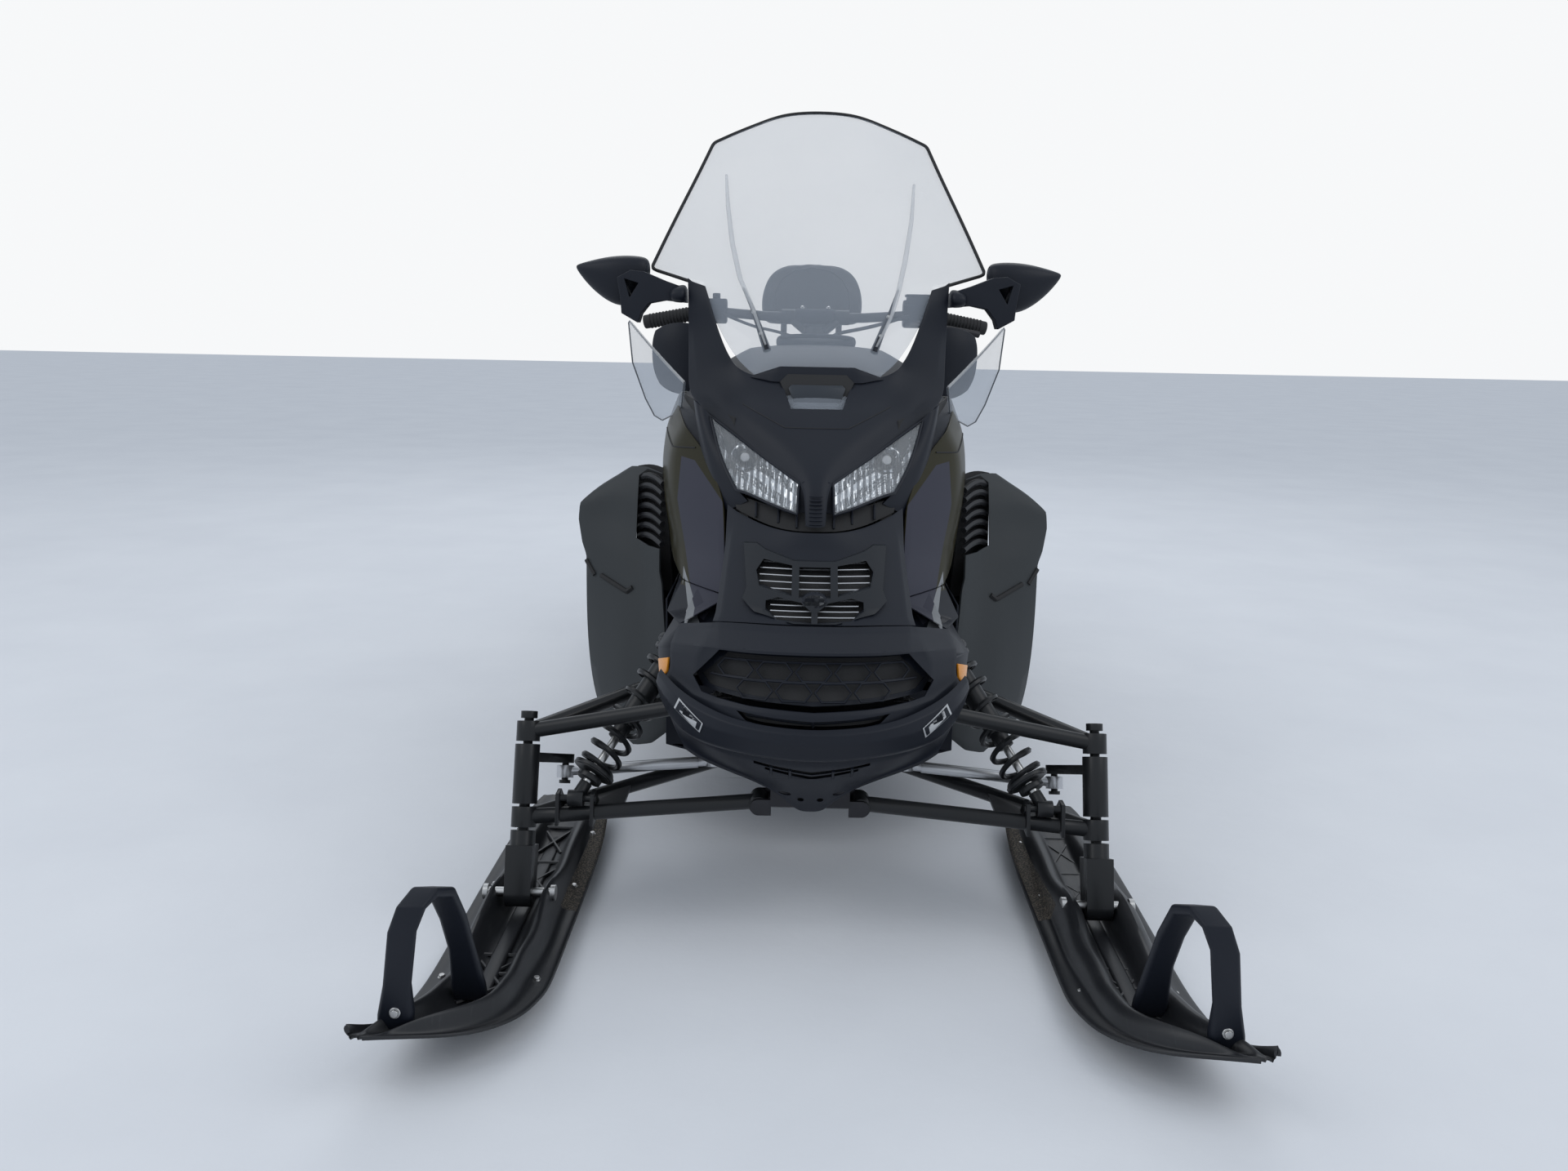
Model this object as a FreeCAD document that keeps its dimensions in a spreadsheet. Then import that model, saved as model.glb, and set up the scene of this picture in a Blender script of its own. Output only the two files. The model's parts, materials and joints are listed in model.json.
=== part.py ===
import FreeCAD, Part
import Sketcher
import math
import os
from types import SimpleNamespace

# Touring snowmobile with a wide track, drawn in millimetres: X to its left, -Y forward, Z up.
# Every place along Y is measured from the ski bolt, and the whole model is then moved by `datum`,
# so that the frame's origin lies on the ground under the middle of the length.

# Driving sizes: alias, value, what it is
SIZES = [
    ("tip_reach", 475, "ski bolt to the front of the skis"),
    ("fit", 0.3, "clearance of a seat, pin or running fit"),
    # skis
    ("stance", 965, "centre to centre of the skis"),
    ("ski_width", 188, "overall width of a ski"),
    ("ski_tail", 500, "ski bolt to the ski's rear end"),
    ("ski_sole", 22, "height of the ski's sole over the ground"),
    ("ski_skin", 9, "thickness of the ski's plastic"),
    ("ridge_gap", 30, "half the clear width between the two ridges"),
    ("ridge_wall", 16, "width of one ridge"),
    ("bolt_height", 75, "height of the ski bolt"),
    ("bolt_radius", 8, "radius of the ski bolt"),
    ("runner_width", 12, "width of the steel runner"),
    ("loop_width", 36, "width of the ski's grab loop"),
    ("loop_wall", 14, "thickness of the grab loop's strap"),
    ("loop_height", 280, "top of the grab loop over the ground"),
    # steering
    ("caster", 20.6, "lean of the steering axis, degrees"),
    ("lower_joint", 124, "ski bolt to the lower ball joint, along the axis"),
    ("upper_joint", 268, "ski bolt to the upper ball joint, along the axis"),
    ("neck_radius", 9, "radius of the spindle's neck in the lower joint"),
    ("stud_radius", 8, "radius of the stud in the upper joint"),
    ("spindle_radius", 21, "radius of the spindle's tube"),
    ("steer_arm", 115, "length of the steering arm"),
    ("tie_radius", 10, "radius of a tie rod"),
    ("post_radius", 13, "radius of the steering post"),
    ("post_lean", 35, "lean of the steering post, degrees"),
    ("bar_y", 985, "ski bolt to the middle of the handlebar"),
    ("bar_z", 1000, "height of the steering post's upper end"),
    ("bar_radius", 11, "radius of the handlebar's tube"),
    ("grip_radius", 17, "radius of a grip"),
    ("grip_end", 400, "half the handlebar's width"),
    # front frame and arms
    ("frame_low", 66, "half width of the front frame at the lower arms"),
    ("frame_high", 132, "half width of the front frame at the upper arms"),
    ("frame_front", 22.5, "front face of the front frame"),
    ("frame_back", 372, "rear face of the front frame"),
    ("frame_base", 182, "underside of the front frame"),
    ("frame_top", 440, "top of the front frame"),
    ("frame_wall", 6, "wall of the front frame"),
    ("arm_radius", 13, "radius of a suspension arm's tube"),
    ("bush_radius", 16, "radius of an arm's pivot bush"),
    ("bush_length", 44, "length of an arm's pivot bush"),
    ("coil_radius", 31, "mean radius of a front spring"),
    ("coil_wire", 4.5, "radius of the spring's wire"),
    ("coil_turns", 8, "turns of a front spring"),
    ("coil_steps", 12, "straight pieces in one turn of a spring"),
    ("damper_radius", 19, "radius of a damper's body"),
    ("rod_radius", 7, "radius of a damper's rod"),
    # track and rear suspension
    ("track_width", 508, "width of the track"),
    ("belt", 7, "thickness of the track's belt"),
    ("lug_height", 38, "height of a lug over the belt"),
    ("lug_pitch", 73, "distance from lug to lug"),
    ("drive_y", 870, "ski bolt to the drive axle"),
    ("drive_z", 452, "height of the drive axle"),
    ("drive_radius", 85, "inside radius of the track round the sprockets"),
    ("ramp_y", 1150, "ski bolt to the centre of the rails' front curve"),
    ("ramp_radius", 200, "inside radius of the track round the rails' front"),
    ("idler_y", 2430, "ski bolt to the rear axle"),
    ("idler_radius", 100, "inside radius of the track round the rear wheels"),
    ("rail_x", 130, "centre of a slide rail, from the middle"),
    ("rail_wall", 12, "thickness of a slide rail"),
    ("rail_height", 62, "height of a slide rail"),
    ("slider", 12, "thickness of the plastic slider under a rail"),
    ("axle_radius", 11, "radius of the wheels' axles"),
    ("wheel_radius", 66, "radius of the small carrier wheels"),
    ("wheel_width", 24, "width of a wheel"),
    # tunnel, boards and seat
    ("tunnel_gap", 24, "track's edge to the tunnel's outer face"),
    ("tunnel_half", "=track_width / 2 + tunnel_gap", "half the outer width of the tunnel"),
    ("tunnel_wall", 4, "thickness of the tunnel's sheet"),
    ("tunnel_top", 606, "height of the tunnel's top"),
    ("tunnel_front", 724, "ski bolt to the tunnel's front edge"),
    ("tunnel_back", 2560, "ski bolt to the tunnel's rear edge"),
    ("flap_sweep", 205, "tunnel's rear edge to the rear edge of the snow flap"),
    ("tail_reach", "=tunnel_back + flap_sweep", "ski bolt to the rear edge of the snow flap"),
    ("anchor_x", 300, "distance across between the cargo anchor holes"),
    ("anchor_y", 140, "distance along between the cargo anchor holes"),
    ("anchor_inset", 150, "middle of the anchor holes to the tunnel's rear edge"),
    ("anchor_hole", 5.5, "radius of a cargo anchor hole"),
    ("board_z", 352, "height of the running boards"),
    ("board_width", 174, "width of a running board"),
    ("board_wall", 5, "thickness of a running board"),
    ("board_lip", 26, "height of the board's outer edge roll"),
    ("seat_front", 1270, "ski bolt to the front of the seat"),
    ("seat_back", 2180, "ski bolt to the rear of the seat"),
    ("seat_top", 790, "height of the driver's seat"),
    ("rack_radius", 11, "radius of the rack's tube"),
    ("bumper_radius", 12.5, "radius of the rear grab bar's tube"),
    ("hitch_bore", 8.5, "radius of the hitch pin's hole"),
    ("hitch_plate", 10, "thickness of a hitch plate"),
    ("hitch_gap", 26, "clear height between the hitch plates"),
    ("lamp_width", 210, "width of the tail lamp"),
    ("lamp_depth", 40, "depth of the tail lamp"),
    ("lamp_height", 43.7, "height of the tail lamp"),
    ("engine_width", 370, "width of the engine's block"),
    ("engine_length", 280, "length of the engine's block"),
    ("engine_height", 369.7, "height of the engine's block"),
    # body panels
    ("skin", 4, "thickness of the body panels"),
    ("glass", 4.5, "thickness of the windshield"),
    ("lens", 5, "thickness of a headlamp lens"),
]

doc = FreeCAD.newDocument("snowmobile")
sheet = doc.addObject("Spreadsheet::Sheet", "sizes")
for row, (alias, value, meaning) in enumerate(SIZES, start=1):
    sheet.set(f"A{row}", meaning)
    sheet.set(f"B{row}", str(value))
    sheet.setAlias(f"B{row}", alias)
doc.recompute()
k = SimpleNamespace(**{alias: float(sheet.get(alias)) for alias, value, meaning in SIZES})
board_half = k.tunnel_half + k.board_width

datum = (k.tip_reach - k.tail_reach) / 2
V = FreeCAD.Vector
nodes = []


def keep(obj, label):
    """Names a finished sub-part and moves it from the ski bolt's datum into the frame."""
    obj.Label = label
    moved = FreeCAD.Placement(V(0, datum, 0), FreeCAD.Rotation())
    obj.Placement = moved.multiply(obj.Placement)
    nodes.append(obj)
    return obj


def feature(label, *shapes):
    """A sub-part whose shape is made by Part's own functions; several solids share the node."""
    solids = [solid for shape in shapes for solid in shape.Solids]
    obj = doc.addObject("Part::Feature", label)
    obj.Shape = solids[0] if len(solids) == 1 else Part.Compound(solids)
    return keep(obj, label)


def mirrored(shape):
    return shape.mirror(V(0, 0, 0), V(1, 0, 0))


def both(shape):
    """The shape and its mirror image on the machine's other side."""
    return shape, mirrored(shape)


def outline(points):
    return Part.makePolygon(list(points) + [points[0]])


def loft(sections):
    """A solid with straight edges from section to section, which all have as many corners."""
    return Part.makeLoft([outline(s) for s in sections], True, True)


def slab(points, direction):
    """A flat outline pushed along a direction."""
    return Part.Face(outline(points)).extrude(direction)


def front_prism(points, y_front, y_back):
    """An outline seen from the front, (x, z), pushed from y_front to y_back."""
    return slab([V(x, y_front, z) for x, z in points], V(0, y_back - y_front, 0))


def side_prism(points, x_from, x_to):
    """An outline seen from the side, (y, z), pushed from x_from to x_to."""
    return slab([V(x_from, y, z) for y, z in points], V(x_to - x_from, 0, 0))


def rod(start, end, radius):
    along = end - start
    return Part.makeCylinder(radius, along.Length, start, along)


def block(x0, x1, y0, y1, z0, z1):
    return Part.makeBox(x1 - x0, y1 - y0, z1 - z0, V(x0, y0, z0))


def fuse(*shapes):
    """One solid, with the faces that lie in one surface joined where that stays sound."""
    whole = shapes[0].multiFuse(list(shapes[1:]))
    joined = whole.removeSplitter()
    return joined if joined.isValid() else whole


def seated(shape, *others):
    """The largest piece of the shape that is left outside the others it rests against."""
    for other in others:
        shape = shape.cut(other)
    return max(shape.Solids, key=lambda solid: solid.Volume)


def bent_path(points, radius):
    """Straight runs joined by tangent arcs of one radius, or less where a run is short."""
    edges = []
    last = points[0]
    for before, corner, after in zip(points, points[1:], points[2:]):
        back = (before - corner).normalize()
        on = (after - corner).normalize()
        half = back.getAngle(on) / 2
        room = 0.45 * min((before - corner).Length, (after - corner).Length)
        reach = min(radius / math.tan(half), room)
        bend = reach * math.tan(half)
        start, end = corner + back * reach, corner + on * reach
        centre = corner + (back + on).normalize() * (bend / math.sin(half))
        middle = centre + (corner - centre).normalize() * bend
        edges.append(Part.LineSegment(last, start).toShape())
        edges.append(Part.Arc(start, middle, end).toShape())
        last = end
    edges.append(Part.LineSegment(last, points[-1]).toShape())
    return Part.Wire(edges)


def tube(points, radius, bend=60):
    path = bent_path(points, bend)
    first = (points[1] - points[0]).normalize()
    ring = Part.Wire(Part.makeCircle(radius, points[0], first))
    return path.makePipeShell([ring], True, False)


def body(label):
    made = doc.addObject("PartDesign::Body", label)
    return made


def sketch(part, role, outlines, offset=0.0):
    """A sketch of closed outlines on one of the body's own planes."""
    made = part.newObject("Sketcher::SketchObject", part.Name + "_sketch")
    plane = next(f for f in part.Origin.OriginFeatures if f.Role == role)
    made.AttachmentSupport = [(plane, "")]
    made.MapMode = "FlatFace"
    made.AttachmentOffset = FreeCAD.Placement(V(0, 0, offset), FreeCAD.Rotation())
    for points in outlines:
        first = made.GeometryCount
        count = len(points)
        for i, (a, b) in enumerate(points):
            c, d = points[(i + 1) % count]
            made.addGeometry(Part.LineSegment(V(a, b, 0), V(c, d, 0)), False)
        for i in range(count):
            made.addConstraint(
                Sketcher.Constraint("Coincident", first + i, 2, first + (i + 1) % count, 1)
            )
    return made


def pad(part, drawn, length, midplane=False, backward=False):
    """A pad whose length is bound to the sheet by an expression."""
    made = part.newObject("PartDesign::Pad", part.Name + "_pad")
    made.Profile = drawn
    made.setExpression("Length", length)
    if midplane:
        made.SideType = "Symmetric" if hasattr(made, "SideType") else 0
    made.Reversed = backward
    drawn.Visibility = False
    return made


def pocket(part, drawn, length, midplane=False):
    made = part.newObject("PartDesign::Pocket", part.Name + "_pocket")
    made.Profile = drawn
    made.setExpression("Length", length)
    if midplane:
        made.SideType = "Symmetric" if hasattr(made, "SideType") else 0
    return made


def panel(rows, inward):
    """A sheet of flat facets through rows of points, as thick as `inward` is long."""
    faces = []

    def facet(*corners):
        if len(set((round(c.x, 3), round(c.y, 3), round(c.z, 3)) for c in corners)) == 3:
            faces.append(Part.Face(outline(corners)))

    def strip(first, second):
        for a, b, c, d in zip(first, first[1:], second, second[1:]):
            facet(a, b, d)
            facet(a, d, c)

    back = [[p + inward for p in row] for row in rows]
    for i in range(len(rows) - 1):
        strip(rows[i], rows[i + 1])
        strip(back[i], back[i + 1])
    for end in (0, -1):
        strip(rows[end], back[end])
        strip([row[end] for row in rows], [row[end] for row in back])
    solid = Part.makeSolid(Part.makeShell(faces))
    solid.fixTolerance(1e-4)
    if solid.Volume < 0:
        solid.reverse()
    return solid


def skin(rings):
    """A solid through closed rings of points, each as long as the next and flat at the ends."""
    faces = [Part.Face(outline(rings[0])), Part.Face(outline(rings[-1]))]
    for first, second in zip(rings, rings[1:]):
        for i in range(len(first)):
            a, b = first[i - 1], first[i]
            c, d = second[i - 1], second[i]
            faces.append(Part.Face(outline([a, b, d])))
            faces.append(Part.Face(outline([a, d, c])))
    solid = Part.makeSolid(Part.makeShell(faces))
    solid.fixTolerance(1e-4)
    if solid.Volume < 0:
        solid.reverse()
    return solid


def across(rows):
    """Rows of (x, y, z) from the middle outward, completed by their mirror image."""
    whole = []
    for row in rows:
        half = [V(*p) for p in row]
        whole.append([V(-p.x, p.y, p.z) for p in reversed(half) if p.x > 0] + half)
    return whole


def points(rows):
    return [[V(*p) for p in row] for row in rows]


def bound(kind, name, **expressions):
    """A Part primitive whose properties follow the sheet."""
    made = doc.addObject(kind, name)
    for prop, expression in expressions.items():
        made.setExpression(prop, expression)
    return made


# Front frame: a keel box that holds the arms' pivots, with a wider box above it

low_y = (60.0, 330.0)
high_y = (60.0, 340.0)
low_pivot_z = 222.0
high_pivot_z = 398.0
low_pivot_x = k.frame_low + k.bush_radius + 4
high_pivot_x = k.frame_high + k.bush_radius + 4
pin_radius = 6.0
ear = 6.0


def pivot_ears(x, z, wall, y_centres):
    """Two ears and a pin at each bush, on the outer face of the frame's wall."""
    made = []
    for y in y_centres:
        half = k.bush_length / 2
        for start in (y - half - ear - 0.5, y + half + 0.5):
            made.append(block(wall - 1, x + 2, start, start + ear, z - 14, z + 14))
            made.append(rod(V(x, start, z), V(x, start + ear, z), 14))
        made.append(rod(V(x, y - half - ear, z), V(x, y + half + ear, z), pin_radius))
    return made


keel = side_prism(
    [
        (k.frame_front, k.frame_base + 46),
        (k.frame_front + 110, k.frame_base),
        (k.frame_back, k.frame_base),
        (k.frame_back, 340),
        (k.frame_front, 340),
    ],
    -k.frame_low,
    k.frame_low,
)
crown = block(-k.frame_high, k.frame_high, k.frame_front, k.frame_back, 336, k.frame_top)
hollow = block(
    -k.frame_low + k.frame_wall,
    k.frame_low - k.frame_wall,
    k.frame_front + k.frame_wall,
    k.frame_back - k.frame_wall,
    k.frame_base + 56,
    k.frame_top + 1,
)
ears = pivot_ears(low_pivot_x, low_pivot_z, k.frame_low, low_y)
ears += pivot_ears(high_pivot_x, high_pivot_z, k.frame_high, high_y)
frame_shape = fuse(keel, crown).cut(hollow)
frame_shape = fuse(frame_shape, *ears, *[mirrored(e) for e in ears])
damper_foot = V(394, 45, 226)
damper_head = V(225, 250, 470)
tower = side_prism([(205, 436), (295, 436), (272, 492), (228, 492)], 196, 206)
tower_base = block(120, 206, 205, 295, 430, 440)
tower_pin = rod(V(205, 250, 470), V(246, 250, 470), pin_radius)
towers = fuse(tower, tower_base, tower_pin)
frame_shape = fuse(frame_shape, *both(towers))
feature("front_frame", frame_shape)

# Steering axis: from the ski bolt upward and back

lean = math.radians(k.caster)
up_axis = V(0, math.sin(lean), math.cos(lean))
back_axis = V(0, math.cos(lean), -math.sin(lean))
bolt = V(k.stance / 2, 0, k.bolt_height)


def on_axis(distance, back=0.0, x=0.0):
    """A point of the left spindle: along the steering axis, behind it and beside it."""
    return bolt + up_axis * distance + back_axis * back + V(x, 0, 0)


# Spindles: foot, tube, necks for the two arms and the steering arm

eye_half = 17.0
eye_gap = 5.0


def spindle():
    foot_half = k.ridge_gap - 8
    foot_back = 24.0
    foot = slab(
        [
            on_axis(0, -foot_back, -foot_half),
            on_axis(0, foot_back, -foot_half),
            on_axis(78, foot_back + 4, -foot_half),
            on_axis(78, -foot_back - 4, -foot_half),
        ],
        V(2 * foot_half, 0, 0),
    )
    heel = rod(bolt + V(-foot_half, 0, 0), bolt + V(foot_half, 0, 0), foot_back)
    low = k.lower_joint - eye_half - eye_gap
    mid = k.lower_joint + eye_half + eye_gap
    high = k.upper_joint - eye_half - eye_gap
    top = k.upper_joint + eye_half + eye_gap
    parts = [
        foot,
        heel,
        rod(on_axis(60), on_axis(low), k.spindle_radius),
        rod(on_axis(low - 5), on_axis(mid + 5), k.neck_radius),
        rod(on_axis(mid), on_axis(high), k.spindle_radius),
        rod(on_axis(high - 5), on_axis(top + 9), k.stud_radius),
        rod(on_axis(top), on_axis(top + 12), k.stud_radius + 6),
    ]
    arm_at = high - 22
    start = on_axis(arm_at)
    end = on_axis(arm_at, k.steer_arm, -steer_inset)
    parts.append(
        slab(
            [
                on_axis(arm_at - 8, 0, -18),
                on_axis(arm_at - 8, 0, 18),
                on_axis(arm_at - 8, k.steer_arm, -steer_inset + 13),
                on_axis(arm_at - 8, k.steer_arm, -steer_inset - 13),
            ],
            up_axis * 16,
        )
    )
    parts.append(rod(end - up_axis * 8, end + up_axis * 8, 15))
    parts.append(rod(end - up_axis * 40, end, 6))
    parts.append(rod(end - up_axis * 44, end - up_axis * 38, 10))
    made = fuse(*parts)
    return made.cut(rod(bolt - V(60, 0, 0), bolt + V(60, 0, 0), k.bolt_radius + k.fit))


steer_inset = 45.0
arm_at = k.upper_joint - eye_half - eye_gap - 22
tie_joint = on_axis(arm_at - 23, k.steer_arm, -steer_inset)
tie_inner = V(170, tie_joint.y + 6, tie_joint.z + 24)
spindle_left = spindle()
feature("spindle_left", spindle_left)
feature("spindle_right", mirrored(spindle_left))


def tie_rod():
    """A tie rod with its outer eye round the steering arm's stud."""
    toward = (tie_inner - tie_joint).normalize()
    eye = rod(tie_joint - up_axis * 11, tie_joint + up_axis * 11, 15)
    stud_hole = rod(tie_joint - up_axis * 20, tie_joint + up_axis * 20, 6 + k.fit)
    sleeve = rod(tie_joint + toward * 10, tie_joint + toward * 46, 8)
    bar = rod(tie_joint + toward * 42, tie_inner - toward * 30, k.tie_radius)
    inner = rod(tie_inner - toward * 34, tie_inner - toward * 6, 8)
    inner_eye = rod(tie_inner - up_axis * 11, tie_inner + up_axis * 11, 15)
    inner_hole = rod(tie_inner - up_axis * 20, tie_inner + up_axis * 20, 6 + k.fit)
    return fuse(eye, sleeve, bar, inner, inner_eye).cut(stud_hole).cut(inner_hole)


tie_left = tie_rod()
feature("tie_rod_left", tie_left)
feature("tie_rod_right", mirrored(tie_left))


# Suspension arms: two tubes from a block at the spindle to bushes on the frame

def arm(joint, pivot_x, pivot_z, y_centres, hole, extra):
    eye = rod(joint - up_axis * eye_half, joint + up_axis * eye_half, hole + 12)
    parts = [eye] + extra
    for y in y_centres:
        pivot = V(pivot_x, y, pivot_z)
        half = V(0, k.bush_length / 2, 0)
        parts.append(rod(pivot - half, pivot + half, k.bush_radius))
        inner = V(pivot_x + 8, y, pivot_z)
        outer = joint + (inner - joint).normalize() * (hole + 6)
        parts.append(rod(outer, inner, k.arm_radius))
    made = fuse(*parts)
    for y in y_centres:
        made = made.cut(rod(V(pivot_x, y - 60, pivot_z), V(pivot_x, y + 60, pivot_z), pin_radius + k.fit))
    return made.cut(rod(joint - up_axis * 40, joint + up_axis * 40, hole + k.fit))


low_joint = on_axis(k.lower_joint)
high_joint = on_axis(k.upper_joint)


def along_arm(share, y_inner, drop=0.0):
    """A point on the lower arm's tube, from the spindle (0) to the frame (1)."""
    inner = V(low_pivot_x, y_inner, low_pivot_z)
    return low_joint + (inner - low_joint) * share + V(0, 0, drop)


front_a, front_b = along_arm(0.12, low_y[0]), along_arm(0.42, low_y[0])
rear_a, rear_b = along_arm(0.12, low_y[1]), along_arm(0.42, low_y[1])
gusset = slab([front_a, front_b, rear_b, rear_a], V(0, 0, 6))
bracket_x = damper_foot.x
foot_ears = []
for start in (-32.0, 26.0):
    foot_ears.append(
        side_prism(
            [
                (damper_foot.y - 26, damper_foot.z - 40),
                (damper_foot.y + 60, damper_foot.z - 36),
                (damper_foot.y + 12, damper_foot.z + 12),
                (damper_foot.y - 12, damper_foot.z + 12),
            ],
            bracket_x + start,
            bracket_x + start + 6,
        )
    )
foot_pin = rod(damper_foot - V(34, 0, 0), damper_foot + V(34, 0, 0), pin_radius)
lower_arm = arm(
    low_joint, low_pivot_x, low_pivot_z, low_y, k.neck_radius, [gusset, foot_pin] + foot_ears
)
feature("lower_arms", *both(lower_arm))
upper_arm = arm(high_joint, high_pivot_x, high_pivot_z, high_y, k.stud_radius, [])
feature("upper_arms", *both(upper_arm))


# Front dampers with their springs

def damper():
    along = (damper_head - damper_foot).normalize()
    length = (damper_head - damper_foot).Length
    low_eye = rod(damper_foot - V(13, 0, 0), damper_foot + V(13, 0, 0), 14)
    high_eye = rod(damper_head - V(13, 0, 0), damper_head + V(13, 0, 0), 14)
    parts = [
        low_eye,
        high_eye,
        rod(damper_foot + along * 4, damper_foot + along * 0.6 * length, k.rod_radius),
        rod(damper_foot + along * 5, damper_foot + along * 31, 11),
        rod(damper_foot + along * spring_low, damper_foot + along * (spring_low + 6), seat_radius),
        rod(damper_foot + along * 0.42 * length, damper_head - along * 10, k.damper_radius),
        rod(damper_foot + along * (spring_high - 6), damper_foot + along * spring_high, seat_radius),
    ]
    made = fuse(*parts)
    for centre in (damper_foot, damper_head):
        made = made.cut(rod(centre - V(40, 0, 0), centre + V(40, 0, 0), pin_radius + k.fit))
    return made


spring_low = 52.0
spring_high = (damper_head - damper_foot).Length - 34
seat_radius = k.coil_radius + k.coil_wire + 2
damper_left = damper()
feature("front_dampers", *both(damper_left))


def spring():
    """A round wire wound between the seats, with its first and last turns closed."""
    along = (damper_head - damper_foot).normalize()
    aside = along.cross(V(0, 1, 0)).normalize()
    third = along.cross(aside)
    start = spring_low + 6 + k.coil_wire + k.fit
    reach = spring_high - 6 - k.coil_wire - k.fit - start
    closed = 2.1 * k.coil_wire
    open_pitch = (reach - 2 * closed) / (k.coil_turns - 2)
    rings = []
    for step in range(int(k.coil_turns * k.coil_steps) + 1):
        turn = step / k.coil_steps
        rise = closed * min(turn, 1.0)
        rise += open_pitch * min(max(turn - 1.0, 0.0), k.coil_turns - 2)
        rise += closed * max(turn - (k.coil_turns - 1), 0.0)
        angle = 2 * math.pi * turn
        outward = aside * math.cos(angle) + third * math.sin(angle)
        centre = damper_foot + along * (start + rise) + outward * k.coil_radius
        ring = []
        for corner in range(6):
            part_turn = math.pi / 3 * corner
            ring.append(
                centre
                + outward * (k.coil_wire * math.cos(part_turn))
                + along * (k.coil_wire * math.sin(part_turn))
            )
        rings.append(ring)
    return skin(rings)


feature("front_springs", *both(spring()))

# Skis: a plastic body with two ridges, its steel runner and bolt, and its grab loop

# y, height of the sole, how far out the outer and the inner edge are, height of the ridges,
# depth of the keel; the inner edge crosses over to the outer one where the tip sweeps outward
SKI = [
    (-k.tip_reach, 90, 117, 97, 7, 1),
    (15 - k.tip_reach, 83, 119, 66, 12, 1),
    (32 - k.tip_reach, 74, 118, 40, 24, 1),
    (52 - k.tip_reach, 64, 113, 4, 38, 2),
    (77 - k.tip_reach, 54, 107, -26, 44, 3),
    (113 - k.tip_reach, 44, 101, -54, 44, 4),
    (155 - k.tip_reach, 36, 97, -77, 44, 6),
    (-270, 30, 95, -88, 44, 8),
    (-235, 26, 94, -94, 40, 9),
    (-180, k.ski_sole, 94, -94, 50, 10),
    (-115, k.ski_sole, 94, -94, 44, 10),
    (-50, k.ski_sole, 94, -94, 56, 10),
    (-30, k.ski_sole, 94, -94, 72, 10),
    (30, k.ski_sole, 94, -94, 72, 10),
    (50, k.ski_sole, 94, -94, 56, 10),
    (130, k.ski_sole, 94, -94, 40, 10),
    (200, k.ski_sole, 94, -94, 42, 10),
    (262, k.ski_sole, 92, -92, 34, 10),
    (400, 29, 84, -84, 22, 5),
    (k.ski_tail, 37, 68, -68, 11, 1),
]


def ski_section(y, sole, outer_edge, inner_edge, ridge, keel_depth):
    """A ski's section from the keel outward, up and back over the ridges."""
    middle = (outer_edge + inner_edge) / 2
    share = (outer_edge - inner_edge) / k.ski_width
    near, far = k.ridge_gap, k.ridge_gap + k.ridge_wall
    half = [
        (12, -keel_depth),
        (22, 0),
        (k.ski_width / 2, 0),
        (k.ski_width / 2, k.ski_skin),
        (far + 6, k.ski_skin + 3),
        (far, ridge),
        (near + 3, ridge),
        (near, k.ski_skin + 1),
    ]
    whole = [(0, -keel_depth)] + half + [(0, k.ski_skin + 1)] + [(-x, z) for x, z in reversed(half)]
    return [V(bolt.x + middle + x * share, y, sole + z) for x, z in whole]


ski_left = loft([ski_section(*row) for row in SKI])
bolt_hole = rod(bolt - V(120, 0, 0), bolt + V(120, 0, 0), k.bolt_radius + k.fit)
ski_left = ski_left.cut(bolt_hole)
feature("ski_left", ski_left)
feature("ski_right", mirrored(ski_left))

ridge_outer = k.ridge_gap + k.ridge_wall + 6 + k.fit
runner = slab(
    [
        V(bolt.x - k.runner_width / 2, y, z)
        for y, z in [(-150, 2), (-140, 0), (250, 0), (262, 12), (-162, 12)]
    ],
    V(k.runner_width, 0, 0),
)
bolt_shape = fuse(
    rod(bolt - V(ridge_outer + 8, 0, 0), bolt + V(ridge_outer + 8, 0, 0), k.bolt_radius),
    rod(bolt + V(ridge_outer, 0, 0), bolt + V(ridge_outer + 8, 0, 0), k.bolt_radius + 5),
    rod(bolt - V(ridge_outer + 8, 0, 0), bolt - V(ridge_outer, 0, 0), k.bolt_radius + 5),
)
feature("ski_steel_left", runner, bolt_shape)
feature("ski_steel_right", mirrored(runner), mirrored(bolt_shape))


# The grab loop's strap: how far outside the ski's middle, y, height
LOOP = [
    (70, -420, 100),
    (64, -428, 150),
    (50, -440, k.loop_height - 48),
    (38, -436, k.loop_height - 16),
    (28, -410, k.loop_height - 7),
    (17, -372, k.loop_height - 24),
    (13, -338, k.loop_height - 78),
    (12, -308, 142),
    (8, -284, 52),
]


# Corners of the strap's section, in half widths and half thicknesses
STRAP = [(1, 0.5), (0.75, 1), (-0.75, 1), (-1, 0.5), (-1, -0.5), (-0.75, -1), (0.75, -1), (1, -0.5)]


def ski_loop():
    """A strap that stands on the ski's outer flank in front and on its middle behind."""
    places = [V(bolt.x + x, y, z) for x, y, z in LOOP]
    half_width, half_wall = k.loop_width / 2, k.loop_wall / 2
    rings = []
    for i, place in enumerate(places):
        run = places[min(i + 1, len(places) - 1)] - places[max(i - 1, 0)]
        run.x = 0
        thick = run.normalize().cross(V(1, 0, 0))
        ring = []
        for a, b in STRAP:
            ring.append(place + V(half_width * a, 0, 0) + thick * (half_wall * b))
        rings.append(ring)
    return seated(skin(rings), ski_left)


loop_left = ski_loop()
feature("ski_loop_left", loop_left)
feature("ski_loop_right", mirrored(loop_left))

# Track: the belt round the drive sprockets, the rails' front and the rear wheels

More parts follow.
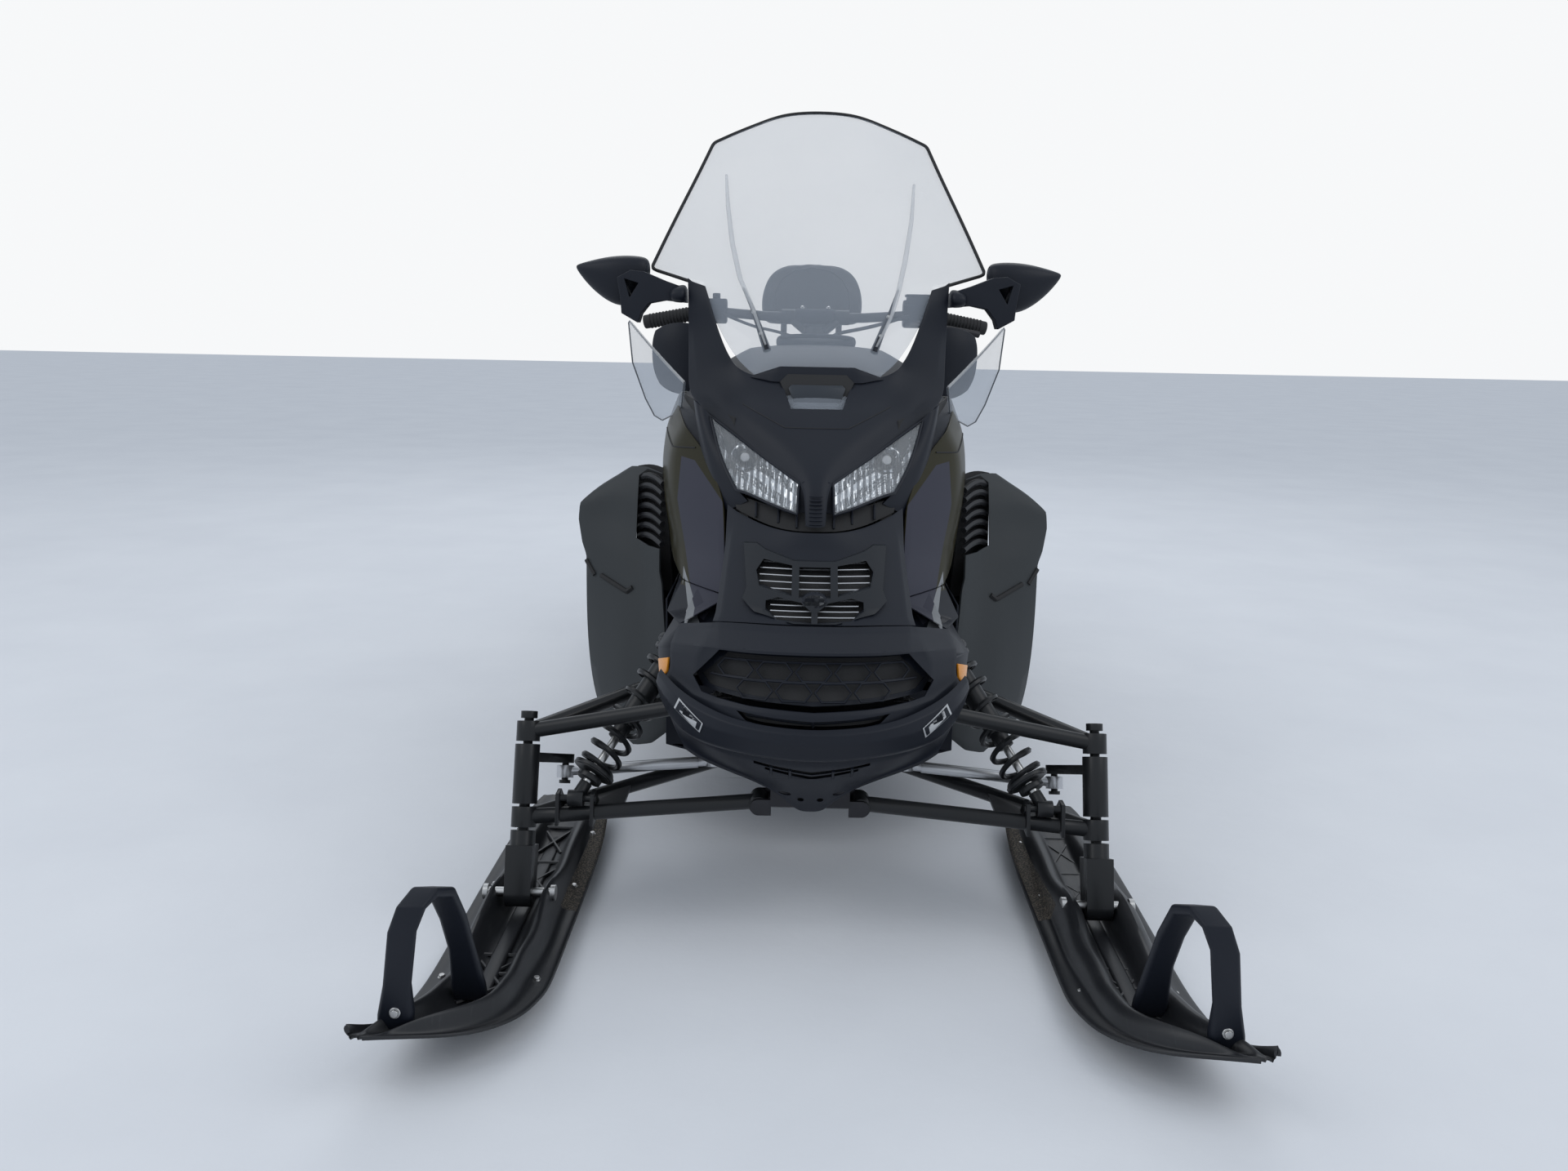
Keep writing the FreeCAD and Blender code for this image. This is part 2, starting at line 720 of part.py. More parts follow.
ground = k.lug_height + k.belt
ramp_z = ground + k.ramp_radius
idler_z = ground + k.idler_radius
WHEELS = [
    (k.drive_y, k.drive_z, k.drive_radius),
    (k.ramp_y, ramp_z, k.ramp_radius),
    (k.idler_y, idler_z, k.idler_radius),
]


def tangent(first, second, offset):
    """Where the belt leaves one circle and meets the next, both turned left."""
    ya, za, ra = first
    yb, zb, rb = second
    gap = math.hypot(yb - ya, zb - za)
    heading = math.atan2(zb - za, yb - ya)
    normal = heading - math.pi / 2 - math.asin((rb - ra) / gap)
    leave = (ya + (ra + offset) * math.cos(normal), za + (ra + offset) * math.sin(normal))
    meet = (yb + (rb + offset) * math.cos(normal), zb + (rb + offset) * math.sin(normal))
    return leave, meet, normal


def belt_runs(offset):
    """The straight runs and arcs round the wheels, in order along the belt."""
    spans = [tangent(WHEELS[i], WHEELS[(i + 1) % 3], offset) for i in range(3)]
    runs = []
    for i, (leave, meet, normal) in enumerate(spans):
        y, z, r = WHEELS[(i + 1) % 3]
        turn = (spans[(i + 1) % 3][2] - normal) % (2 * math.pi)
        runs.append(("line", leave, meet))
        runs.append(("arc", (y, z), r + offset, normal, turn))
    return runs


def belt_wire(offset, x):
    edges = []
    for run in belt_runs(offset):
        if run[0] == "line":
            a, b = run[1], run[2]
            edges.append(Part.LineSegment(V(x, *a), V(x, *b)).toShape())
        else:
            (y, z), r, start, turn = run[1:]
            three = [
                V(x, y + r * math.cos(start + turn * t), z + r * math.sin(start + turn * t))
                for t in (0, 0.5, 1)
            ]
            edges.append(Part.Arc(*three).toShape())
    return Part.Wire(edges)


def belt_length(offset):
    total = 0.0
    for run in belt_runs(offset):
        if run[0] == "line":
            total += math.dist(run[1], run[2])
        else:
            total += run[2] * run[4]
    return total


def belt_station(distance, offset):
    """Point and outward direction at a distance along the belt."""
    for run in belt_runs(offset):
        if run[0] == "line":
            length = math.dist(run[1], run[2])
            if distance <= length:
                t = distance / length
                y = run[1][0] + (run[2][0] - run[1][0]) * t
                z = run[1][1] + (run[2][1] - run[1][1]) * t
                heading = math.atan2(run[2][1] - run[1][1], run[2][0] - run[1][0])
                return (y, z), heading - math.pi / 2
        else:
            (y, z), r, start, turn = run[1:]
            length = r * turn
            if distance <= length:
                angle = start + distance / r
                return (y + r * math.cos(angle), z + r * math.sin(angle)), angle
        distance -= length
    return belt_station(0.0, offset)


half_track = k.track_width / 2
belt_solid = Part.Face(belt_wire(k.belt, -half_track)).extrude(V(k.track_width, 0, 0))
belt_solid = belt_solid.cut(
    Part.Face(belt_wire(0, -half_track - 1)).extrude(V(k.track_width + 2, 0, 0))
)
# Lugs come in two alternating rows: x from, x to
LUG_ROWS = [
    [(-0.98, -0.62), (-0.24, 0.24), (0.62, 0.98)],
    [(-0.66, -0.2), (0.2, 0.66)],
]
whole_length = belt_length(k.belt)
lug_count = 2 * round(whole_length / k.lug_pitch / 2)
lugs = []
for i in range(lug_count):
    (y, z), angle = belt_station(i * whole_length / lug_count, k.belt)
    out = V(0, math.cos(angle), math.sin(angle))
    fore = V(0, -math.sin(angle), math.cos(angle))
    for x0, x1 in LUG_ROWS[i % 2]:
        root = V(x0 * half_track, y, z) - out * 3
        corners = [
            root - fore * 9,
            root + fore * 9,
            root + fore * 4 + out * (k.lug_height + 3),
            root - fore * 4 + out * (k.lug_height + 3),
        ]
        lugs.append(slab(corners, V((x1 - x0) * half_track, 0, 0)))
track_shape = belt_solid.multiFuse(lugs)
feature("track", track_shape)
print("track length", round(belt_length(0)), "lugs", lug_count)

# Slide rails with their plastic sliders

slider_half = 12.0
slider_outer = k.ramp_radius - k.fit
rail_outer = slider_outer - k.slider
rail_inner = rail_outer - k.rail_height
rail_back = k.idler_y + 34
nose = math.radians(218)


def curved_bar(outer, inner, back, x, thickness, tail):
    """A bar along the rails' foot whose front follows the ramp's curve."""
    def at(radius, angle):
        return V(x, k.ramp_y + radius * math.cos(angle), ramp_z + radius * math.sin(angle))

    down = math.radians(270)
    mid = (nose + down) / 2
    low, high = ramp_z - outer, ramp_z - inner
    edges = [
        Part.LineSegment(V(x, back, low), at(outer, down)).toShape(),
        Part.Arc(at(outer, down), at(outer, mid), at(outer, nose)).toShape(),
        Part.LineSegment(at(outer, nose), at(inner, nose)).toShape(),
        Part.Arc(at(inner, nose), at(inner, mid), at(inner, down)).toShape(),
    ]
    corners = [at(inner, down)] + [V(x, y, z) for y, z in tail] + [V(x, back, low)]
    if not tail:
        corners.insert(1, V(x, back, high))
    for a, b in zip(corners, corners[1:]):
        edges.append(Part.LineSegment(a, b).toShape())
    return Part.Face(Part.Wire(edges)).extrude(V(thickness, 0, 0))


rail_top = ramp_z - rail_inner
tail = [
    (k.idler_y - 80, rail_top),
    (k.idler_y - 34, idler_z + 28),
    (rail_back, idler_z + 28),
]
CARRIER = [1400, 1760, 2120]
axle_z = ground + k.fit + k.wheel_radius
rail = curved_bar(rail_outer, rail_inner, rail_back, k.rail_x - k.rail_wall / 2, k.rail_wall, tail)
rail = rail.cut(rod(V(0, k.idler_y, idler_z), V(400, k.idler_y, idler_z), k.axle_radius + k.fit))
for y in CARRIER:
    rail = rail.cut(rod(V(0, y, axle_z), V(400, y, axle_z), 6 + k.fit))
CROSS = [1300, 1580, 1940]
cross_z = rail_top - 20
for y in CROSS:
    rail = rail.cut(rod(V(0, y, cross_z), V(400, y, cross_z), 9 + k.fit))
feature("slide_rails", *both(rail))
slider_bar = curved_bar(
    slider_outer, rail_outer, k.idler_y - 40, k.rail_x - slider_half, 2 * slider_half, []
)
feature("rail_sliders", *both(slider_bar))

cross_rods = [
    rod(V(-k.rail_x - 14, y, cross_z), V(k.rail_x + 14, y, cross_z), 9) for y in CROSS
]

# Wheels inside the track

def wheel(x, y, z, radius, width, bore):
    rim = rod(V(x - width / 2, y, z), V(x + width / 2, y, z), radius)
    rim = rim.cut(rod(V(x - width / 2 - 1, y, z), V(x - width / 4, y, z), radius * 0.78))
    rim = rim.cut(rod(V(x + width / 4, y, z), V(x + width / 2 + 1, y, z), radius * 0.78))
    hub = rod(V(x - width / 2, y, z), V(x + width / 2, y, z), bore + 9)
    return fuse(rim, hub).cut(rod(V(x - 60, y, z), V(x + 60, y, z), bore + k.fit))


REAR_X = [-190, -78, 78, 190]
rear_radius = k.idler_radius - k.fit
rear_axle = rod(V(-215, k.idler_y, idler_z), V(215, k.idler_y, idler_z), k.axle_radius)
rear_wheels = [wheel(x, k.idler_y, idler_z, rear_radius, 26, k.axle_radius) for x in REAR_X]
carrier_x = k.rail_x + slider_half + 3 + k.wheel_width / 2
carriers = []
stubs = []
for y in CARRIER:
    carriers.append(wheel(carrier_x, y, axle_z, k.wheel_radius, k.wheel_width, 6))
    stubs.append(rod(V(k.rail_x - 12, y, axle_z), V(carrier_x + 16, y, axle_z), 6))
feature("idler_wheels", *rear_wheels, *[s for c in carriers for s in both(c)])
feature("rail_shafts", rear_axle, *cross_rods, *[s for c in stubs for s in both(c)])

drive_half = k.tunnel_half - k.tunnel_wall - k.fit
drive = rod(V(-drive_half, k.drive_y, k.drive_z), V(drive_half, k.drive_y, k.drive_z), 16)
sprocket_radius = k.drive_radius - k.fit
sprockets = []
for x in (-150, 150):
    disc = rod(V(x - 20, k.drive_y, k.drive_z), V(x + 20, k.drive_y, k.drive_z), sprocket_radius)
    for i in range(9):
        angle = math.radians(40 * i)
        centre = V(
            x - 30,
            k.drive_y + sprocket_radius * math.cos(angle),
            k.drive_z + sprocket_radius * math.sin(angle),
        )
        disc = disc.cut(Part.makeCylinder(13, 60, centre, V(1, 0, 0)))
    sprockets.append(disc)
feature("drive_axle", fuse(drive, *sprockets))

# Suspension arms and dampers inside the track

front_arm_head = V(0, 1085, 400)
rear_arm_head = V(0, 1700, 338)


def torque_arm(head, foot_y, half):
    """A shaft across the tunnel, two legs and a shaft across the rails."""
    foot = V(0, foot_y, cross_z)
    shaft = k.tunnel_half - k.tunnel_wall - k.fit
    sleeve = k.rail_x - k.rail_wall / 2 - 2
    parts = [
        rod(head - V(shaft, 0, 0), head + V(shaft, 0, 0), 13),
        rod(foot - V(sleeve, 0, 0), foot + V(sleeve, 0, 0), 16),
    ]
    for x in (-half, half):
        parts.append(rod(V(x, head.y, head.z), V(x, foot.y, foot.z), 13))
    made = fuse(*parts)
    return made.cut(rod(foot - V(400, 0, 0), foot + V(400, 0, 0), 9 + k.fit))


arms = [torque_arm(front_arm_head, CROSS[0], 90), torque_arm(rear_arm_head, CROSS[2], 90)]
feature("torque_arms", *arms)


def track_damper(head, foot):
    along = (head - foot).normalize()
    length = (head - foot).Length
    parts = [
        rod(head - V(16, 0, 0), head + V(16, 0, 0), 22),
        rod(foot - V(16, 0, 0), foot + V(16, 0, 0), 18),
        rod(foot, foot + along * length, 8),
        rod(foot + along * length * 0.3, foot + along * (length - 18), 24),
    ]
    made = fuse(*parts)
    made = made.cut(rod(head - V(50, 0, 0), head + V(50, 0, 0), 13 + k.fit))
    return made.cut(rod(foot - V(50, 0, 0), foot + V(50, 0, 0), 9 + k.fit))


feature(
    "track_dampers",
    track_damper(rear_arm_head, V(0, CROSS[1], cross_z)),
)

# Tunnel, running boards and what stands on them

tunnel = body("tunnel")
side_foot = k.board_z
outer_half = k.tunnel_half
inner_half = k.tunnel_half - k.tunnel_wall
tunnel_sketch = sketch(
    tunnel,
    "XZ_Plane",
    [
        [
            (-outer_half, side_foot),
            (-outer_half, k.tunnel_top),
            (outer_half, k.tunnel_top),
            (outer_half, side_foot),
            (inner_half, side_foot),
            (inner_half, k.tunnel_top - k.tunnel_wall),
            (-inner_half, k.tunnel_top - k.tunnel_wall),
            (-inner_half, side_foot),
        ]
    ],
)
pad(tunnel, tunnel_sketch, "sizes.tunnel_back - sizes.tunnel_front", backward=True)
anchor_holes = tunnel.newObject("Sketcher::SketchObject", "anchor_holes")
anchor_holes.AttachmentSupport = [(next(f for f in tunnel.Origin.OriginFeatures if f.Role == "XY_Plane"), "")]
anchor_holes.MapMode = "FlatFace"
anchor_holes.AttachmentOffset = FreeCAD.Placement(V(0, 0, k.tunnel_top + 1), FreeCAD.Rotation())
for x in (-k.anchor_x / 2, k.anchor_x / 2):
    for y in (-k.anchor_y / 2, k.anchor_y / 2):
        place = V(x, k.tunnel_back - k.anchor_inset - k.tunnel_front + y, 0)
        anchor_holes.addGeometry(Part.Circle(place, V(0, 0, 1), k.anchor_hole), False)
doc.recompute()
pocket(tunnel, anchor_holes, "sizes.tunnel_wall + 2")
tunnel.Placement = FreeCAD.Placement(V(0, k.tunnel_front, 0), FreeCAD.Rotation())
keep(tunnel, "tunnel")


board_front = 640.0
board_back = k.tunnel_back - 120


def running_board():
    inner = k.tunnel_half
    lip = k.board_lip
    plate = block(inner, board_half, board_front, board_back, k.board_z, k.board_z + k.board_wall)
    edge = block(board_half - 18, board_half, board_front, board_back, k.board_z - 6, k.board_z + lip)
    flange = block(inner + k.fit, inner + k.fit + 4, board_front, board_back, k.board_z, k.board_z + 60)
    made = fuse(plate, edge, flange)
    step = 110.0
    first = 760.0
    slots = []
    for i in range(15):
        y = first + i * step
        for x in (inner + 52, inner + 100):
            slots.append(block(x - 15, x + 15, y, y + 74, k.board_z - 1, k.board_z + k.board_wall + 1))
    return made.cut(Part.Compound(slots))


board = running_board()
feature("running_boards", *both(board))

# Brackets that carry the rear suspension arm below the boards
drop = block(
    inner_half - 6, inner_half - k.fit, rear_arm_head.y - 34, rear_arm_head.y + 34,
    rear_arm_head.z - 24, k.board_z + 60,
)
drop = drop.cut(
    rod(V(0, rear_arm_head.y, rear_arm_head.z), V(400, rear_arm_head.y, rear_arm_head.z), 13 + k.fit)
)
feature("drop_brackets", *both(drop))

# Rear bumper, hitch and snow flap

grab_x = k.tunnel_half + k.bumper_radius + k.fit
grab_z = k.tunnel_top - 60
grab_front = k.tunnel_back - 260
grab_back = k.tunnel_back + 80
bumper_path = [
    V(grab_x, grab_front, grab_z),
    V(grab_x, grab_back, grab_z),
    V(-grab_x, grab_back, grab_z),
    V(-grab_x, grab_front, grab_z),
]
feature("rear_bumper", tube(bumper_path, k.bumper_radius, 70))

hitch_y = k.tunnel_back + 46
hitch_z = 420.0
rear_plate = block(-inner_half + k.fit, inner_half - k.fit, k.tunnel_back - 6, k.tunnel_back, 370, 560)
jaws = []
for start in (hitch_z - k.hitch_gap / 2 - k.hitch_plate, hitch_z + k.hitch_gap / 2):
    jaw = block(-28, 28, k.tunnel_back - 1, hitch_y, start, start + k.hitch_plate)
    jaw = jaw.fuse(rod(V(0, hitch_y, start), V(0, hitch_y, start + k.hitch_plate), 28))
    jaws.append(jaw)
hitch = fuse(rear_plate, *jaws)
hitch = hitch.cut(rod(V(0, hitch_y, 300), V(0, hitch_y, 600), k.hitch_bore))
feature("hitch", hitch)

flap = side_prism(
    [
        (k.tunnel_back + k.fit, 604),
        (k.tunnel_back + k.fit + 5, 604),
        (k.tunnel_back + k.fit + 5, 480),
        (k.tail_reach, 240),
        (k.tail_reach - 5, 238),
        (k.tunnel_back + k.fit, 478),
    ],
    -k.tunnel_half,
    k.tunnel_half,
)
flap = flap.cut(block(-45, 45, k.tunnel_back - 10, k.tail_reach, hitch_z - 60, hitch_z + 50))
feature("snow_flap", flap)

# Cargo rack on the tunnel

rack_z = 672.0
rack_half = 205.0
rack_front = k.tunnel_back - 270
rack_back = k.tunnel_back + 20
r = k.rack_radius
rack_parts = [
    tube(
        [
            V(rack_half, rack_front, rack_z),
            V(rack_half, rack_back, rack_z),
            V(-rack_half, rack_back, rack_z),
            V(-rack_half, rack_front, rack_z),
        ],
        r,
        60,
    )
]
for y in (rack_front + 20, rack_front + 60, rack_front + 180):
    rack_parts.append(rod(V(-rack_half, y, rack_z), V(rack_half, y, rack_z), r - 1))
for x in (-120.0, 0.0, 120.0):
    rack_parts.append(rod(V(x, rack_front + 20, rack_z), V(x, rack_back, rack_z), r - 3))
for x in (-rack_half, rack_half):
    for y in (rack_front + 20, rack_front + 180):
        rack_parts.append(rod(V(x, y, k.tunnel_top + 6), V(x, y, rack_z), r - 1))
        rack_parts.append(rod(V(x, y, k.tunnel_top), V(x, y, k.tunnel_top + 8), 22))
feature("cargo_rack", fuse(*rack_parts))

tail_lamp = bound(
    "Part::Box",
    "tail_lamp",
    Length="sizes.lamp_width",
    Width="sizes.lamp_depth",
    Height="sizes.lamp_height",
)
tail_lamp.Placement.Base = V(-k.lamp_width / 2, k.tunnel_back - 26 - k.lamp_depth, k.tunnel_top + k.fit)
keep(tail_lamp, "tail_lamp")

# Seat and backrest

def seat_section(y, half_top, half_low, low, top):
    return [
        V(-half_low, y, low),
        V(half_low, y, low),
        V(half_low + 4, y, low + 60),
        V(half_top, y, top - 18),
        V(half_top - 30, y, top),
        V(-half_top + 30, y, top),
        V(-half_top, y, top - 18),
        V(-half_low - 4, y, low + 60),
    ]


seat_low = k.tunnel_top + k.fit
seat = loft(
    [
        seat_section(k.seat_front, 100, 150, seat_low, k.seat_top - 40),
        seat_section(k.seat_front + 180, 150, 190, seat_low, k.seat_top),
        seat_section(1720, 175, 205, seat_low, k.seat_top + 10),
        seat_section(1810, 180, 205, seat_low, k.seat_top + 70),
        seat_section(k.seat_back, 170, 200, seat_low, k.seat_top + 80),
    ]
)
feature("seat", seat)

rest_y = 2170.0


def rest_section(z, half, front, back):
    return [
        V(-half, back, z),
        V(-half, front + 14, z),
        V(-half + 40, front, z),
        V(half - 40, front, z),
        V(half, front + 14, z),
        V(half, back, z),
    ]


backrest = loft(
    [
        rest_section(1012, 150, rest_y - 30, rest_y + 36),
        rest_section(1040, 166, rest_y - 46, rest_y + 36),
        rest_section(1100, 168, rest_y - 46, rest_y + 36),
        rest_section(1175, 150, rest_y - 30, rest_y + 36),
        rest_section(1218, 100, rest_y - 6, rest_y + 36),
    ]
)
feature("backrest", backrest)
post_y = rest_y + 36 + k.fit + 10
posts = []
for x in (-90.0, 90.0):
    bends = [(2250, k.tunnel_top), (2250, 840), (post_y, 940), (post_y, 1120)]
    posts.append(tube([V(x, y, z) for y, z in bends], 10, 60))
posts.append(rod(V(-90, post_y, 1050), V(90, post_y, 1050), 8))
feature("backrest_frame", fuse(*posts))

# Fuel tank under the console, and its cap

def tank_section(y, half_top, half_low, low, top):
    return [
        V(-half_low, y, low),
        V(half_low, y, low),
        V(half_low, y, low + 40),
        V(half_top, y, top - 20),
        V(half_top - 40, y, top),
        V(-half_top + 40, y, top),
        V(-half_top, y, top - 20),
        V(-half_low, y, low + 40),
    ]


console = loft(
    [
        tank_section(940, 190, 240, seat_low, 850),
        tank_section(1060, 170, 235, seat_low, 830),
        tank_section(k.seat_front - 4, 112, 160, seat_low, 762),
    ]
)
fuel_cap = rod(V(0, 1090, 815), V(0, 1098, 850), 42)
feature("console", fuse(console, fuel_cap))

# Engine: one plain block, and the plate under it

belly_floor = 186.0
engine = bound(
    "Part::Box",
    "engine",
    Length="sizes.engine_width",
    Width="sizes.engine_length",
    Height="sizes.engine_height",
)
engine.Placement.Base = V(-k.engine_width / 2, 400, belly_floor + k.skin + k.fit)
keep(engine, "engine")

# Handlebar with its post, grips and controls

post_dir = V(0, math.sin(math.radians(k.post_lean)), math.cos(math.radians(k.post_lean)))
post_back = V(0, math.cos(math.radians(k.post_lean)), -math.sin(math.radians(k.post_lean)))
bar_centre = V(0, k.bar_y, k.bar_z)
bar_rise = 40.0
bar_points = []
for x, rise, back in [(k.grip_end, 62, 62), (250, 72, 28), (110, bar_rise, 0)]:
    bar_points.append(bar_centre + V(x, 0, 0) + post_dir * rise + post_back * back)
bar_points = bar_points + [V(-p.x, p.y, p.z) for p in reversed(bar_points)]
handlebar = tube(bar_points, k.bar_radius, 60)
post = rod(bar_centre - post_dir * 400, bar_centre + post_dir * 6, k.post_radius)
clamp = bar_centre + post_dir * bar_rise
riser_parts = [rod(bar_centre - post_dir * 48, bar_centre, 24)]
leg_top, leg_foot, cross_share = 62.0, 12.0, 0.45
for side in (-1, 1):
    foot = bar_centre - post_dir * 10 + V(side * leg_foot, 0, 0)
    riser_parts.append(rod(foot, clamp + V(side * leg_top, 0, 0), 9))
    riser_parts.append(
        rod(clamp + V(side * (leg_top - 16), 0, 0), clamp + V(side * (leg_top + 16), 0, 0), k.bar_radius + 6)
    )
cross_at = bar_centre - post_dir * 10 + (clamp - bar_centre + post_dir * 10) * cross_share
cross_half = leg_foot + (leg_top - leg_foot) * cross_share
riser_parts.append(rod(cross_at - V(cross_half, 0, 0), cross_at + V(cross_half, 0, 0), 7))
riser = fuse(*riser_parts)
feature("handlebar", fuse(handlebar, post, riser))
grip_start = bar_points[0] + (bar_points[1] - bar_points[0]).normalize() * 125
grip = rod(grip_start, bar_points[0] + (bar_points[0] - grip_start).normalize() * 6, k.grip_radius)
grip = grip.cut(handlebar).cut(rod(grip_start, bar_points[0], k.bar_radius))
grip = max(grip.Solids, key=lambda s: s.Volume)
feature("grips", *both(grip))
control_at = grip_start + (bar_points[1] - grip_start).normalize() * 46
control = seated(
    block(
        control_at.x - 30, control_at.x + 30, control_at.y - 26, control_at.y + 26,
        control_at.z - 34, control_at.z + 44,
    ),
    handlebar,
)
feature("bar_controls", *both(control))

# Hand guards: curved shields ahead of the grips, on brackets from the controls
guard = panel(
    points(
        [
            [(280, 968, 1012), (307, 966, 1016), (345, 975, 1010), (368, 992, 995)],
            [(276, 952, 975), (307, 950, 980), (350, 962, 978), (376, 985, 972)],
            [(276, 948, 905), (306, 948, 905), (348, 960, 905), (374, 984, 905)],
            [(284, 958, 856), (305, 958, 850), (338, 970, 858), (358, 986, 874)],
        ]
    ),
    V(0, k.skin, 0),
)
guard_stay = rod(V(286, 968, 1004), V(control_at.x, control_at.y, control_at.z - 10), 6)
feature("hand_guards", *both(seated(fuse(guard, guard_stay), control, handlebar)))

ring_at = bar_centre - post_dir * 172
bearing = rod(ring_at - post_dir * 14, ring_at + post_dir * 14, 30)
legs = [
    rod(V(side * 150, 830, k.tunnel_top + 8), ring_at + V(side * 24, 0, 0), 11) for side in (-1, 1)
]
pads = [rod(V(side * 150, 830, k.tunnel_top), V(side * 150, 830, k.tunnel_top + 10), 24) for side in (-1, 1)]
mount = fuse(bearing, *legs, *pads).cut(
    rod(bar_centre - post_dir * 500, bar_centre, k.post_radius + k.fit)
)
feature("steering_mount", mount)

# Belly pan: a nose, a floor under the engine and a wall ahead of the track

side_x = k.tunnel_half
belly_front = k.frame_back + k.fit
belly_back = k.tunnel_front - k.fit
floor_in = V(0, 0, k.skin)
arm_gaps = both(rod(V(high_pivot_x, high_y[0], high_pivot_z), high_joint, k.arm_radius + 3))
belly_nose = panel(
    across(
        [
            [
                (0, -88, 362), (46, -86, 362), (90, -76, 362), (134, -56, 362),
                (180, -20, 362), (222, 24, 366), (246, 74, 392),
            ],
            [
                (0, -80, 336), (45, -78, 337), (86, -68, 338), (130, -44, 340),
                (172, -8, 342), (210, 34, 348), (238, 72, 366),
            ],
            [
                (0, -50, 300), (42, -46, 301), (80, -36, 303), (122, -14, 310),
                (166, 20, 318), (204, 50, 328), (230, 70, 346),
            ],
            [
                (0, -18, 268), (32, -14, 270), (62, -8, 280), (104, 6, 290),
                (152, 32, 300), (196, 56, 312), (222, 70, 330),
            ],
            [
                (0, 4, 238), (24, 6, 240), (48, 8, 256), (86, 6, 280),
                (140, 34, 290), (192, 56, 304), (216, 68, 318),
            ],
            [
                (0, 14, 224), (22, 15, 224), (44, 12, 249), (82, 2, 276),
                (138, 32, 285), (190, 52, 299), (214, 66, 312),
            ],
        ]
    ),
    V(0, k.skin, 0),
)
belly_nose = seated(belly_nose, *arm_gaps)
for drop, half in [(0, 92), (11, 74)]:
    slot = [(-half, 340), (0, 324), (half, 340), (half, 334), (0, 317), (-half, 334)]
    belly_nose = belly_nose.cut(front_prism([(x, z - drop) for x, z in slot], -200, 60))
for x in (-16, 16):
    belly_nose = belly_nose.cut(rod(V(x, -100, 250), V(x, 60, 250), 5))
floor_rows = across(
    [
        [
            (0, belly_front, belly_floor), (190, belly_front, belly_floor),
            (side_x, belly_front, belly_floor + 24),
        ],
        [
            (0, belly_back, belly_floor), (190, belly_back, belly_floor),
            (side_x, belly_back, belly_floor + 24),
        ],
    ]
)
wall_z = 500.0
belly_parts = [
    panel(floor_rows, floor_in),
    block(-side_x, side_x, belly_back - k.skin, belly_back, belly_floor + 24, k.tunnel_top),
    block(-190, 190, belly_back - k.skin, belly_back, belly_floor, belly_floor + 30),
    block(-side_x, side_x, belly_front, belly_front + k.skin, belly_floor + 24, 330),
    block(-190, 190, belly_front, belly_front + k.skin, belly_floor, belly_floor + 30),
]
side_wall = block(side_x - k.skin, side_x, belly_front, belly_back, belly_floor + 24, wall_z)
belly_pan = fuse(*belly_parts, side_wall, mirrored(side_wall))
feature("belly_pan", belly_nose, belly_pan)

# Fascia with the grille's opening, and the grille in it
FASCIA = [
    [(0, 12, 540), (60, 14, 540), (112, 26, 540), (156, 44, 537), (166, 52, 534), (228, 128, 513)],
    [(0, -2, 532), (60, 0, 532), (110, 12, 532), (154, 28, 530), (170, 44, 526), (230, 118, 510)],
    [(0, -48, 512), (60, -44, 512), (108, -36, 512), (150, -20, 510), (178, 2, 506), (238, 84, 490)],
    [(0, -54, 500), (60, -50, 500), (112, -42, 500), (156, -22, 496), (188, 6, 486), (238, 70, 478)],
    [(0, -84, 436), (60, -78, 437), (106, -66, 438), (152, -42, 438), (190, -4, 440), (236, 60, 454)],
    [(0, -96, 424), (60, -90, 425), (106, -78, 427), (152, -52, 428), (192, -14, 432), (240, 56, 446)],
    [(0, -104, 404), (60, -97, 405), (108, -82, 408), (156, -52, 412), (198, -12, 420), (246, 60, 436)],
]
fascia_wall = 6.0
mouth_depth = 24.0
fascia_panel = panel(across(FASCIA), V(0, fascia_wall, 0))
mouth = [
    (-150, 508), (150, 508), (194, 458), (178, 438), (100, 432),
    (0, 428), (-100, 432), (-178, 438), (-194, 458),
]
mouth_inner = [
    (-136, 497), (136, 497), (178, 457), (163, 444), (95, 438),
    (0, 434), (-95, 438), (-163, 444), (-178, 457),
]
intake = [(-120, 424), (0, 416), (120, 424), (104, 410), (0, 400), (-104, 410)]
fascia = fascia_panel.cut(front_prism(mouth, -200, 60)).cut(front_prism(intake, -200, 40))
rim = panel(across(FASCIA), V(0, mouth_depth, 0)).common(front_prism(mouth, -200, 60))
rim = rim.cut(front_prism(mouth_inner, -200, 60))
fascia = fascia.multiFuse([rim])
feature("front_fascia", fascia)
grille = panel(across(FASCIA[1:6]), V(0, 4, 0))
grille.translate(V(0, mouth_depth + k.fit, 0))
grille = grille.common(front_prism(mouth, -200, 120))
# The grille's rows of long hexagons: height, shift in pitches
HEXAGON_ROWS = [(478, 0.0), (449, 0.5)]
hexagon_pitch = 62.0
for height, shift in HEXAGON_ROWS:
    for i in range(-3, 4):
        x = (i + shift) * hexagon_pitch
        if abs(x) < 150:
            hexagon = [(-28, 0), (-17, 12.5), (17, 12.5), (28, 0), (17, -12.5), (-17, -12.5)]
            cutter = front_prism([(x + a, height + b) for a, b in hexagon], -200, 120)
            grille = grille.cut(cutter)

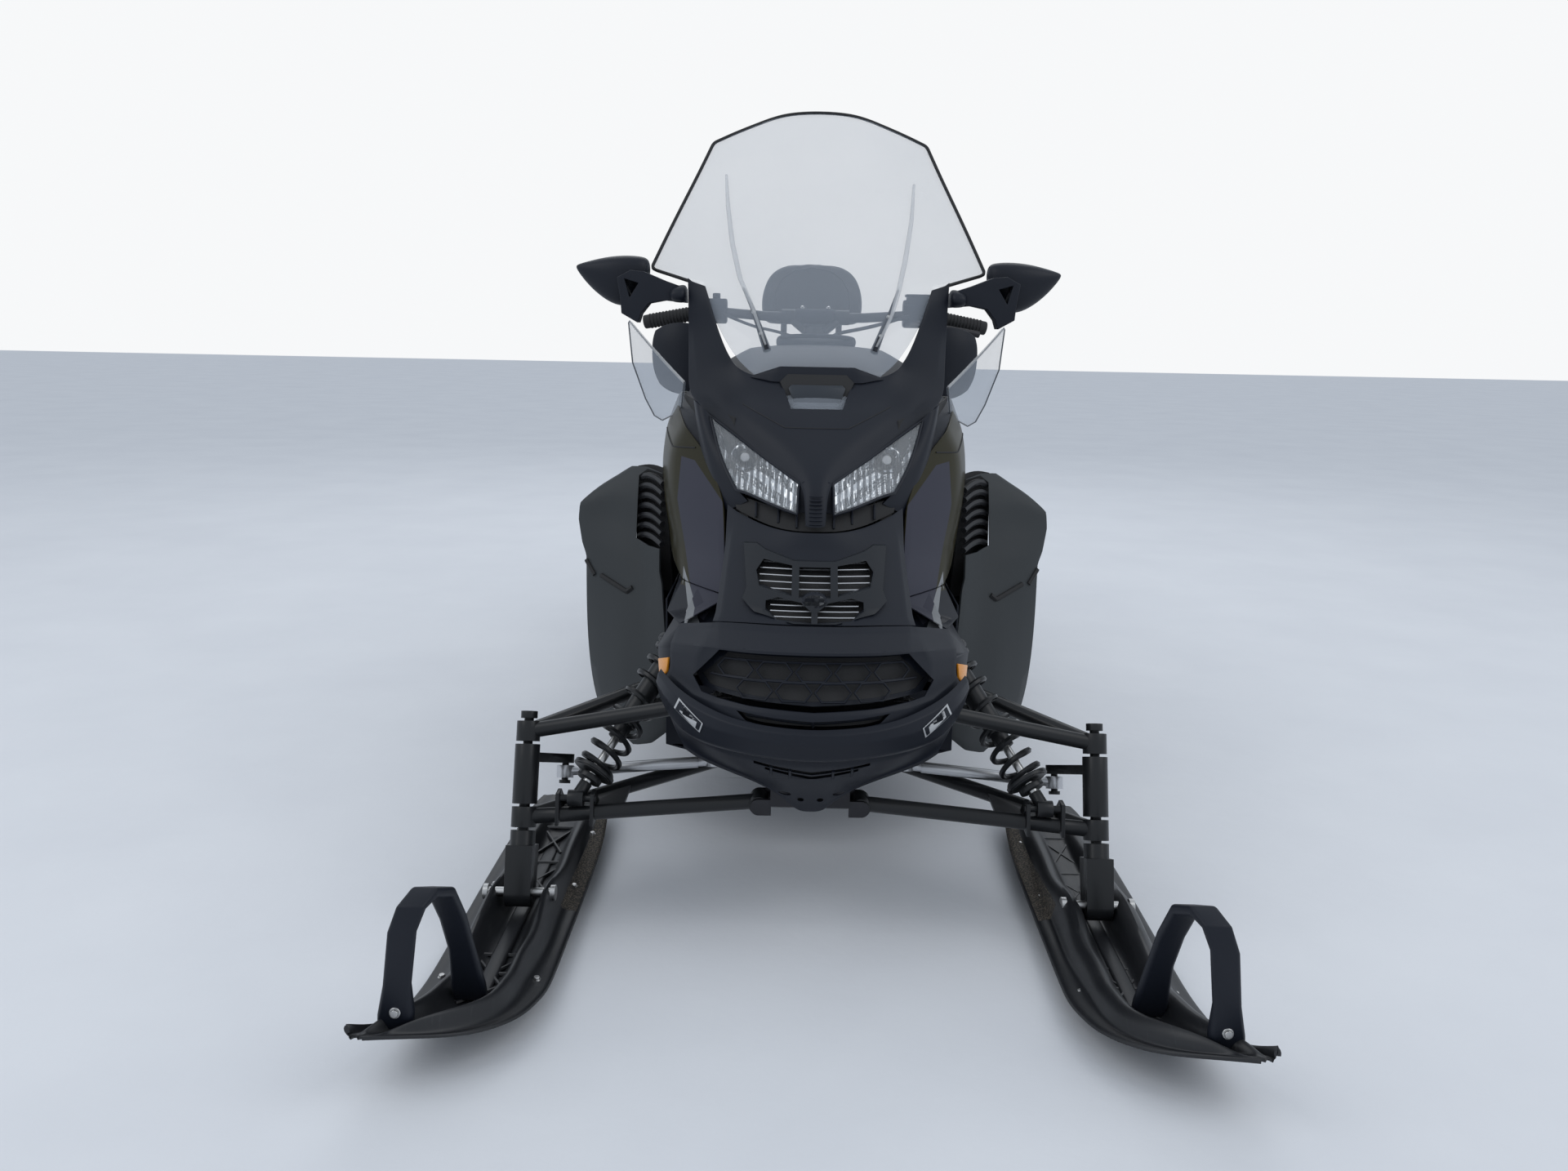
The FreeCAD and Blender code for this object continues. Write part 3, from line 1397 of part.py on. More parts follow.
# Bumper band: a moulded bar across the nose, carried by two stays on the front frame
BAND = [
    [
        (0, -104, 405), (46, -101, 407), (93, -92, 410), (140, -72, 416),
        (186, -38, 428), (224, 4, 440), (252, 58, 452),
    ],
    [
        (0, -116, 400), (46, -113, 401), (94, -104, 404), (144, -83, 410),
        (192, -48, 421), (230, -6, 434), (257, 56, 444),
    ],
    [
        (0, -118, 384), (46, -115, 385), (94, -106, 388), (146, -85, 394),
        (196, -50, 404), (236, -8, 416), (260, 58, 430),
    ],
    [
        (0, -108, 356), (46, -105, 357), (92, -96, 360), (140, -76, 364),
        (190, -38, 366), (230, 6, 378), (254, 62, 402),
    ],
    [
        (0, -84, 346), (46, -82, 347), (90, -74, 350), (136, -54, 352),
        (184, -16, 352), (222, 24, 362), (246, 72, 388),
    ],
]
band = panel(across(BAND), V(0, 6, 0))
stays = [rod(V(side * 60, -108, 386), V(side * 60, k.frame_front + 0.3, 386), 9) for side in (-1, 1)]
bumper = band.multiFuse(stays).cut(block(-200, 200, k.frame_front, 400, 300, 500))
bumper = seated(bumper, fascia, belly_nose, *arm_gaps)

# Hood centre with its vents, which a raised frame surrounds
HOOD = [
    [(0, 159, 667), (46, 166, 667), (92, 200, 673), (136, 246, 688), (156, 270, 698)],
    [(0, 146, 638), (55, 148, 638), (104, 164, 640), (146, 200, 642), (156, 216, 636)],
    [(0, 84, 590), (60, 86, 590), (108, 98, 590), (150, 128, 590), (160, 146, 584)],
    [(0, 34, 552), (60, 36, 552), (110, 46, 552), (152, 66, 550), (163, 80, 546)],
    [(0, 18, 541), (60, 20, 541), (112, 30, 541), (156, 46, 538), (166, 54, 536)],
]
hood_inward = V(0, k.skin, -3)
VENTS = [
    [(-88, 609), (-77, 626), (-34, 620), (-34, 583), (-78, 592)],
    [(-22, 619), (22, 619), (22, 583), (-22, 583)],
    [(34, 620), (77, 626), (88, 609), (78, 592), (34, 583)],
    [(-72, 575), (-40, 578), (-16, 570), (-16, 548), (-45, 546), (-69, 556)],
    [(16, 570), (40, 578), (72, 575), (69, 556), (45, 546), (16, 548)],
]
vent_frame = [(-110, 648), (-85, 640), (85, 640), (110, 648), (118, 576), (84, 540), (-84, 540), (-118, 576)]
hood = panel(across(HOOD), hood_inward)
recess = panel(
    across(
        [
            [(0, 190, 695), (24, 198, 695.5), (92, 236, 704.5), (144, 290, 714)],
            [(0, 178, 664), (46, 186, 664), (90, 220, 670), (134, 262, 684)],
            [(0, 160, 661), (46, 167, 661), (92, 201, 667), (136, 247, 682)],
        ]
    ),
    V(0, 2, -3),
)
raised = panel(across(HOOD), V(0, -7, 4)).common(front_prism(vent_frame, -100, 300))
hood = hood.multiFuse([raised, recess])
for vent in VENTS:
    hood = hood.cut(front_prism(vent, -60, 300))
hood = seated(hood, fascia)
feature("hood", hood)
vent_slats = panel(across(HOOD[1:]), V(0, 3, -2))
vent_slats.translate(hood_inward * 1.08)
vent_slats = vent_slats.common(block(-100, 100, -60, 400, 544, 632))
slat_pitch = 10.5
slat_gap = 6.5
for i in range(8):
    low = 546 + i * slat_pitch
    for x0, x1 in [(-96, -4), (4, 96)]:
        gap = [(x0, low), (x1, low), (x1, low + slat_gap), (x0, low + slat_gap)]
        vent_slats = vent_slats.cut(front_prism(gap, -60, 400))
feature("grilles", grille, vent_slats)

# Nose shield: the panel between the headlamps and the windshield, with two pillars
shield = panel(
    across(
        [
            [(0, 166, 676), (8, 167, 676), (15, 172, 677)],
            [(0, 176, 712), (8, 177, 712), (15, 182, 713)],
            [(0, 200, 748), (10, 201, 748), (18, 203, 748)],
            [(0, 300, 834), (100, 322, 842), (178, 382, 832)],
            [(0, 360, 872), (125, 372, 868), (238, 492, 890)],
            [(0, 420, 914), (103, 424, 913), (248, 530, 935)],
        ]
    ),
    V(0, k.skin, -3),
)
lip = panel(
    across(
        [
            [(0, 420, 914), (60, 422, 914), (103, 424, 913)],
            [(0, 423, 938), (60, 424, 938), (100, 424, 916)],
        ]
    ),
    V(0, k.skin, -3),
)
window = [(-66, 905), (-40, 912), (40, 912), (66, 905), (44, 868), (-44, 868)]
pillar = panel(
    points(
        [
            [(104, 424, 913), (248, 530, 935)],
            [(150, 450, 940), (251, 545, 985)],
            [(197, 500, 1019), (252, 548, 1040)],
            [(222, 545, 1086), (254, 552, 1091)],
        ]
    ),
    V(0, k.skin, -3),
)
shield_shape = shield.multiFuse([lip, *both(pillar)]).cut(front_prism(window, 200, 500))
feature("nose_shield", shield_shape)

# Windshield: clear, tall, bowed outward at the handlebar, its foot behind the shield's window
behind = k.skin + 0.7
glass = panel(
    across(
        [
            [(0, behind + 358, 860), (36, behind + 360, 860), (70, behind + 368, 861)],
            [(0, behind + 427, 914), (60, behind + 429, 914), (100, behind + 431, 914)],
            [(0, behind + 434, 940), (75, behind + 438, 940), (150, behind + 450, 940)],
            [(0, behind + 472, 1019), (100, behind + 478, 1019), (197, behind + 500, 1019)],
            [(0, behind + 520, 1086), (110, behind + 528, 1086), (222, behind + 545, 1086)],
            [(0, 556, 1120), (180, 588, 1120), (336, 660, 1120)],
            [(0, 690, 1270), (150, 705, 1270), (284, 745, 1262)],
            [(0, 800, 1392), (120, 806, 1392), (220, 826, 1386)],
            [(0, 856, 1456), (60, 860, 1452), (110, 866, 1440)],
        ]
    ),
    V(0, k.glass, 0),
)
feature("windshield", glass)

# Headlamps: clear lens, and a housing behind with two reflector bowls
LENS = [
    [(20, 204.4, 745.3), (100, 294.7, 787.3), (176, 379, 827)],
    [(22, 196, 718), (100, 262, 746), (164, 320, 770)],
    [(24, 184, 693.8), (92, 222, 702.8), (147, 284, 712.8)],
]
lens = panel(points(LENS), V(0, k.lens, 0))
feature("headlamp_lenses", *[seated(side, hood) for side in both(lens)])
back_rows = [[(x, y + k.lens + k.fit, z) for x, y, z in row] for row in LENS]
housing = panel(points(back_rows), V(0, 52, 0))
for x, y, z, radius in [(62, 235, 726, 19), (122, 292, 760, 24)]:
    bowl = Part.makeCone(radius, radius * 0.45, 34, V(x, y - 6, z), V(0, 1, 0))
    housing = housing.cut(bowl)
feature("headlamp_housings", *[seated(side, hood) for side in both(housing)])

# Side panels: from the headlamps back to the seat
side_panel = panel(
    points(
        [
            [(196, 352, 766), (253, 450, 820), (286, 700, 872), (262, 980, 850)],
            [(164, 285, 702), (278, 430, 735), (316, 700, 745), (292, 1000, 730)],
            [(163, 252, 614), (264, 400, 608), (312, 700, 640), (296, 1020, 640)],
            [(151, 185, 548), (240, 300, 552), (300, 700, 560), (290, 1020, 560)],
        ]
    ),
    V(-k.skin, 2, 0),
)
feature("side_panels", *both(side_panel))

# Lower cowls beside the bumper, with a lamp reflector each
strip = panel(
    points(
        [
            [(151, 185, 547.6), (240, 300, 551.6), (300, 700, 559.6)],
            [(229, 134, 511), (262, 250, 506), (side_x - 2, 700, wall_z + k.fit)],
        ]
    ),
    V(-k.skin, 2, 0),
)
CHEEK = points(
    [
        [(218, 141, 516), (240, 200, 513)],
        [(230, 62, 484), (264, 118, 476)],
        [(238, 70, 440), (256, 104, 404)],
    ]
)
cheek = panel(CHEEK, V(-k.skin, 2, 0))
cowls = [seated(cowl, fascia) for cowl in both(fuse(strip, cheek))]
feature("lower_cowls", *cowls)
feature("front_bumper", seated(bumper, *cowls))
out = V(0.86, -0.5, 0)


def on_cheek(u, v):
    """A point of the cheek's lower facet: u across it, v down it."""
    top = CHEEK[1][0] + (CHEEK[1][1] - CHEEK[1][0]) * u
    low = CHEEK[2][0] + (CHEEK[2][1] - CHEEK[2][0]) * u
    return top + (low - top) * v


# Leg deflectors in front of the rider's feet
guard_x = side_x + k.fit + 3
deflector = panel(
    points(
        [
            [(guard_x, 430, 214), (314, 432, 190), (352, 448, 180), (432, 538, 218), (437, 700, 238)],
            [(guard_x, 432, 262), (332, 452, 256), (378, 486, 256), (452, 560, 266), (454, 730, 272)],
            [(guard_x, 434, 345), (334, 474, 345), (382, 504, 346), (464, 574, 350), (465, 740, 350)],
            [(290, 450, 430), (336, 494, 430), (386, 524, 432), (468, 584, 440), (470, 740, 440)],
            [(298, 480, 506), (342, 526, 516), (390, 552, 530), (468, 592, 540), (472, 740, 534)],
            [(304, 490, 528), (346, 536, 540), (394, 560, 556), (478, 600, 566), (480, 740, 556)],
            [(305, 508, 606), (350, 560, 614), (406, 588, 622), (487, 612, 612), (482, 740, 596)],
            [(306, 520, 650), (350, 572, 660), (410, 598, 666), (484, 616, 646), (480, 740, 626)],
            [(305, 536, 690), (345, 584, 702), (398, 606, 698), (446, 618, 680), (446, 740, 658)],
            [(304, 552, 718), (340, 592, 726), (374, 618, 724), (402, 628, 706), (406, 740, 684)],
        ]
    ),
    V(-3, 3, 0),
)
louvre_pitch = 19.0
for i in range(7):
    low = 578 + i * louvre_pitch
    slot = [(311, low), (343, low + 8), (343, low + 17), (311, low + 9)]
    deflector = deflector.cut(front_prism(slot, 400, 640))
feature("leg_deflectors", *both(deflector))

# Dash behind the windshield, and the gauge on it
dash = panel(
    across(
        [
            [(0, 450, 912), (100, 458, 908), (190, 520, 890)],
            [(0, 640, 974), (130, 650, 966), (236, 680, 898)],
            [(0, 800, 962), (130, 805, 955), (228, 820, 896)],
            [(0, 925, 925), (110, 925, 915), (190, 925, 862)],
            [(0, 940 - k.fit, 840), (110, 940 - k.fit, 836), (186, 940 - k.fit, 822)],
        ]
    ),
    V(0, -3, -3),
)
dash = dash.cut(rod(bar_centre - post_dir * 300, bar_centre, k.post_radius + 8))
gauge = block(-80, 80, 690, 790, 950, 979)
feature("dash", fuse(dash, gauge))

# Mirrors on their arms, and the clear deflectors beside the windshield
# The pod's rings, from its tip inward: x, then (y, z) corners
POD = [
    (488, [(634, 1121), (640, 1124), (648, 1124), (648, 1120), (642, 1118), (636, 1118)]),
    (462, [(612, 1116), (622, 1132), (660, 1132), (668, 1112), (656, 1096), (624, 1096)]),
    (424, [(598, 1110), (610, 1142), (668, 1142), (678, 1106), (664, 1066), (614, 1066)]),
    (386, [(594, 1104), (604, 1146), (668, 1146), (678, 1100), (664, 1050), (608, 1050)]),
    (354, [(600, 1112), (608, 1144), (662, 1144), (670, 1108), (658, 1078), (612, 1078)]),
    (336, [(612, 1118), (618, 1138), (650, 1138), (656, 1116), (648, 1100), (620, 1100)]),
]
pod = skin([[V(x, y, z) for y, z in corners] for x, corners in POD])
mirror_arm = front_prism(
    [
        (258, 1080), (236, 1062), (236, 1034), (258, 1050), (300, 1056), (330, 1050), (346, 1030),
        (352, 1012), (384, 1030), (386, 1060), (392, 1098), (366, 1112), (340, 1110), (300, 1094),
    ],
    552,
    598,
)
mirror_arm = mirror_arm.cut(front_prism([(352, 1084), (376, 1092), (368, 1062)], 500, 700))
feature("mirrors", *both(seated(fuse(pod, mirror_arm), shield_shape)))
knee = panel(
    points(
        [
            [(389, 722, 1000), (394, 742, 1008)],
            [(255, 562, 900), (318, 640, 850)],
            [(267.5, 560, 843.4), (278, 640, 860)],
        ]
    ),
    V(0, k.glass, 0),
)
feature("knee_deflectors", *both(seated(knee, side_panel)))
reflector = panel(
    [
        [on_cheek(0.2, 0.3) + out * k.fit, on_cheek(0.9, 0.3) + out * k.fit],
        [on_cheek(0.2, 0.8) + out * k.fit, on_cheek(0.9, 0.8) + out * k.fit],
    ],
    out * 4,
)
feature("side_reflectors", *both(reflector))

doc.recompute()
for obj in doc.Objects:
    if "Invalid" in obj.State or "Error" in obj.State:
        raise RuntimeError(f"{obj.Label} did not build: {obj.State}")
faulty = [obj.Label for obj in nodes if obj.Shape.isNull() or not obj.Shape.isValid() or not obj.Shape.Solids]
if faulty:
    raise RuntimeError(f"no valid solid in {', '.join(faulty)}")

os.makedirs("parts", exist_ok=True)
for obj in nodes:
    obj.Shape.exportStep(f"parts/{obj.Label}.step")
print(len(nodes), "sub-parts written")
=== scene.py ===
import json
import math

import bpy
import bmesh
from mathutils import Matrix, Vector


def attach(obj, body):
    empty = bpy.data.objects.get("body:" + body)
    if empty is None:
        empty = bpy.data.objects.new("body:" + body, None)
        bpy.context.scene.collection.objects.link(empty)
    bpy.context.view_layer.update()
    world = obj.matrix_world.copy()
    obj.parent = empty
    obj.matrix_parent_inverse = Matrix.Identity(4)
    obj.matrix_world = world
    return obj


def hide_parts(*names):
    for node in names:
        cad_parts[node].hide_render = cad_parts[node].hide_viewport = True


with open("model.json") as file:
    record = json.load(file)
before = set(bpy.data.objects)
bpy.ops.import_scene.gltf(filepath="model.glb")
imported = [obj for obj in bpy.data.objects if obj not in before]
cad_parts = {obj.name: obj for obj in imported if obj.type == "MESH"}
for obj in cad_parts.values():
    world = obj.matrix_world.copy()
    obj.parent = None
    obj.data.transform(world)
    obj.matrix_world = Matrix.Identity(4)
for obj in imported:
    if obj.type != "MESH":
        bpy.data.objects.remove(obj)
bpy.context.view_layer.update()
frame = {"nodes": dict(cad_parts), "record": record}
record = frame["record"]
boltY = -1.145  # the ski bolts' place along Y; the tables below count from it


def deselectAll():
    for other in bpy.context.selected_objects:
        other.select_set(False)


# Shader maths as Python expressions

class Signal:
    def __init__(self, finish, socket):
        self.finish = finish
        self.socket = socket

    def __add__(self, other):
        return self.finish.math("ADD", self, other)

    def __sub__(self, other):
        return self.finish.math("SUBTRACT", self, other)

    def __mul__(self, other):
        return self.finish.math("MULTIPLY", self, other)

    def __gt__(self, other):
        return self.finish.math("GREATER_THAN", self, other)

    def __lt__(self, other):
        return self.finish.math("LESS_THAN", self, other)

    def __abs__(self):
        return self.finish.math("ABSOLUTE", self, 0.0)


class Finish:
    def __init__(self, name, color, roughness, **fixed):
        self.material = bpy.data.materials.new(name)
        self.material.use_nodes = True
        self.tree = self.material.node_tree
        self.shader = self.tree.nodes["Principled BSDF"]
        self.coords = self.add("ShaderNodeTexCoord").outputs["Object"]
        self.feed("Base Color", (*color, 1.0))
        self.feed("Roughness", roughness)
        for socket, value in fixed.items():
            self.feed(socket.replace("_", " "), value)
        self.material.diffuse_color = (*color, 1.0)

    def plug(self, socket, value):
        if isinstance(value, Signal):
            self.tree.links.new(value.socket, socket)
        elif isinstance(value, bpy.types.NodeSocket):
            self.tree.links.new(value, socket)
        else:
            socket.default_value = value

    def add(self, kind, settings=None, inputs=None):
        node = self.tree.nodes.new(kind)
        for setting, value in (settings or {}).items():
            setattr(node, setting, value)
        for socket, value in (inputs or {}).items():
            self.plug(node.inputs[socket], value)
        return node

    def math(self, operation, first, second):
        node = self.add("ShaderNodeMath", {"operation": operation}, {0: first, 1: second})
        return Signal(self, node.outputs[0])

    def feed(self, socket, value):
        self.plug(self.shader.inputs[socket], value)

    def noise(self, scale, detail=3.0, roughness=0.55, stretch=None):
        vector = self.coords
        if stretch:
            vector = self.add("ShaderNodeMapping", None, {"Vector": vector, "Scale": stretch}).outputs[0]
        node = self.add(
            "ShaderNodeTexNoise", None,
            {"Vector": vector, "Scale": scale, "Detail": detail, "Roughness": roughness},
        )
        return Signal(self, node.outputs["Fac"])

    def cells(self, scale):
        node = self.add("ShaderNodeTexVoronoi", None, {"Vector": self.coords, "Scale": scale})
        return Signal(self, node.outputs["Distance"])

    def axis(self, letter):
        node = self.add("ShaderNodeSeparateXYZ", None, {0: self.coords})
        return Signal(self, node.outputs[letter])

    def band(self, signal, low, high):
        node = self.add(
            "ShaderNodeMapRange", {"clamp": True, "interpolation_type": "SMOOTHSTEP"},
            {"Value": signal, "From Min": low, "From Max": high},
        )
        return Signal(self, node.outputs[0])

    def blend(self, mask, first, second):
        node = self.add("ShaderNodeMix", {"data_type": "RGBA"}, {"Factor": mask})
        for socket, value in ((node.inputs[6], first), (node.inputs[7], second)):
            self.plug(socket, value if isinstance(value, bpy.types.NodeSocket) else (*value, 1.0))
        return node.outputs[2]

    def bump(self, height, depth, strength=1.0):
        node = self.add("ShaderNodeBump", None, {"Height": height, "Distance": depth, "Strength": strength})
        self.feed("Normal", node.outputs[0])


# Camera at the photograph's place: level with the dash, looking down a little

cameraView = {
    "place": (-0.03, boltY - 1.896, 1.01),
    "pitch": math.radians(11.93),
    "yaw": math.radians(0.6),
    "roll": math.radians(1.1),
    "lens": 28.125,
}


def addCamera():
    data = bpy.data.cameras.new("view")
    data.lens = cameraView["lens"]
    data.sensor_width = 36.0
    data.clip_start = 0.05
    camera = bpy.data.objects.new("view", data)
    bpy.context.scene.collection.objects.link(camera)
    pitch, yaw, roll = cameraView["pitch"], cameraView["yaw"], cameraView["roll"]
    ahead = Vector((-math.sin(yaw) * math.cos(pitch), math.cos(yaw) * math.cos(pitch), -math.sin(pitch)))
    right = Vector((math.cos(yaw), math.sin(yaw), 0.0))
    up = right.cross(ahead)
    tiltedRight = right * math.cos(roll) + up * math.sin(roll)
    tiltedUp = up * math.cos(roll) - right * math.sin(roll)
    turn = Matrix((tiltedRight, tiltedUp, -ahead)).transposed().to_4x4()
    camera.matrix_world = Matrix.Translation(cameraView["place"]) @ turn
    bpy.context.scene.camera = camera


studio = {
    "target": (0.0, -0.9, 0.6),
    "lights": {
        "sky_left": ((-3.6, -2.6, 4.2), (3.5, 3.5), 48.0),
        "sky_right": ((3.6, -2.4, 4.2), (3.5, 3.5), 48.0),
        "sky_back": ((0.0, 4.2, 4.6), (4.5, 3.0), 48.0),
    },
    "floorSize": 60.0,
}


def addLight(name, place, size, power):
    data = bpy.data.lights.new(name, "AREA")
    data.shape = "RECTANGLE"
    data.size, data.size_y = size
    data.energy = power
    lamp = bpy.data.objects.new(name, data)
    bpy.context.scene.collection.objects.link(lamp)
    lamp.location = place
    lamp.rotation_euler = (Vector(studio["target"]) - Vector(place)).to_track_quat("-Z", "Y").to_euler()


def addStudio():
    deselectAll()
    bpy.ops.mesh.primitive_grid_add(x_subdivisions=4, y_subdivisions=4, size=studio["floorSize"])
    floor = bpy.context.object
    floor.name = "floor"
    ground = Finish("pale_floor", (0.74, 0.76, 0.79), 0.85)
    patches = ground.noise(2.2, 4.0)
    ground.feed("Base Color", ground.blend(patches, (0.70, 0.72, 0.76), (0.80, 0.82, 0.85)))
    ground.bump(ground.noise(14.0, 5.0), 0.004, 0.5)
    floor.data.materials.append(ground.material)
    for name, settings in studio["lights"].items():
        addLight(name, *settings)
    world = bpy.data.worlds.new("plain_sky")
    bpy.context.scene.world = world
    world.use_nodes = True
    nodes, links = world.node_tree.nodes, world.node_tree.links
    sky = nodes["Background"]
    seen = nodes.new("ShaderNodeBackground")
    path = nodes.new("ShaderNodeLightPath")
    anyRay = nodes.new("ShaderNodeMath")
    anyRay.operation = "MAXIMUM"
    mix = nodes.new("ShaderNodeMixShader")
    sky.inputs["Color"].default_value = (0.78, 0.84, 0.92, 1.0)
    sky.inputs["Strength"].default_value = 0.75
    seen.inputs["Color"].default_value = (0.93, 0.94, 0.95, 1.0)
    seen.inputs["Strength"].default_value = 1.0
    links.new(path.outputs["Is Camera Ray"], anyRay.inputs[0])
    links.new(path.outputs["Is Transmission Ray"], anyRay.inputs[1])
    links.new(anyRay.outputs[0], mix.inputs[0])
    links.new(sky.outputs[0], mix.inputs[1])
    links.new(seen.outputs[0], mix.inputs[2])
    links.new(mix.outputs[0], nodes["World Output"].inputs["Surface"])
    bpy.context.scene.view_settings.view_transform = "Standard"


addCamera()
addStudio()
print("camera and studio ready")


# Finishes, one for each material slot

def plastic(name, low, high, roughness, grain=700.0, depth=0.0002, **fixed):
    made = Finish(name, high, roughness, **fixed)
    cloud = made.noise(3.5, 4.0)
    fine = made.noise(grain, 2.0)
    made.feed("Base Color", made.blend(cloud, low, high))
    made.feed("Roughness", cloud * 0.14 + (roughness - 0.07))
    made.bump(fine, depth, 0.6)
    return made


def metal(name, low, high, roughness, grain=260.0, **fixed):
    made = Finish(name, high, roughness, Metallic=1.0, **fixed)
    cloud = made.noise(9.0, 5.0)
    brushed = made.noise(grain, 3.0, 0.6)
    made.feed("Base Color", made.blend(cloud, low, high))
    made.feed("Roughness", brushed * 0.16 + (roughness - 0.05))
    made.bump(brushed, 0.0002, 0.4)
    return made


finishes = {
    "black_plastic": plastic("satin_black_plastic", (0.007, 0.009, 0.015), (0.012, 0.015, 0.023), 0.46, Specular_IOR_Level=0.26),
    "grey_plastic": plastic("dark_grey_plastic", (0.026, 0.030, 0.033), (0.040, 0.045, 0.048), 0.5, Specular_IOR_Level=0.35),
    "olive_panel": plastic("dark_olive_gloss", (0.020, 0.018, 0.008), (0.032, 0.028, 0.011), 0.30, 90.0, 0.00005,
                           Specular_IOR_Level=0.18, Coat_Weight=0.04, Coat_Roughness=0.12),
    "rubber": plastic("black_rubber", (0.010, 0.010, 0.011), (0.020, 0.020, 0.021), 0.72, 420.0, 0.0004),
    "black_steel": plastic("black_paint", (0.008, 0.009, 0.010), (0.014, 0.015, 0.017), 0.36, 160.0, 0.0001,
                           Specular_IOR_Level=0.3, Coat_Weight=0.12, Coat_Roughness=0.2),
    "dark_alloy": metal("black_anodised", (0.03, 0.03, 0.033), (0.06, 0.06, 0.065), 0.42),
    "alloy": metal("bare_aluminium", (0.45, 0.46, 0.48), (0.62, 0.63, 0.65), 0.34),
    "bare_steel": metal("plated_steel", (0.42, 0.42, 0.42), (0.60, 0.60, 0.59), 0.28),
    "engine_metal": metal("cast_metal", (0.10, 0.10, 0.105), (0.20, 0.20, 0.205), 0.55, 120.0),
    "reflector": metal("bright_reflector", (0.48, 0.50, 0.53), (0.76, 0.78, 0.80), 0.08, 60.0),
    # The amber reflectors carry a faint emission: a painted glow, since they are no lamp.
    "amber": plastic("amber_reflector_painted_glow", (0.62, 0.22, 0.015), (0.80, 0.34, 0.03), 0.22, 300.0, 0.0003,
                     Coat_Weight=0.5, Emission_Color=(0.8, 0.3, 0.02, 1.0), Emission_Strength=0.08),
    "red_lens": plastic("red_lens", (0.30, 0.008, 0.008), (0.42, 0.015, 0.012), 0.16, 200.0, 0.0004,
                        Coat_Weight=0.7),
}


def clearSheet(name, color, alpha, roughness):
    made = Finish(name, color, roughness, IOR=1.46, Specular_IOR_Level=0.7)
    haze = made.noise(2.0, 5.0)
    dust = made.noise(160.0, 2.0)
    made.feed("Base Color", made.blend(haze, color, tuple(c * 0.86 for c in color)))
    made.feed("Roughness", haze * 0.06 + (roughness - 0.02))
    made.feed("Alpha", haze * 0.10 + made.band(dust, 0.66, 0.8) * 0.08 + (alpha - 0.05))
    return made


finishes["clear_glass"] = clearSheet("clear_windshield", (0.46, 0.51, 0.58), 0.27, 0.06)
finishes["lens"] = clearSheet("clear_lens", (0.70, 0.74, 0.78), 0.13, 0.05)

vinyl = Finish("seat_vinyl", (0.018, 0.018, 0.020), 0.52)
pores = vinyl.cells(420.0)
tone = vinyl.noise(5.0, 4.0)
vinyl.feed("Base Color", vinyl.blend(tone, (0.012, 0.012, 0.014), (0.024, 0.024, 0.027)))
vinyl.feed("Roughness", tone * 0.16 + 0.44)
vinyl.bump(vinyl.band(pores, 0.05, 0.6), 0.00015, 0.6)
finishes["vinyl"] = vinyl

finishes["white_plate"] = plastic("plain_plate", (0.42, 0.43, 0.44), (0.55, 0.56, 0.57), 0.35, 90.0, 0.00004)
finishes["dark_screen"] = plastic("dark_screen", (0.06, 0.07, 0.08), (0.10, 0.11, 0.125), 0.12, 90.0, 0.00002,
                                  Coat_Weight=0.8)
print("finishes ready")

slotOf = {row["node"]: row["material_slot"] for row in record["subparts"]}
bodyOf = {node: body for body, nodes in record["behaviour"]["bodies"].items() for node in nodes}


def dress(piece, slot, body, *replaced, finish=None):
    piece.data.materials.clear()
    piece.data.materials.append(finishes[finish or slot].material)
    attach(piece, body)
    if replaced:
        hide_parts(*replaced)
    return piece


for node, obj in frame["nodes"].items():
    obj.data.materials.clear()
    obj.data.materials.append(finishes[slotOf[node]].material)


# Modelling steps shared by the pieces

def at(x, y, z):  # millimetres from the ski bolts' line to the frame's metres
    return Vector((x / 1000, y / 1000 + boltY, z / 1000))


def useOnly(piece):
    deselectAll()
    piece.select_set(True)
    bpy.context.view_layer.objects.active = piece


def modify(piece, kind, **settings):
    useOnly(piece)
    added = piece.modifiers.new(kind.lower(), kind)
    for setting, value in settings.items():
        setattr(added, setting, value)
    bpy.ops.object.modifier_apply(modifier=added.name)
    return piece


def subdivide(piece, levels=2):
    return modify(piece, "SUBSURF", levels=levels, render_levels=levels, boundary_smooth="PRESERVE_CORNERS")


def bevelEdges(piece, width, segments=2, angle=30.0):
    return modify(piece, "BEVEL", width=width / 1000, segments=segments, limit_method="ANGLE",
                  angle_limit=math.radians(angle))


def thicken(piece, thickness, offset=-1.0):
    return modify(piece, "SOLIDIFY", thickness=thickness / 1000, offset=offset, use_even_offset=True,
                  thickness_clamp=1.0)


def smooth(piece, angle=35.0):
    useOnly(piece)
    bpy.ops.object.shade_smooth_by_angle(angle=math.radians(angle))
    return piece


def tidyMesh(piece):
    useOnly(piece)
    bpy.ops.object.mode_set(mode="EDIT")
    bpy.ops.mesh.select_all(action="SELECT")
    bpy.ops.mesh.remove_doubles(threshold=0.00005)
    bpy.ops.mesh.normals_make_consistent(inside=False)
    bpy.ops.object.mode_set(mode="OBJECT")
    return piece


def joined(name, pieces):
    deselectAll()
    for piece in pieces:
        piece.select_set(True)
    bpy.context.view_layer.objects.active = pieces[0]
    if len(pieces) > 1:
        bpy.ops.object.join()
    pieces[0].name = name
    return pieces[0]


def copyOf(piece, name):
    copy = bpy.data.objects.new(name, piece.data.copy())
    bpy.context.scene.collection.objects.link(copy)
    return copy


def mirroredCopy(piece, name):
    copy = copyOf(piece, name)
    copy.data.transform(Matrix.Diagonal((-1.0, 1.0, 1.0, 1.0)))
    copy.data.flip_normals()
    return copy


def withMirror(name, piece):
    return joined(name, [piece, mirroredCopy(piece, name + "_other")])


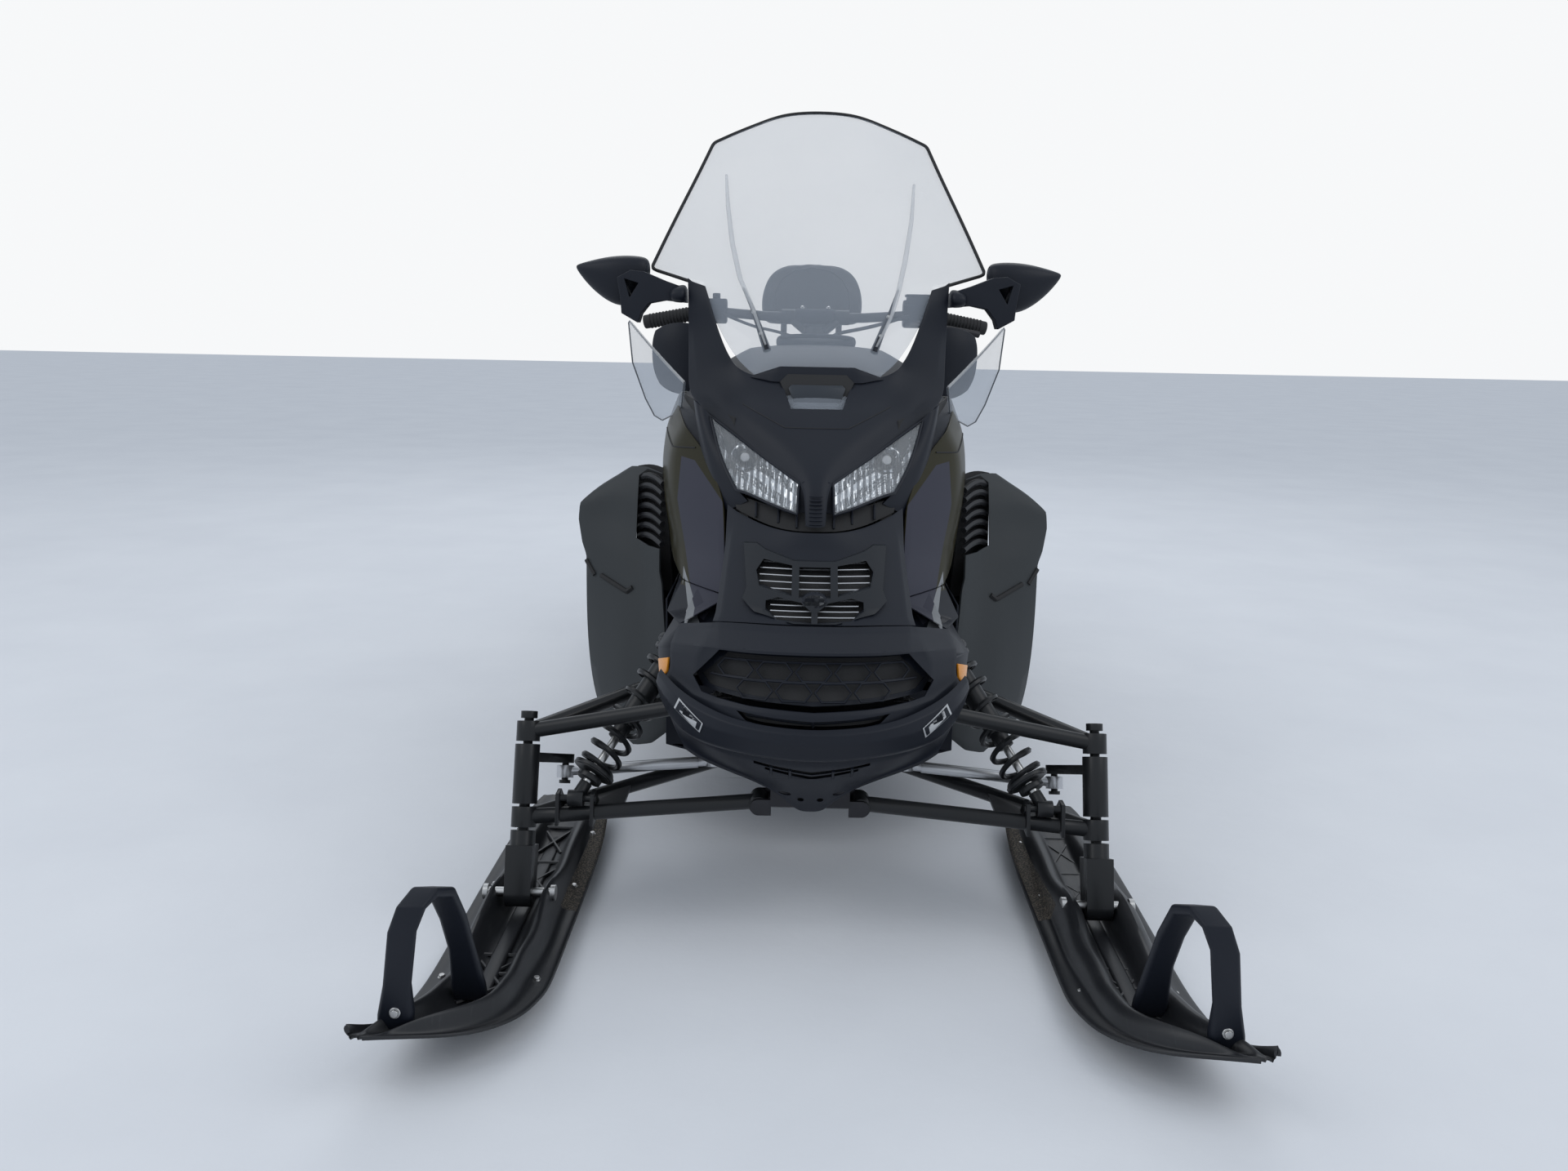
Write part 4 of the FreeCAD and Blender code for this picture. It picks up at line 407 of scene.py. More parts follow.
def creaseLines(piece, columns, sharpRows, sharpCols):
    layer = piece.data.attributes.new("crease_edge", "FLOAT", "EDGE")
    for edge in piece.data.edges:
        (rowA, colA), (rowB, colB) = (divmod(v, columns) for v in edge.vertices)
        if rowA == rowB and rowA in sharpRows:
            layer.data[edge.index].value = sharpRows[rowA]
        if colA == colB and colA in sharpCols:
            layer.data[edge.index].value = sharpCols[colA]


def sheetFrom(name, rows, sharpRows=None, sharpCols=None, levels=2, sharpPoints=None):
    columns = len(rows[0])
    deselectAll()
    bpy.ops.mesh.primitive_grid_add(x_subdivisions=columns - 1, y_subdivisions=len(rows) - 1, size=0.1)
    piece = bpy.context.object
    piece.name = name
    last = len(rows) - 1
    for vertex, point in zip(piece.data.vertices, [p for row in reversed(rows) for p in row]):
        vertex.co = at(*point)
    creases = {last - row: value for row, value in (sharpRows or {}).items()}
    creaseLines(piece, columns, creases, sharpCols or {})
    if sharpPoints:
        layer = piece.data.attributes.new("crease_vert", "FLOAT", "POINT")
        for row, column in sharpPoints:
            layer.data[(last - row) * columns + column].value = 1.0
    if levels:
        subdivide(piece, levels)
    return piece


def across(rows):  # rows from the middle outward, completed by their mirror image
    return [[(-x, y, z) for x, y, z in reversed(row) if x > 0] + list(row) for row in rows]


def acrossCols(count, creases):  # the same completion for the creased columns
    return {count - 1 + i: v for i, v in creases.items()} | {count - 1 - i: v for i, v in creases.items()}


def loftFrom(name, rings, levels=2):  # closed rings of points, skinned in order, with both ends filled
    piece = tidyMesh(sheetFrom(name, [list(ring) + [ring[0]] for ring in rings], levels=0))
    useOnly(piece)
    bpy.ops.object.mode_set(mode="EDIT")
    bpy.ops.mesh.select_all(action="DESELECT")
    bpy.ops.mesh.select_mode(type="EDGE")
    bpy.ops.mesh.select_non_manifold()
    bpy.ops.mesh.fill_holes(sides=64)
    bpy.ops.mesh.select_mode(type="VERT")
    bpy.ops.object.mode_set(mode="OBJECT")
    tidyMesh(piece)
    if levels:
        subdivide(piece, levels)
    return smooth(piece, 60.0)


def extruded(name, corners, push):
    deselectAll()
    bpy.ops.mesh.primitive_circle_add(vertices=len(corners), radius=0.1, fill_type="NGON")
    piece = bpy.context.object
    piece.name = name
    for vertex, corner in zip(piece.data.vertices, corners):
        vertex.co = at(*corner)
    bpy.ops.object.mode_set(mode="EDIT")
    bpy.ops.mesh.select_all(action="SELECT")
    bpy.ops.mesh.extrude_region_move(TRANSFORM_OT_translate={"value": push})
    bpy.ops.object.mode_set(mode="OBJECT")
    return tidyMesh(piece)


def prism(name, outline, frontY, backY):  # an outline seen from the front, (x, z), pushed back
    return extruded(name, [(x, frontY, z) for x, z in outline], (0.0, (backY - frontY) / 1000, 0.0))


def sidePrism(name, outline, fromX, toX):  # an outline seen from the side, (y, z), pushed across
    return extruded(name, [(fromX, y, z) for y, z in outline], ((toX - fromX) / 1000, 0.0, 0.0))


def cut(piece, cutter, operation="DIFFERENCE"):
    modify(piece, "BOOLEAN", operation=operation, object=cutter, solver="EXACT")
    bpy.data.objects.remove(cutter)
    return piece


def tubeAlong(name, points, radius, sides=12, order=3, closed=False):
    curve = bpy.data.curves.new(name, "CURVE")
    curve.dimensions = "3D"
    curve.bevel_depth = radius / 1000
    curve.bevel_resolution = max(1, sides // 4 - 1)
    curve.resolution_u = 6
    curve.use_fill_caps = True
    spline = curve.splines.new("NURBS" if order > 2 else "POLY")
    spline.points.add(len(points) - 1)
    for point, place in zip(spline.points, points):
        point.co = (*at(*place[:3]), 1.0)
        point.radius = place[3] if len(place) > 3 else 1.0
    if order > 2:
        spline.order_u = order
        spline.use_endpoint_u = not closed
    spline.use_cyclic_u = closed
    piece = bpy.data.objects.new(name, curve)
    bpy.context.scene.collection.objects.link(piece)
    useOnly(piece)
    bpy.ops.object.convert(target="MESH")
    return smooth(bpy.context.object, 50.0)


def rodBetween(name, start, end, radius, sides=24, bevel=1.0):
    first, last = at(*start), at(*end)
    span = last - first
    deselectAll()
    bpy.ops.mesh.primitive_cylinder_add(vertices=sides, radius=radius / 1000, depth=span.length)
    piece = bpy.context.object
    piece.name = name
    piece.data.transform(Matrix.Translation((first + last) / 2) @ span.to_track_quat("Z", "Y").to_matrix().to_4x4())
    if bevel:
        bevelEdges(piece, bevel, 2, 60.0)
    return smooth(piece)


def boltHead(name, place, facing, radius=7.0, height=5.0):
    span = Vector(facing).normalized()
    deselectAll()
    bpy.ops.mesh.primitive_cylinder_add(vertices=6, radius=radius / 1000, depth=height / 1000)
    piece = bpy.context.object
    bpy.ops.mesh.primitive_cylinder_add(vertices=20, radius=radius * 1.3 / 1000, depth=height * 0.3 / 1000,
                                        location=(0.0, 0.0, -height * 0.45 / 1000))
    washer = bpy.context.object
    washer.data.transform(washer.matrix_world)
    washer.matrix_world = Matrix.Identity(4)
    piece = joined(name, [piece, washer])
    turn = span.to_track_quat("Z", "Y").to_matrix().to_4x4()
    piece.data.transform(Matrix.Translation(at(*place) + span * height * 0.45 / 1000) @ turn)
    bevelEdges(piece, 0.6, 1, 40.0)
    return smooth(piece)


def softened(node, width, segments=2, keepFrom=None):  # the CAD shape of a node with its edges rounded
    piece = copyOf(frame["nodes"][node], node + "_finished")
    useOnly(piece)
    bpy.ops.object.mode_set(mode="EDIT")
    bpy.ops.mesh.select_all(action="SELECT")
    bpy.ops.mesh.remove_doubles(threshold=0.00005)
    bpy.ops.mesh.dissolve_limited(angle_limit=math.radians(2.0))
    bpy.ops.object.mode_set(mode="OBJECT")
    if keepFrom is not None:
        mesh = bmesh.new()
        mesh.from_mesh(piece.data)
        edge = keepFrom / 1000 + boltY
        gone = [v for v in mesh.verts if v.co.y < edge]
        bmesh.ops.delete(mesh, geom=gone, context="VERTS")
        mesh.to_mesh(piece.data)
        mesh.free()
    bevelEdges(piece, width, segments, 35.0)
    smooth(piece, 40.0)
    return dress(piece, slotOf[node], bodyOf[node], node)


for node, width in [
    ("front_frame", 1.5), ("spindle_left", 1.2), ("spindle_right", 1.2), ("tie_rod_left", 0.8),
    ("tie_rod_right", 0.8), ("lower_arms", 1.0), ("upper_arms", 1.0), ("running_boards", 0.8),
    ("hitch", 1.5), ("cargo_rack", 0.6), ("backrest_frame", 0.6), ("rear_bumper", 0.5),
    ("tunnel", 1.0), ("handlebar", 0.6), ("steering_mount", 0.8), ("torque_arms", 0.8),
    ("slide_rails", 1.0), ("idler_wheels", 0.8), ("engine", 4.0),
]:
    softened(node, width)
print("mechanical pieces softened")


def firstHit(piece, start, along, lift):  # in millimetres, moved off the surface by lift
    hit, place, normal, _ = piece.ray_cast(start, Vector(along))
    if not hit:
        return None
    place = place + normal * (lift / 1000)
    return (place.x * 1000, (place.y - boltY) * 1000, place.z * 1000)


def onSurface(piece, x, z, lift=0.0):  # where a line from the front meets the piece
    return firstHit(piece, at(x, -600.0, z), (0.0, 1.0, 0.0), lift)


def onTop(piece, x, y, lift=0.0):  # where a line straight down meets the piece
    return firstHit(piece, at(x, y, 1400.0), (0.0, 0.0, -1.0), lift)


def tracedOn(piece, corners, lift=0.0, steps=8, find=onSurface):  # a line over the piece through the corners
    places = []
    for (ua, va), (ub, vb) in zip(corners, corners[1:]):
        for step in range(steps):
            share = step / steps
            places.append(find(piece, ua + (ub - ua) * share, va + (vb - va) * share, lift))
    places.append(find(piece, *corners[-1], lift))
    return [place for place in places if place]


def slid(piece, back, up=0):  # moved by millimetres
    piece.data.transform(Matrix.Translation((0.0, back / 1000, up / 1000)))
    return piece


def shellOf(piece, name, outline, outward, inward, bevel=1.0):  # a raised or sunk patch that follows a sheet
    copy = copyOf(piece, name)
    thicken(copy, outward + inward, 1.0)
    cut(slid(copy, inward), prism(name + "_cutter", outline, -600.0, 1200.0), "INTERSECT")
    if bevel:
        bevelEdges(copy, bevel, 2, 40.0)
    return smooth(copy)


# Nose shield: a pointed panel with two pillars that hold the windshield

noseShield = {
    "wall": 4.0,
    "rows": [
        [(0, 166, 676), (6, 166, 676), (10, 167, 676), (14, 169, 677), (17, 172, 678)],
        [(0, 176, 712), (7, 177, 712), (12, 178, 712), (16, 180, 713), (19, 184, 714)],
        [(0, 200, 748), (9, 200, 748), (14, 202, 747), (18, 204, 746), (23, 210, 746)],
        [(0, 230, 778), (24, 234, 777), (38, 240, 774), (50, 246, 770), (62, 252, 765)],
        [(0, 262, 804), (44, 270, 803), (66, 278, 798), (82, 286, 792), (98, 294, 784)],
        [(0, 300, 834), (80, 312, 834), (112, 322, 830), (130, 332, 824), (147, 340, 816)],
        [(0, 338, 860), (84, 346, 860), (140, 364, 862), (170, 384, 854), (197, 400, 847)],
        [(0, 378, 884), (90, 384, 882), (160, 420, 892), (204, 460, 876), (247, 500, 874)],
        [(0, 420, 914), (103, 424, 914), (159, 452, 930), (232, 508, 913), (250, 530, 918)],
    ],
    "pillar": [
        [(159, 452, 930), (232, 508, 913), (250, 530, 918)],
        [(187, 478, 987), (238, 528, 975), (251, 545, 975)],
        [(203, 500, 1032), (243, 540, 1025), (252, 548, 1025)],
        [(213, 522, 1064), (246, 546, 1062), (253, 552, 1062)],
        [(219, 536, 1084), (246, 549, 1093), (254, 554, 1099)],
    ],
    "lip": [
        [(0, 413, 908), (50, 414, 908), (84, 417, 909), (124, 431, 916)],
        [(0, 421, 936), (50, 422, 936), (69, 423, 936), (118, 430, 919)],
        [(0, 427, 936), (50, 428, 936), (69, 429, 936), (118, 436, 918)],
    ],
    "window": [(-66, 909), (-53, 922), (53, 922), (66, 909), (47, 864), (-47, 864)],
    "glass": [(-53, 899), (-47, 905), (47, 905), (53, 899), (40, 867), (-40, 867)],
    "groove": [(-136, 869), (-57, 833), (57, 833), (136, 869)],
    "chinRibs": (681, 727, 8),
}


def leaned(piece):  # slopes like the shield round the window
    for vertex in piece.data.vertices:
        vertex.co.y += (vertex.co.z - 0.864) * 0.45
    return piece


def buildNoseShield():
    whole = sheetFrom("nose_shield_panel", across(noseShield["rows"]), {0: 1.0}, acrossCols(5, {3: 0.8}), levels=0)
    pillar = sheetFrom("pillar", noseShield["pillar"][::-1], None, {1: 0.8}, levels=0)
    pillar.data.flip_normals()
    other = mirroredCopy(pillar, "pillar_other")
    whole = tidyMesh(joined("nose_shield_panel", [whole, pillar, other]))
    subdivide(whole, 3)
    surface = copyOf(whole, "shield_surface")
    thicken(whole, noseShield["wall"], -1.0)
    lip = sheetFrom("shield_lip", across(noseShield["lip"]), {1: 1.0}, acrossCols(4, {2: 1.0}), levels=2)
    thicken(lip, 3.0, -1.0)
    for target in (whole, lip):
        cut(target, prism("window_cutter", noseShield["window"], -200.0, 470.0))
        bevelEdges(target, 0.8, 2, 50.0)
        smooth(target, 30.0)
    dress(whole, "black_plastic", "chassis", "nose_shield")
    dress(lip, "black_plastic", "chassis")
    window = noseShield["window"]
    line = [(x, 398 + (z - 864) * 0.45, z) for x, z in window]
    ring = line + line[:1]
    deep = [(x * 0.93, y + 24, (z - 890) * 0.9 + 890) for x, y, z in ring]
    tunnel = sheetFrom("window_tunnel", [ring, deep], None, None, levels=0)
    thicken(tunnel, 2.0, 1.0)
    dress(tunnel, "black_plastic", "chassis", finish="rubber")
    rim = tubeAlong("gauge_window_rim", [(x, 388 + (z - 864) * 0.52, z) for x, z in window], 3.4, 10, 2, closed=True)
    dress(rim, "black_plastic", "chassis", finish="rubber")
    back = leaned(prism("gauge_window_back", [(x * 1.03, (z - 892) * 1.06 + 892) for x, z in window], 386.5, 389.0))
    dress(back, "black_plastic", "chassis", finish="rubber")
    pane = leaned(prism("gauge_window", noseShield["glass"], 382.0, 385.5))
    bevelEdges(pane, 1.0, 2, 40.0)
    dress(smooth(pane), "black_plastic", "chassis", finish="smoked_screen")
    seam = tubeAlong("nose_shield_seam", tracedOn(surface, noseShield["groove"], 0.2, 6), 0.9, 8, 2)
    dress(seam, "black_plastic", "chassis", finish="rubber")
    low, high, count = noseShield["chinRibs"]
    ribs = []
    for i in range(count):
        z = low + (high - low) * i / (count - 1)
        y = 167 + (z - 676) * 0.32
        ribs.append(tubeAlong("rib", [(-11, y - 1, z), (0, y - 3, z), (11, y - 1, z)], 1.5, 6, 2))
    dress(joined("chin_ribs", ribs), "black_plastic", "chassis")
    bpy.data.objects.remove(surface)


finishes["smoked_screen"] = plastic("smoked_screen", (0.030, 0.036, 0.045), (0.045, 0.052, 0.062), 0.3, 90.0, 0.00002,
                                   Specular_IOR_Level=0.25)
buildNoseShield()
print("nose shield ready")


# Windshield: one tall bowed sheet with a dark edge trim, two moulded flutes and their braces

windshield = {
    "thickness": 4.5,
    "trim": 3.4,
    "rows": [
        [(0, 860, 1456), (40, 861, 1455), (80, 863, 1450), (112, 867, 1440)],
        [(0, 832, 1428), (62, 834, 1428), (124, 842, 1424), (176, 850, 1413)],
        [(0, 804, 1394), (74, 808, 1394), (152, 816, 1391), (225, 829, 1387)],
        [(0, 750, 1334), (88, 756, 1334), (172, 768, 1331), (252, 790, 1322)],
        [(0, 690, 1268), (98, 698, 1268), (192, 714, 1266), (281, 747, 1256)],
        [(0, 622, 1192), (106, 632, 1192), (210, 654, 1191), (310, 702, 1188)],
        [(0, 560, 1118), (110, 572, 1118), (226, 604, 1118), (338, 662, 1120)],
        [(0, 527, 1082), (100, 536, 1082), (176, 548, 1083), (226, 552, 1086)],
        [(0, 477, 1019), (84, 484, 1019), (150, 494, 1019), (199, 506, 1019)],
        [(0, 440, 944), (60, 443, 942), (110, 448, 941), (150, 456, 940)],
        [(0, 431, 915), (40, 431, 915), (76, 434, 915), (104, 438, 915)],
        [(0, 365, 862), (30, 366, 862), (52, 369, 863), (70, 374, 863)],
    ],
    "flutes": [
        [(-193, 1314), (-186, 1250), (-172, 1169), (-153, 1100), (-128, 1050), (-98, 975)],
        [(194, 1300), (186, 1223), (171, 1143), (157, 1087), (140, 1031), (111, 975)],
    ],
    "braces": [
        [(-146, 1086), (-128, 1050), (-112, 1010), (-96, 968)],
        [(156, 1088), (140, 1044), (124, 1008), (108, 968)],
    ],
}


def outerRim(piece, wanted):  # the open edge of a sheet, in order, where wanted(x, z) holds
    mesh = bmesh.new()
    mesh.from_mesh(piece.data)
    linked = {}
    for edge in mesh.edges:
        if edge.is_boundary:
            a, b = edge.verts
            linked.setdefault(a.index, []).append(b.index)
            linked.setdefault(b.index, []).append(a.index)
    places = [v.co.copy() for v in mesh.verts]
    mesh.free()
    start = min(linked, key=lambda i: (places[i].z, places[i].x))
    order, last = [start], None
    while True:
        following = [i for i in linked[order[-1]] if i != last]
        last = order[-1]
        if not following or following[0] == start:
            break
        order.append(following[0])
    rim = [(p.x * 1000, (p.y - boltY) * 1000, p.z * 1000) for p in (places[i] for i in order)]
    flags = [wanted(x, z) for x, y, z in rim]
    first = next((i for i in range(len(rim)) if flags[i] and not flags[i - 1]), 0)
    turned = rim[first:] + rim[:first]
    return [p for p in turned if wanted(p[0], p[2])]


def buildWindshield():
    pane = sheetFrom("windshield_pane", across(windshield["rows"]), {7: 0.5}, None, levels=3,
                     sharpPoints=[(2, 0), (2, 6), (6, 0), (6, 6)])
    edge = outerRim(pane, lambda x, z: z > 1092)
    trim = tubeAlong("windshield_trim", edge[::2], windshield["trim"], 12, 3)
    dress(trim, "rubber", "chassis")
    for index, line in enumerate(windshield["flutes"]):
        traced = tracedOn(pane, line, 1.5, 4)
        count = len(traced) - 1
        ribbed = [(*p, 0.25 + 0.75 * math.sin(math.pi * min(1.0, 0.12 + i / count * 0.8))) for i, p in enumerate(traced)]
        flute = tubeAlong(f"windshield_flute_{index + 1}", ribbed, 5.0, 12, 3)
        # the flute finish paints a highlight along each flute
        dress(flute, "clear_glass", "chassis", finish="flute")
    for index, line in enumerate(windshield["braces"]):
        traced = tracedOn(pane, line, -6.0, 4)
        count = len(traced) - 1
        shaped = [(*p, 0.3 + 0.7 * i / count) for i, p in enumerate(traced)]
        dress(tubeAlong(f"windshield_brace_{index + 1}", shaped, 8.0, 12, 3), "black_plastic", "chassis")
        for share in (0.45, 0.8):
            x, y, z = traced[int(count * share)]
            head = boltHead(f"brace_bolt_{index + 1}_{int(share * 100)}", (x, y - 6, z), (0, -1, 0.5), 3.5, 3.0)
            dress(head, "bare_steel", "chassis")
    thicken(pane, windshield["thickness"], -1.0)
    dress(smooth(pane, 60.0), "clear_glass", "chassis", "windshield")


# The flute finish is paler and more opaque than the windshield: a painted highlight along the moulded flutes and the
# knee deflector ridges.
finishes["flute"] = clearSheet("clear_flute_painted_highlight", (0.72, 0.74, 0.76), 0.42, 0.10)
buildWindshield()
print("windshield ready")


# Knee deflectors: clear blades beside the pillars, creased along the middle

kneeDeflector = {
    "rows": [
        [(388, 722, 1012), (392, 730, 1016), (396, 742, 1012)],
        [(330, 640, 956), (358, 672, 948), (384, 712, 930)],
        [(262, 566, 898), (310, 620, 880), (352, 672, 858)],
        [(266, 560, 862), (296, 600, 848), (330, 640, 826)],
        [(268, 562, 840), (290, 592, 830), (312, 622, 818)],
    ],
}


def buildKneeDeflector():
    blade = sheetFrom("knee_deflectors_clear", kneeDeflector["rows"], None, {1: 0.8}, levels=3,
                      sharpPoints=[(0, 0), (0, 2), (1, 2), (2, 2), (3, 2), (4, 2), (4, 0), (2, 0)])
    ridge = tubeAlong("ridge", [row[0] for row in kneeDeflector["rows"][:3]], 3.0, 10, 3)
    rim = tubeAlong("rim", outerRim(blade, lambda x, z: True), 1.5, 8, 2)
    thicken(blade, 4.0, -1.0)
    both = withMirror("knee_deflectors_clear", smooth(blade, 50.0))
    dress(both, "clear_glass", "chassis", "knee_deflectors")
    # the ridges use the flute finish, a painted highlight
    dress(withMirror("knee_deflector_ridges", ridge), "clear_glass", "chassis", finish="flute")
    dress(withMirror("knee_deflector_rims", rim), "clear_glass", "chassis", finish="dark_screen")


buildKneeDeflector()
print("knee deflectors ready")


# Hood centre: the panel under the headlamps, with a raised frame round two vents

hood = {
    "wall": 4.0,
    "rows": [
        [(0, 159, 667), (46, 166, 667), (92, 200, 673), (136, 246, 688), (156, 270, 698)],
        [(0, 146, 638), (55, 148, 638), (104, 164, 640), (146, 200, 642), (156, 216, 636)],
        [(0, 84, 590), (60, 86, 590), (108, 98, 590), (150, 128, 590), (160, 146, 584)],
        [(0, 34, 552), (60, 36, 552), (110, 46, 552), (152, 66, 550), (163, 80, 546)],
        [(0, 18, 541), (60, 20, 541), (112, 30, 541), (156, 46, 538), (166, 54, 536)],
    ],
    "recess": [
        [(0, 200, 694), (24, 206, 694), (92, 240, 704), (148, 296, 716)],
        [(0, 180, 666), (46, 188, 666), (90, 222, 672), (140, 268, 690)],
    ],
    "upperVents": [
        [(-98, 611), (-86, 627), (-38, 620), (-38, 579), (-92, 590)],
        [(-26, 618), (26, 618), (26, 577), (-26, 577)],
        [(38, 620), (86, 627), (98, 611), (92, 590), (38, 579)],
    ],
    "lowerVents": [
        [(-80, 572), (-60, 577), (-22, 571), (-5, 559), (-5, 543), (-60, 546), (-80, 560)],
        [(5, 559), (22, 571), (60, 577), (80, 572), (80, 560), (60, 546), (5, 543)],
    ],
    "frame": [(-122, 646), (-100, 648), (-84, 640), (-34, 626), (34, 626), (84, 640), (100, 648), (122, 646),
              (113, 586), (119, 572), (98, 556), (0, 536), (-98, 556), (-119, 572), (-113, 586)],
    "mesh": [(-108, 634), (108, 634), (112, 576), (84, 546), (-84, 546), (-112, 576)],
    "badge": (0, 574, 21, 10),
    "slatFields": ((582, 624, 92), (546, 574, 72)),
    "slatPitch": 8.6,
    "recessRibs": (-104, -64, -32, 32, 64, 104),
}


def buildHood():
    panel = sheetFrom("hood_centre", across(hood["rows"]), {1: 0.9, 3: 0.5}, acrossCols(5, {3: 0.8}), levels=3)
    plain = copyOf(panel, "hood_plain")
    thicken(panel, hood["wall"], -1.0)
    raised = shellOf(plain, "vent_frame", hood["frame"], 8.0, 0.0, 0.0)
    openings = hood["upperVents"] + hood["lowerVents"]
    for index, outline in enumerate(openings):
        for target in (panel, raised):
            cut(target, prism(f"vent_cutter_{index}", outline, -200.0, 400.0))
    bevelEdges(raised, 1.8, 2, 30.0)
    bevelEdges(panel, 0.8, 2, 40.0)
    dress(smooth(panel, 30.0), "black_plastic", "chassis", "hood")
    # the frame's finish is a little lighter than the hood's: a painted highlight for its edges
    dress(smooth(raised, 30.0), "black_plastic", "chassis", finish="vent_frame_painted_highlight")
    recess = sheetFrom("lamp_recess", across(hood["recess"]), None, None, levels=2)
    thicken(recess, 3.0, -1.0)
    dress(smooth(recess, 40.0), "black_plastic", "chassis", finish="rubber")
    ribs = []
    for x in hood["recessRibs"]:
        back = 206 + max(0.0, abs(x) - 24) * 0.62
        high = 694 + max(0.0, abs(x) - 24) * 0.15
        ribs.append(tubeAlong("rib", [(x, back - 8, high), (x, back - 22, high - 24)], 2.2, 8, 2))
    dress(joined("recess_ribs", ribs), "black_plastic", "chassis")
    slats = []
    for low, high, reach in hood["slatFields"]:
        count = int((high - low) / hood["slatPitch"])
        for i in range(count + 1):
            z = low + 3 + i * (high - low - 6) / count
            wide = reach - max(0.0, z - 612) * 0.6
            spots = [onSurface(plain, x, z) for x in (-wide, -40, 0, 40, wide)]
            line = [(x, y + 7, zz) for x, y, zz in (s for s in spots if s)]
            slats.append(tubeAlong("slat", line, 1.5, 8, 2))
    dress(joined("vent_slats", slats), "alloy", "chassis")
    back = slid(shellOf(plain, "vent_mesh", hood["mesh"], 0.0, 3.0, 0.0), 16, -6)
    dress(back, "grey_plastic", "chassis", "grilles", finish="rubber")
    x, z, half, tall = hood["badge"]
    ring = [(x + half * math.cos(t * math.pi / 12), z + tall * math.sin(t * math.pi / 12)) for t in range(24)]
    disc = shellOf(plain, "plain_badge", ring, 12.0, 0.0, 1.0)
    dress(disc, "black_plastic", "chassis")
    face = shellOf(plain, "badge_face", [(x + (a - x) * 0.84, z + (b - z) * 0.76) for a, b in ring], 13.0, 0.0, 0.4)
    dress(face, "black_plastic", "chassis", finish="badge_grey")
    bpy.data.objects.remove(plain)


# The vent frame's black is a little lighter than the hood's: a painted highlight standing in for the light on the
# frame's edges.
finishes["vent_frame_painted_highlight"] = plastic("vent_trim_black", (0.010, 0.012, 0.016), (0.017, 0.020, 0.025), 0.38, Specular_IOR_Level=0.3)
finishes["badge_grey"] = plastic("badge_grey", (0.05, 0.052, 0.056), (0.08, 0.083, 0.088), 0.32)
buildHood()
print("hood ready")


# Fascia round the grille

fascia = {
    "wall": 6.0,
    "rows": [
        [(0, 12, 540), (60, 14, 540), (112, 26, 540), (156, 44, 537), (166, 52, 534), (228, 128, 513)],
        [(0, -2, 532), (60, 0, 532), (110, 12, 532), (154, 28, 530), (170, 44, 526), (230, 118, 510)],
        [(0, -48, 512), (60, -44, 512), (108, -36, 512), (150, -20, 510), (178, 2, 506), (238, 84, 490)],
        [(0, -54, 500), (60, -50, 500), (112, -42, 500), (156, -22, 496), (188, 6, 486), (238, 70, 478)],
        [(0, -84, 436), (60, -78, 437), (106, -66, 438), (152, -42, 438), (190, -4, 440), (236, 60, 454)],
        [(0, -96, 424), (60, -90, 425), (106, -78, 427), (152, -52, 428), (192, -14, 432), (240, 56, 446)],
        [(0, -104, 404), (60, -97, 405), (108, -82, 408), (156, -52, 412), (198, -12, 420), (246, 60, 436)],
    ],
    "opening": [(-150, 508), (150, 508), (194, 458), (178, 438), (100, 432), (0, 428), (-100, 432), (-178, 438), (-194, 458)],
    "inner": [(-138, 498), (138, 498), (180, 457), (166, 444), (95, 438), (0, 434), (-95, 438), (-166, 444), (-180, 457)],
    "intake": [(-120, 424), (-60, 419), (0, 416), (60, 419), (120, 424), (104, 410),
               (52, 403), (0, 400), (-52, 403), (-104, 410)],
    "hexagon": (57.0, 26.0),
    "hexagonPitch": 62.0,
    "hexagonRows": ((478, 0.0), (449, 0.5)),
    "meshBars": (463.5, 492),
    "intakeFins": (-86, -44, 0, 44, 86),
    "intakeBar": [(-104, -66, 416), (-50, -78, 411), (0, -86, 409), (50, -78, 411), (104, -66, 416)],
}


def hexBar(x, z, width, height, y, wall):  # one long hexagon of the mesh, as a ring of bars
    half, tall = width / 2, height / 2
    corner = half * 0.62
    outer = [(x - half, z), (x - corner, z + tall), (x + corner, z + tall), (x + half, z), (x + corner, z - tall),
             (x - corner, z - tall)]
    line = [(a, y(a, b), b) for a, b in outer]
    return tubeAlong("hexagon", line, wall, 6, 2, closed=True)


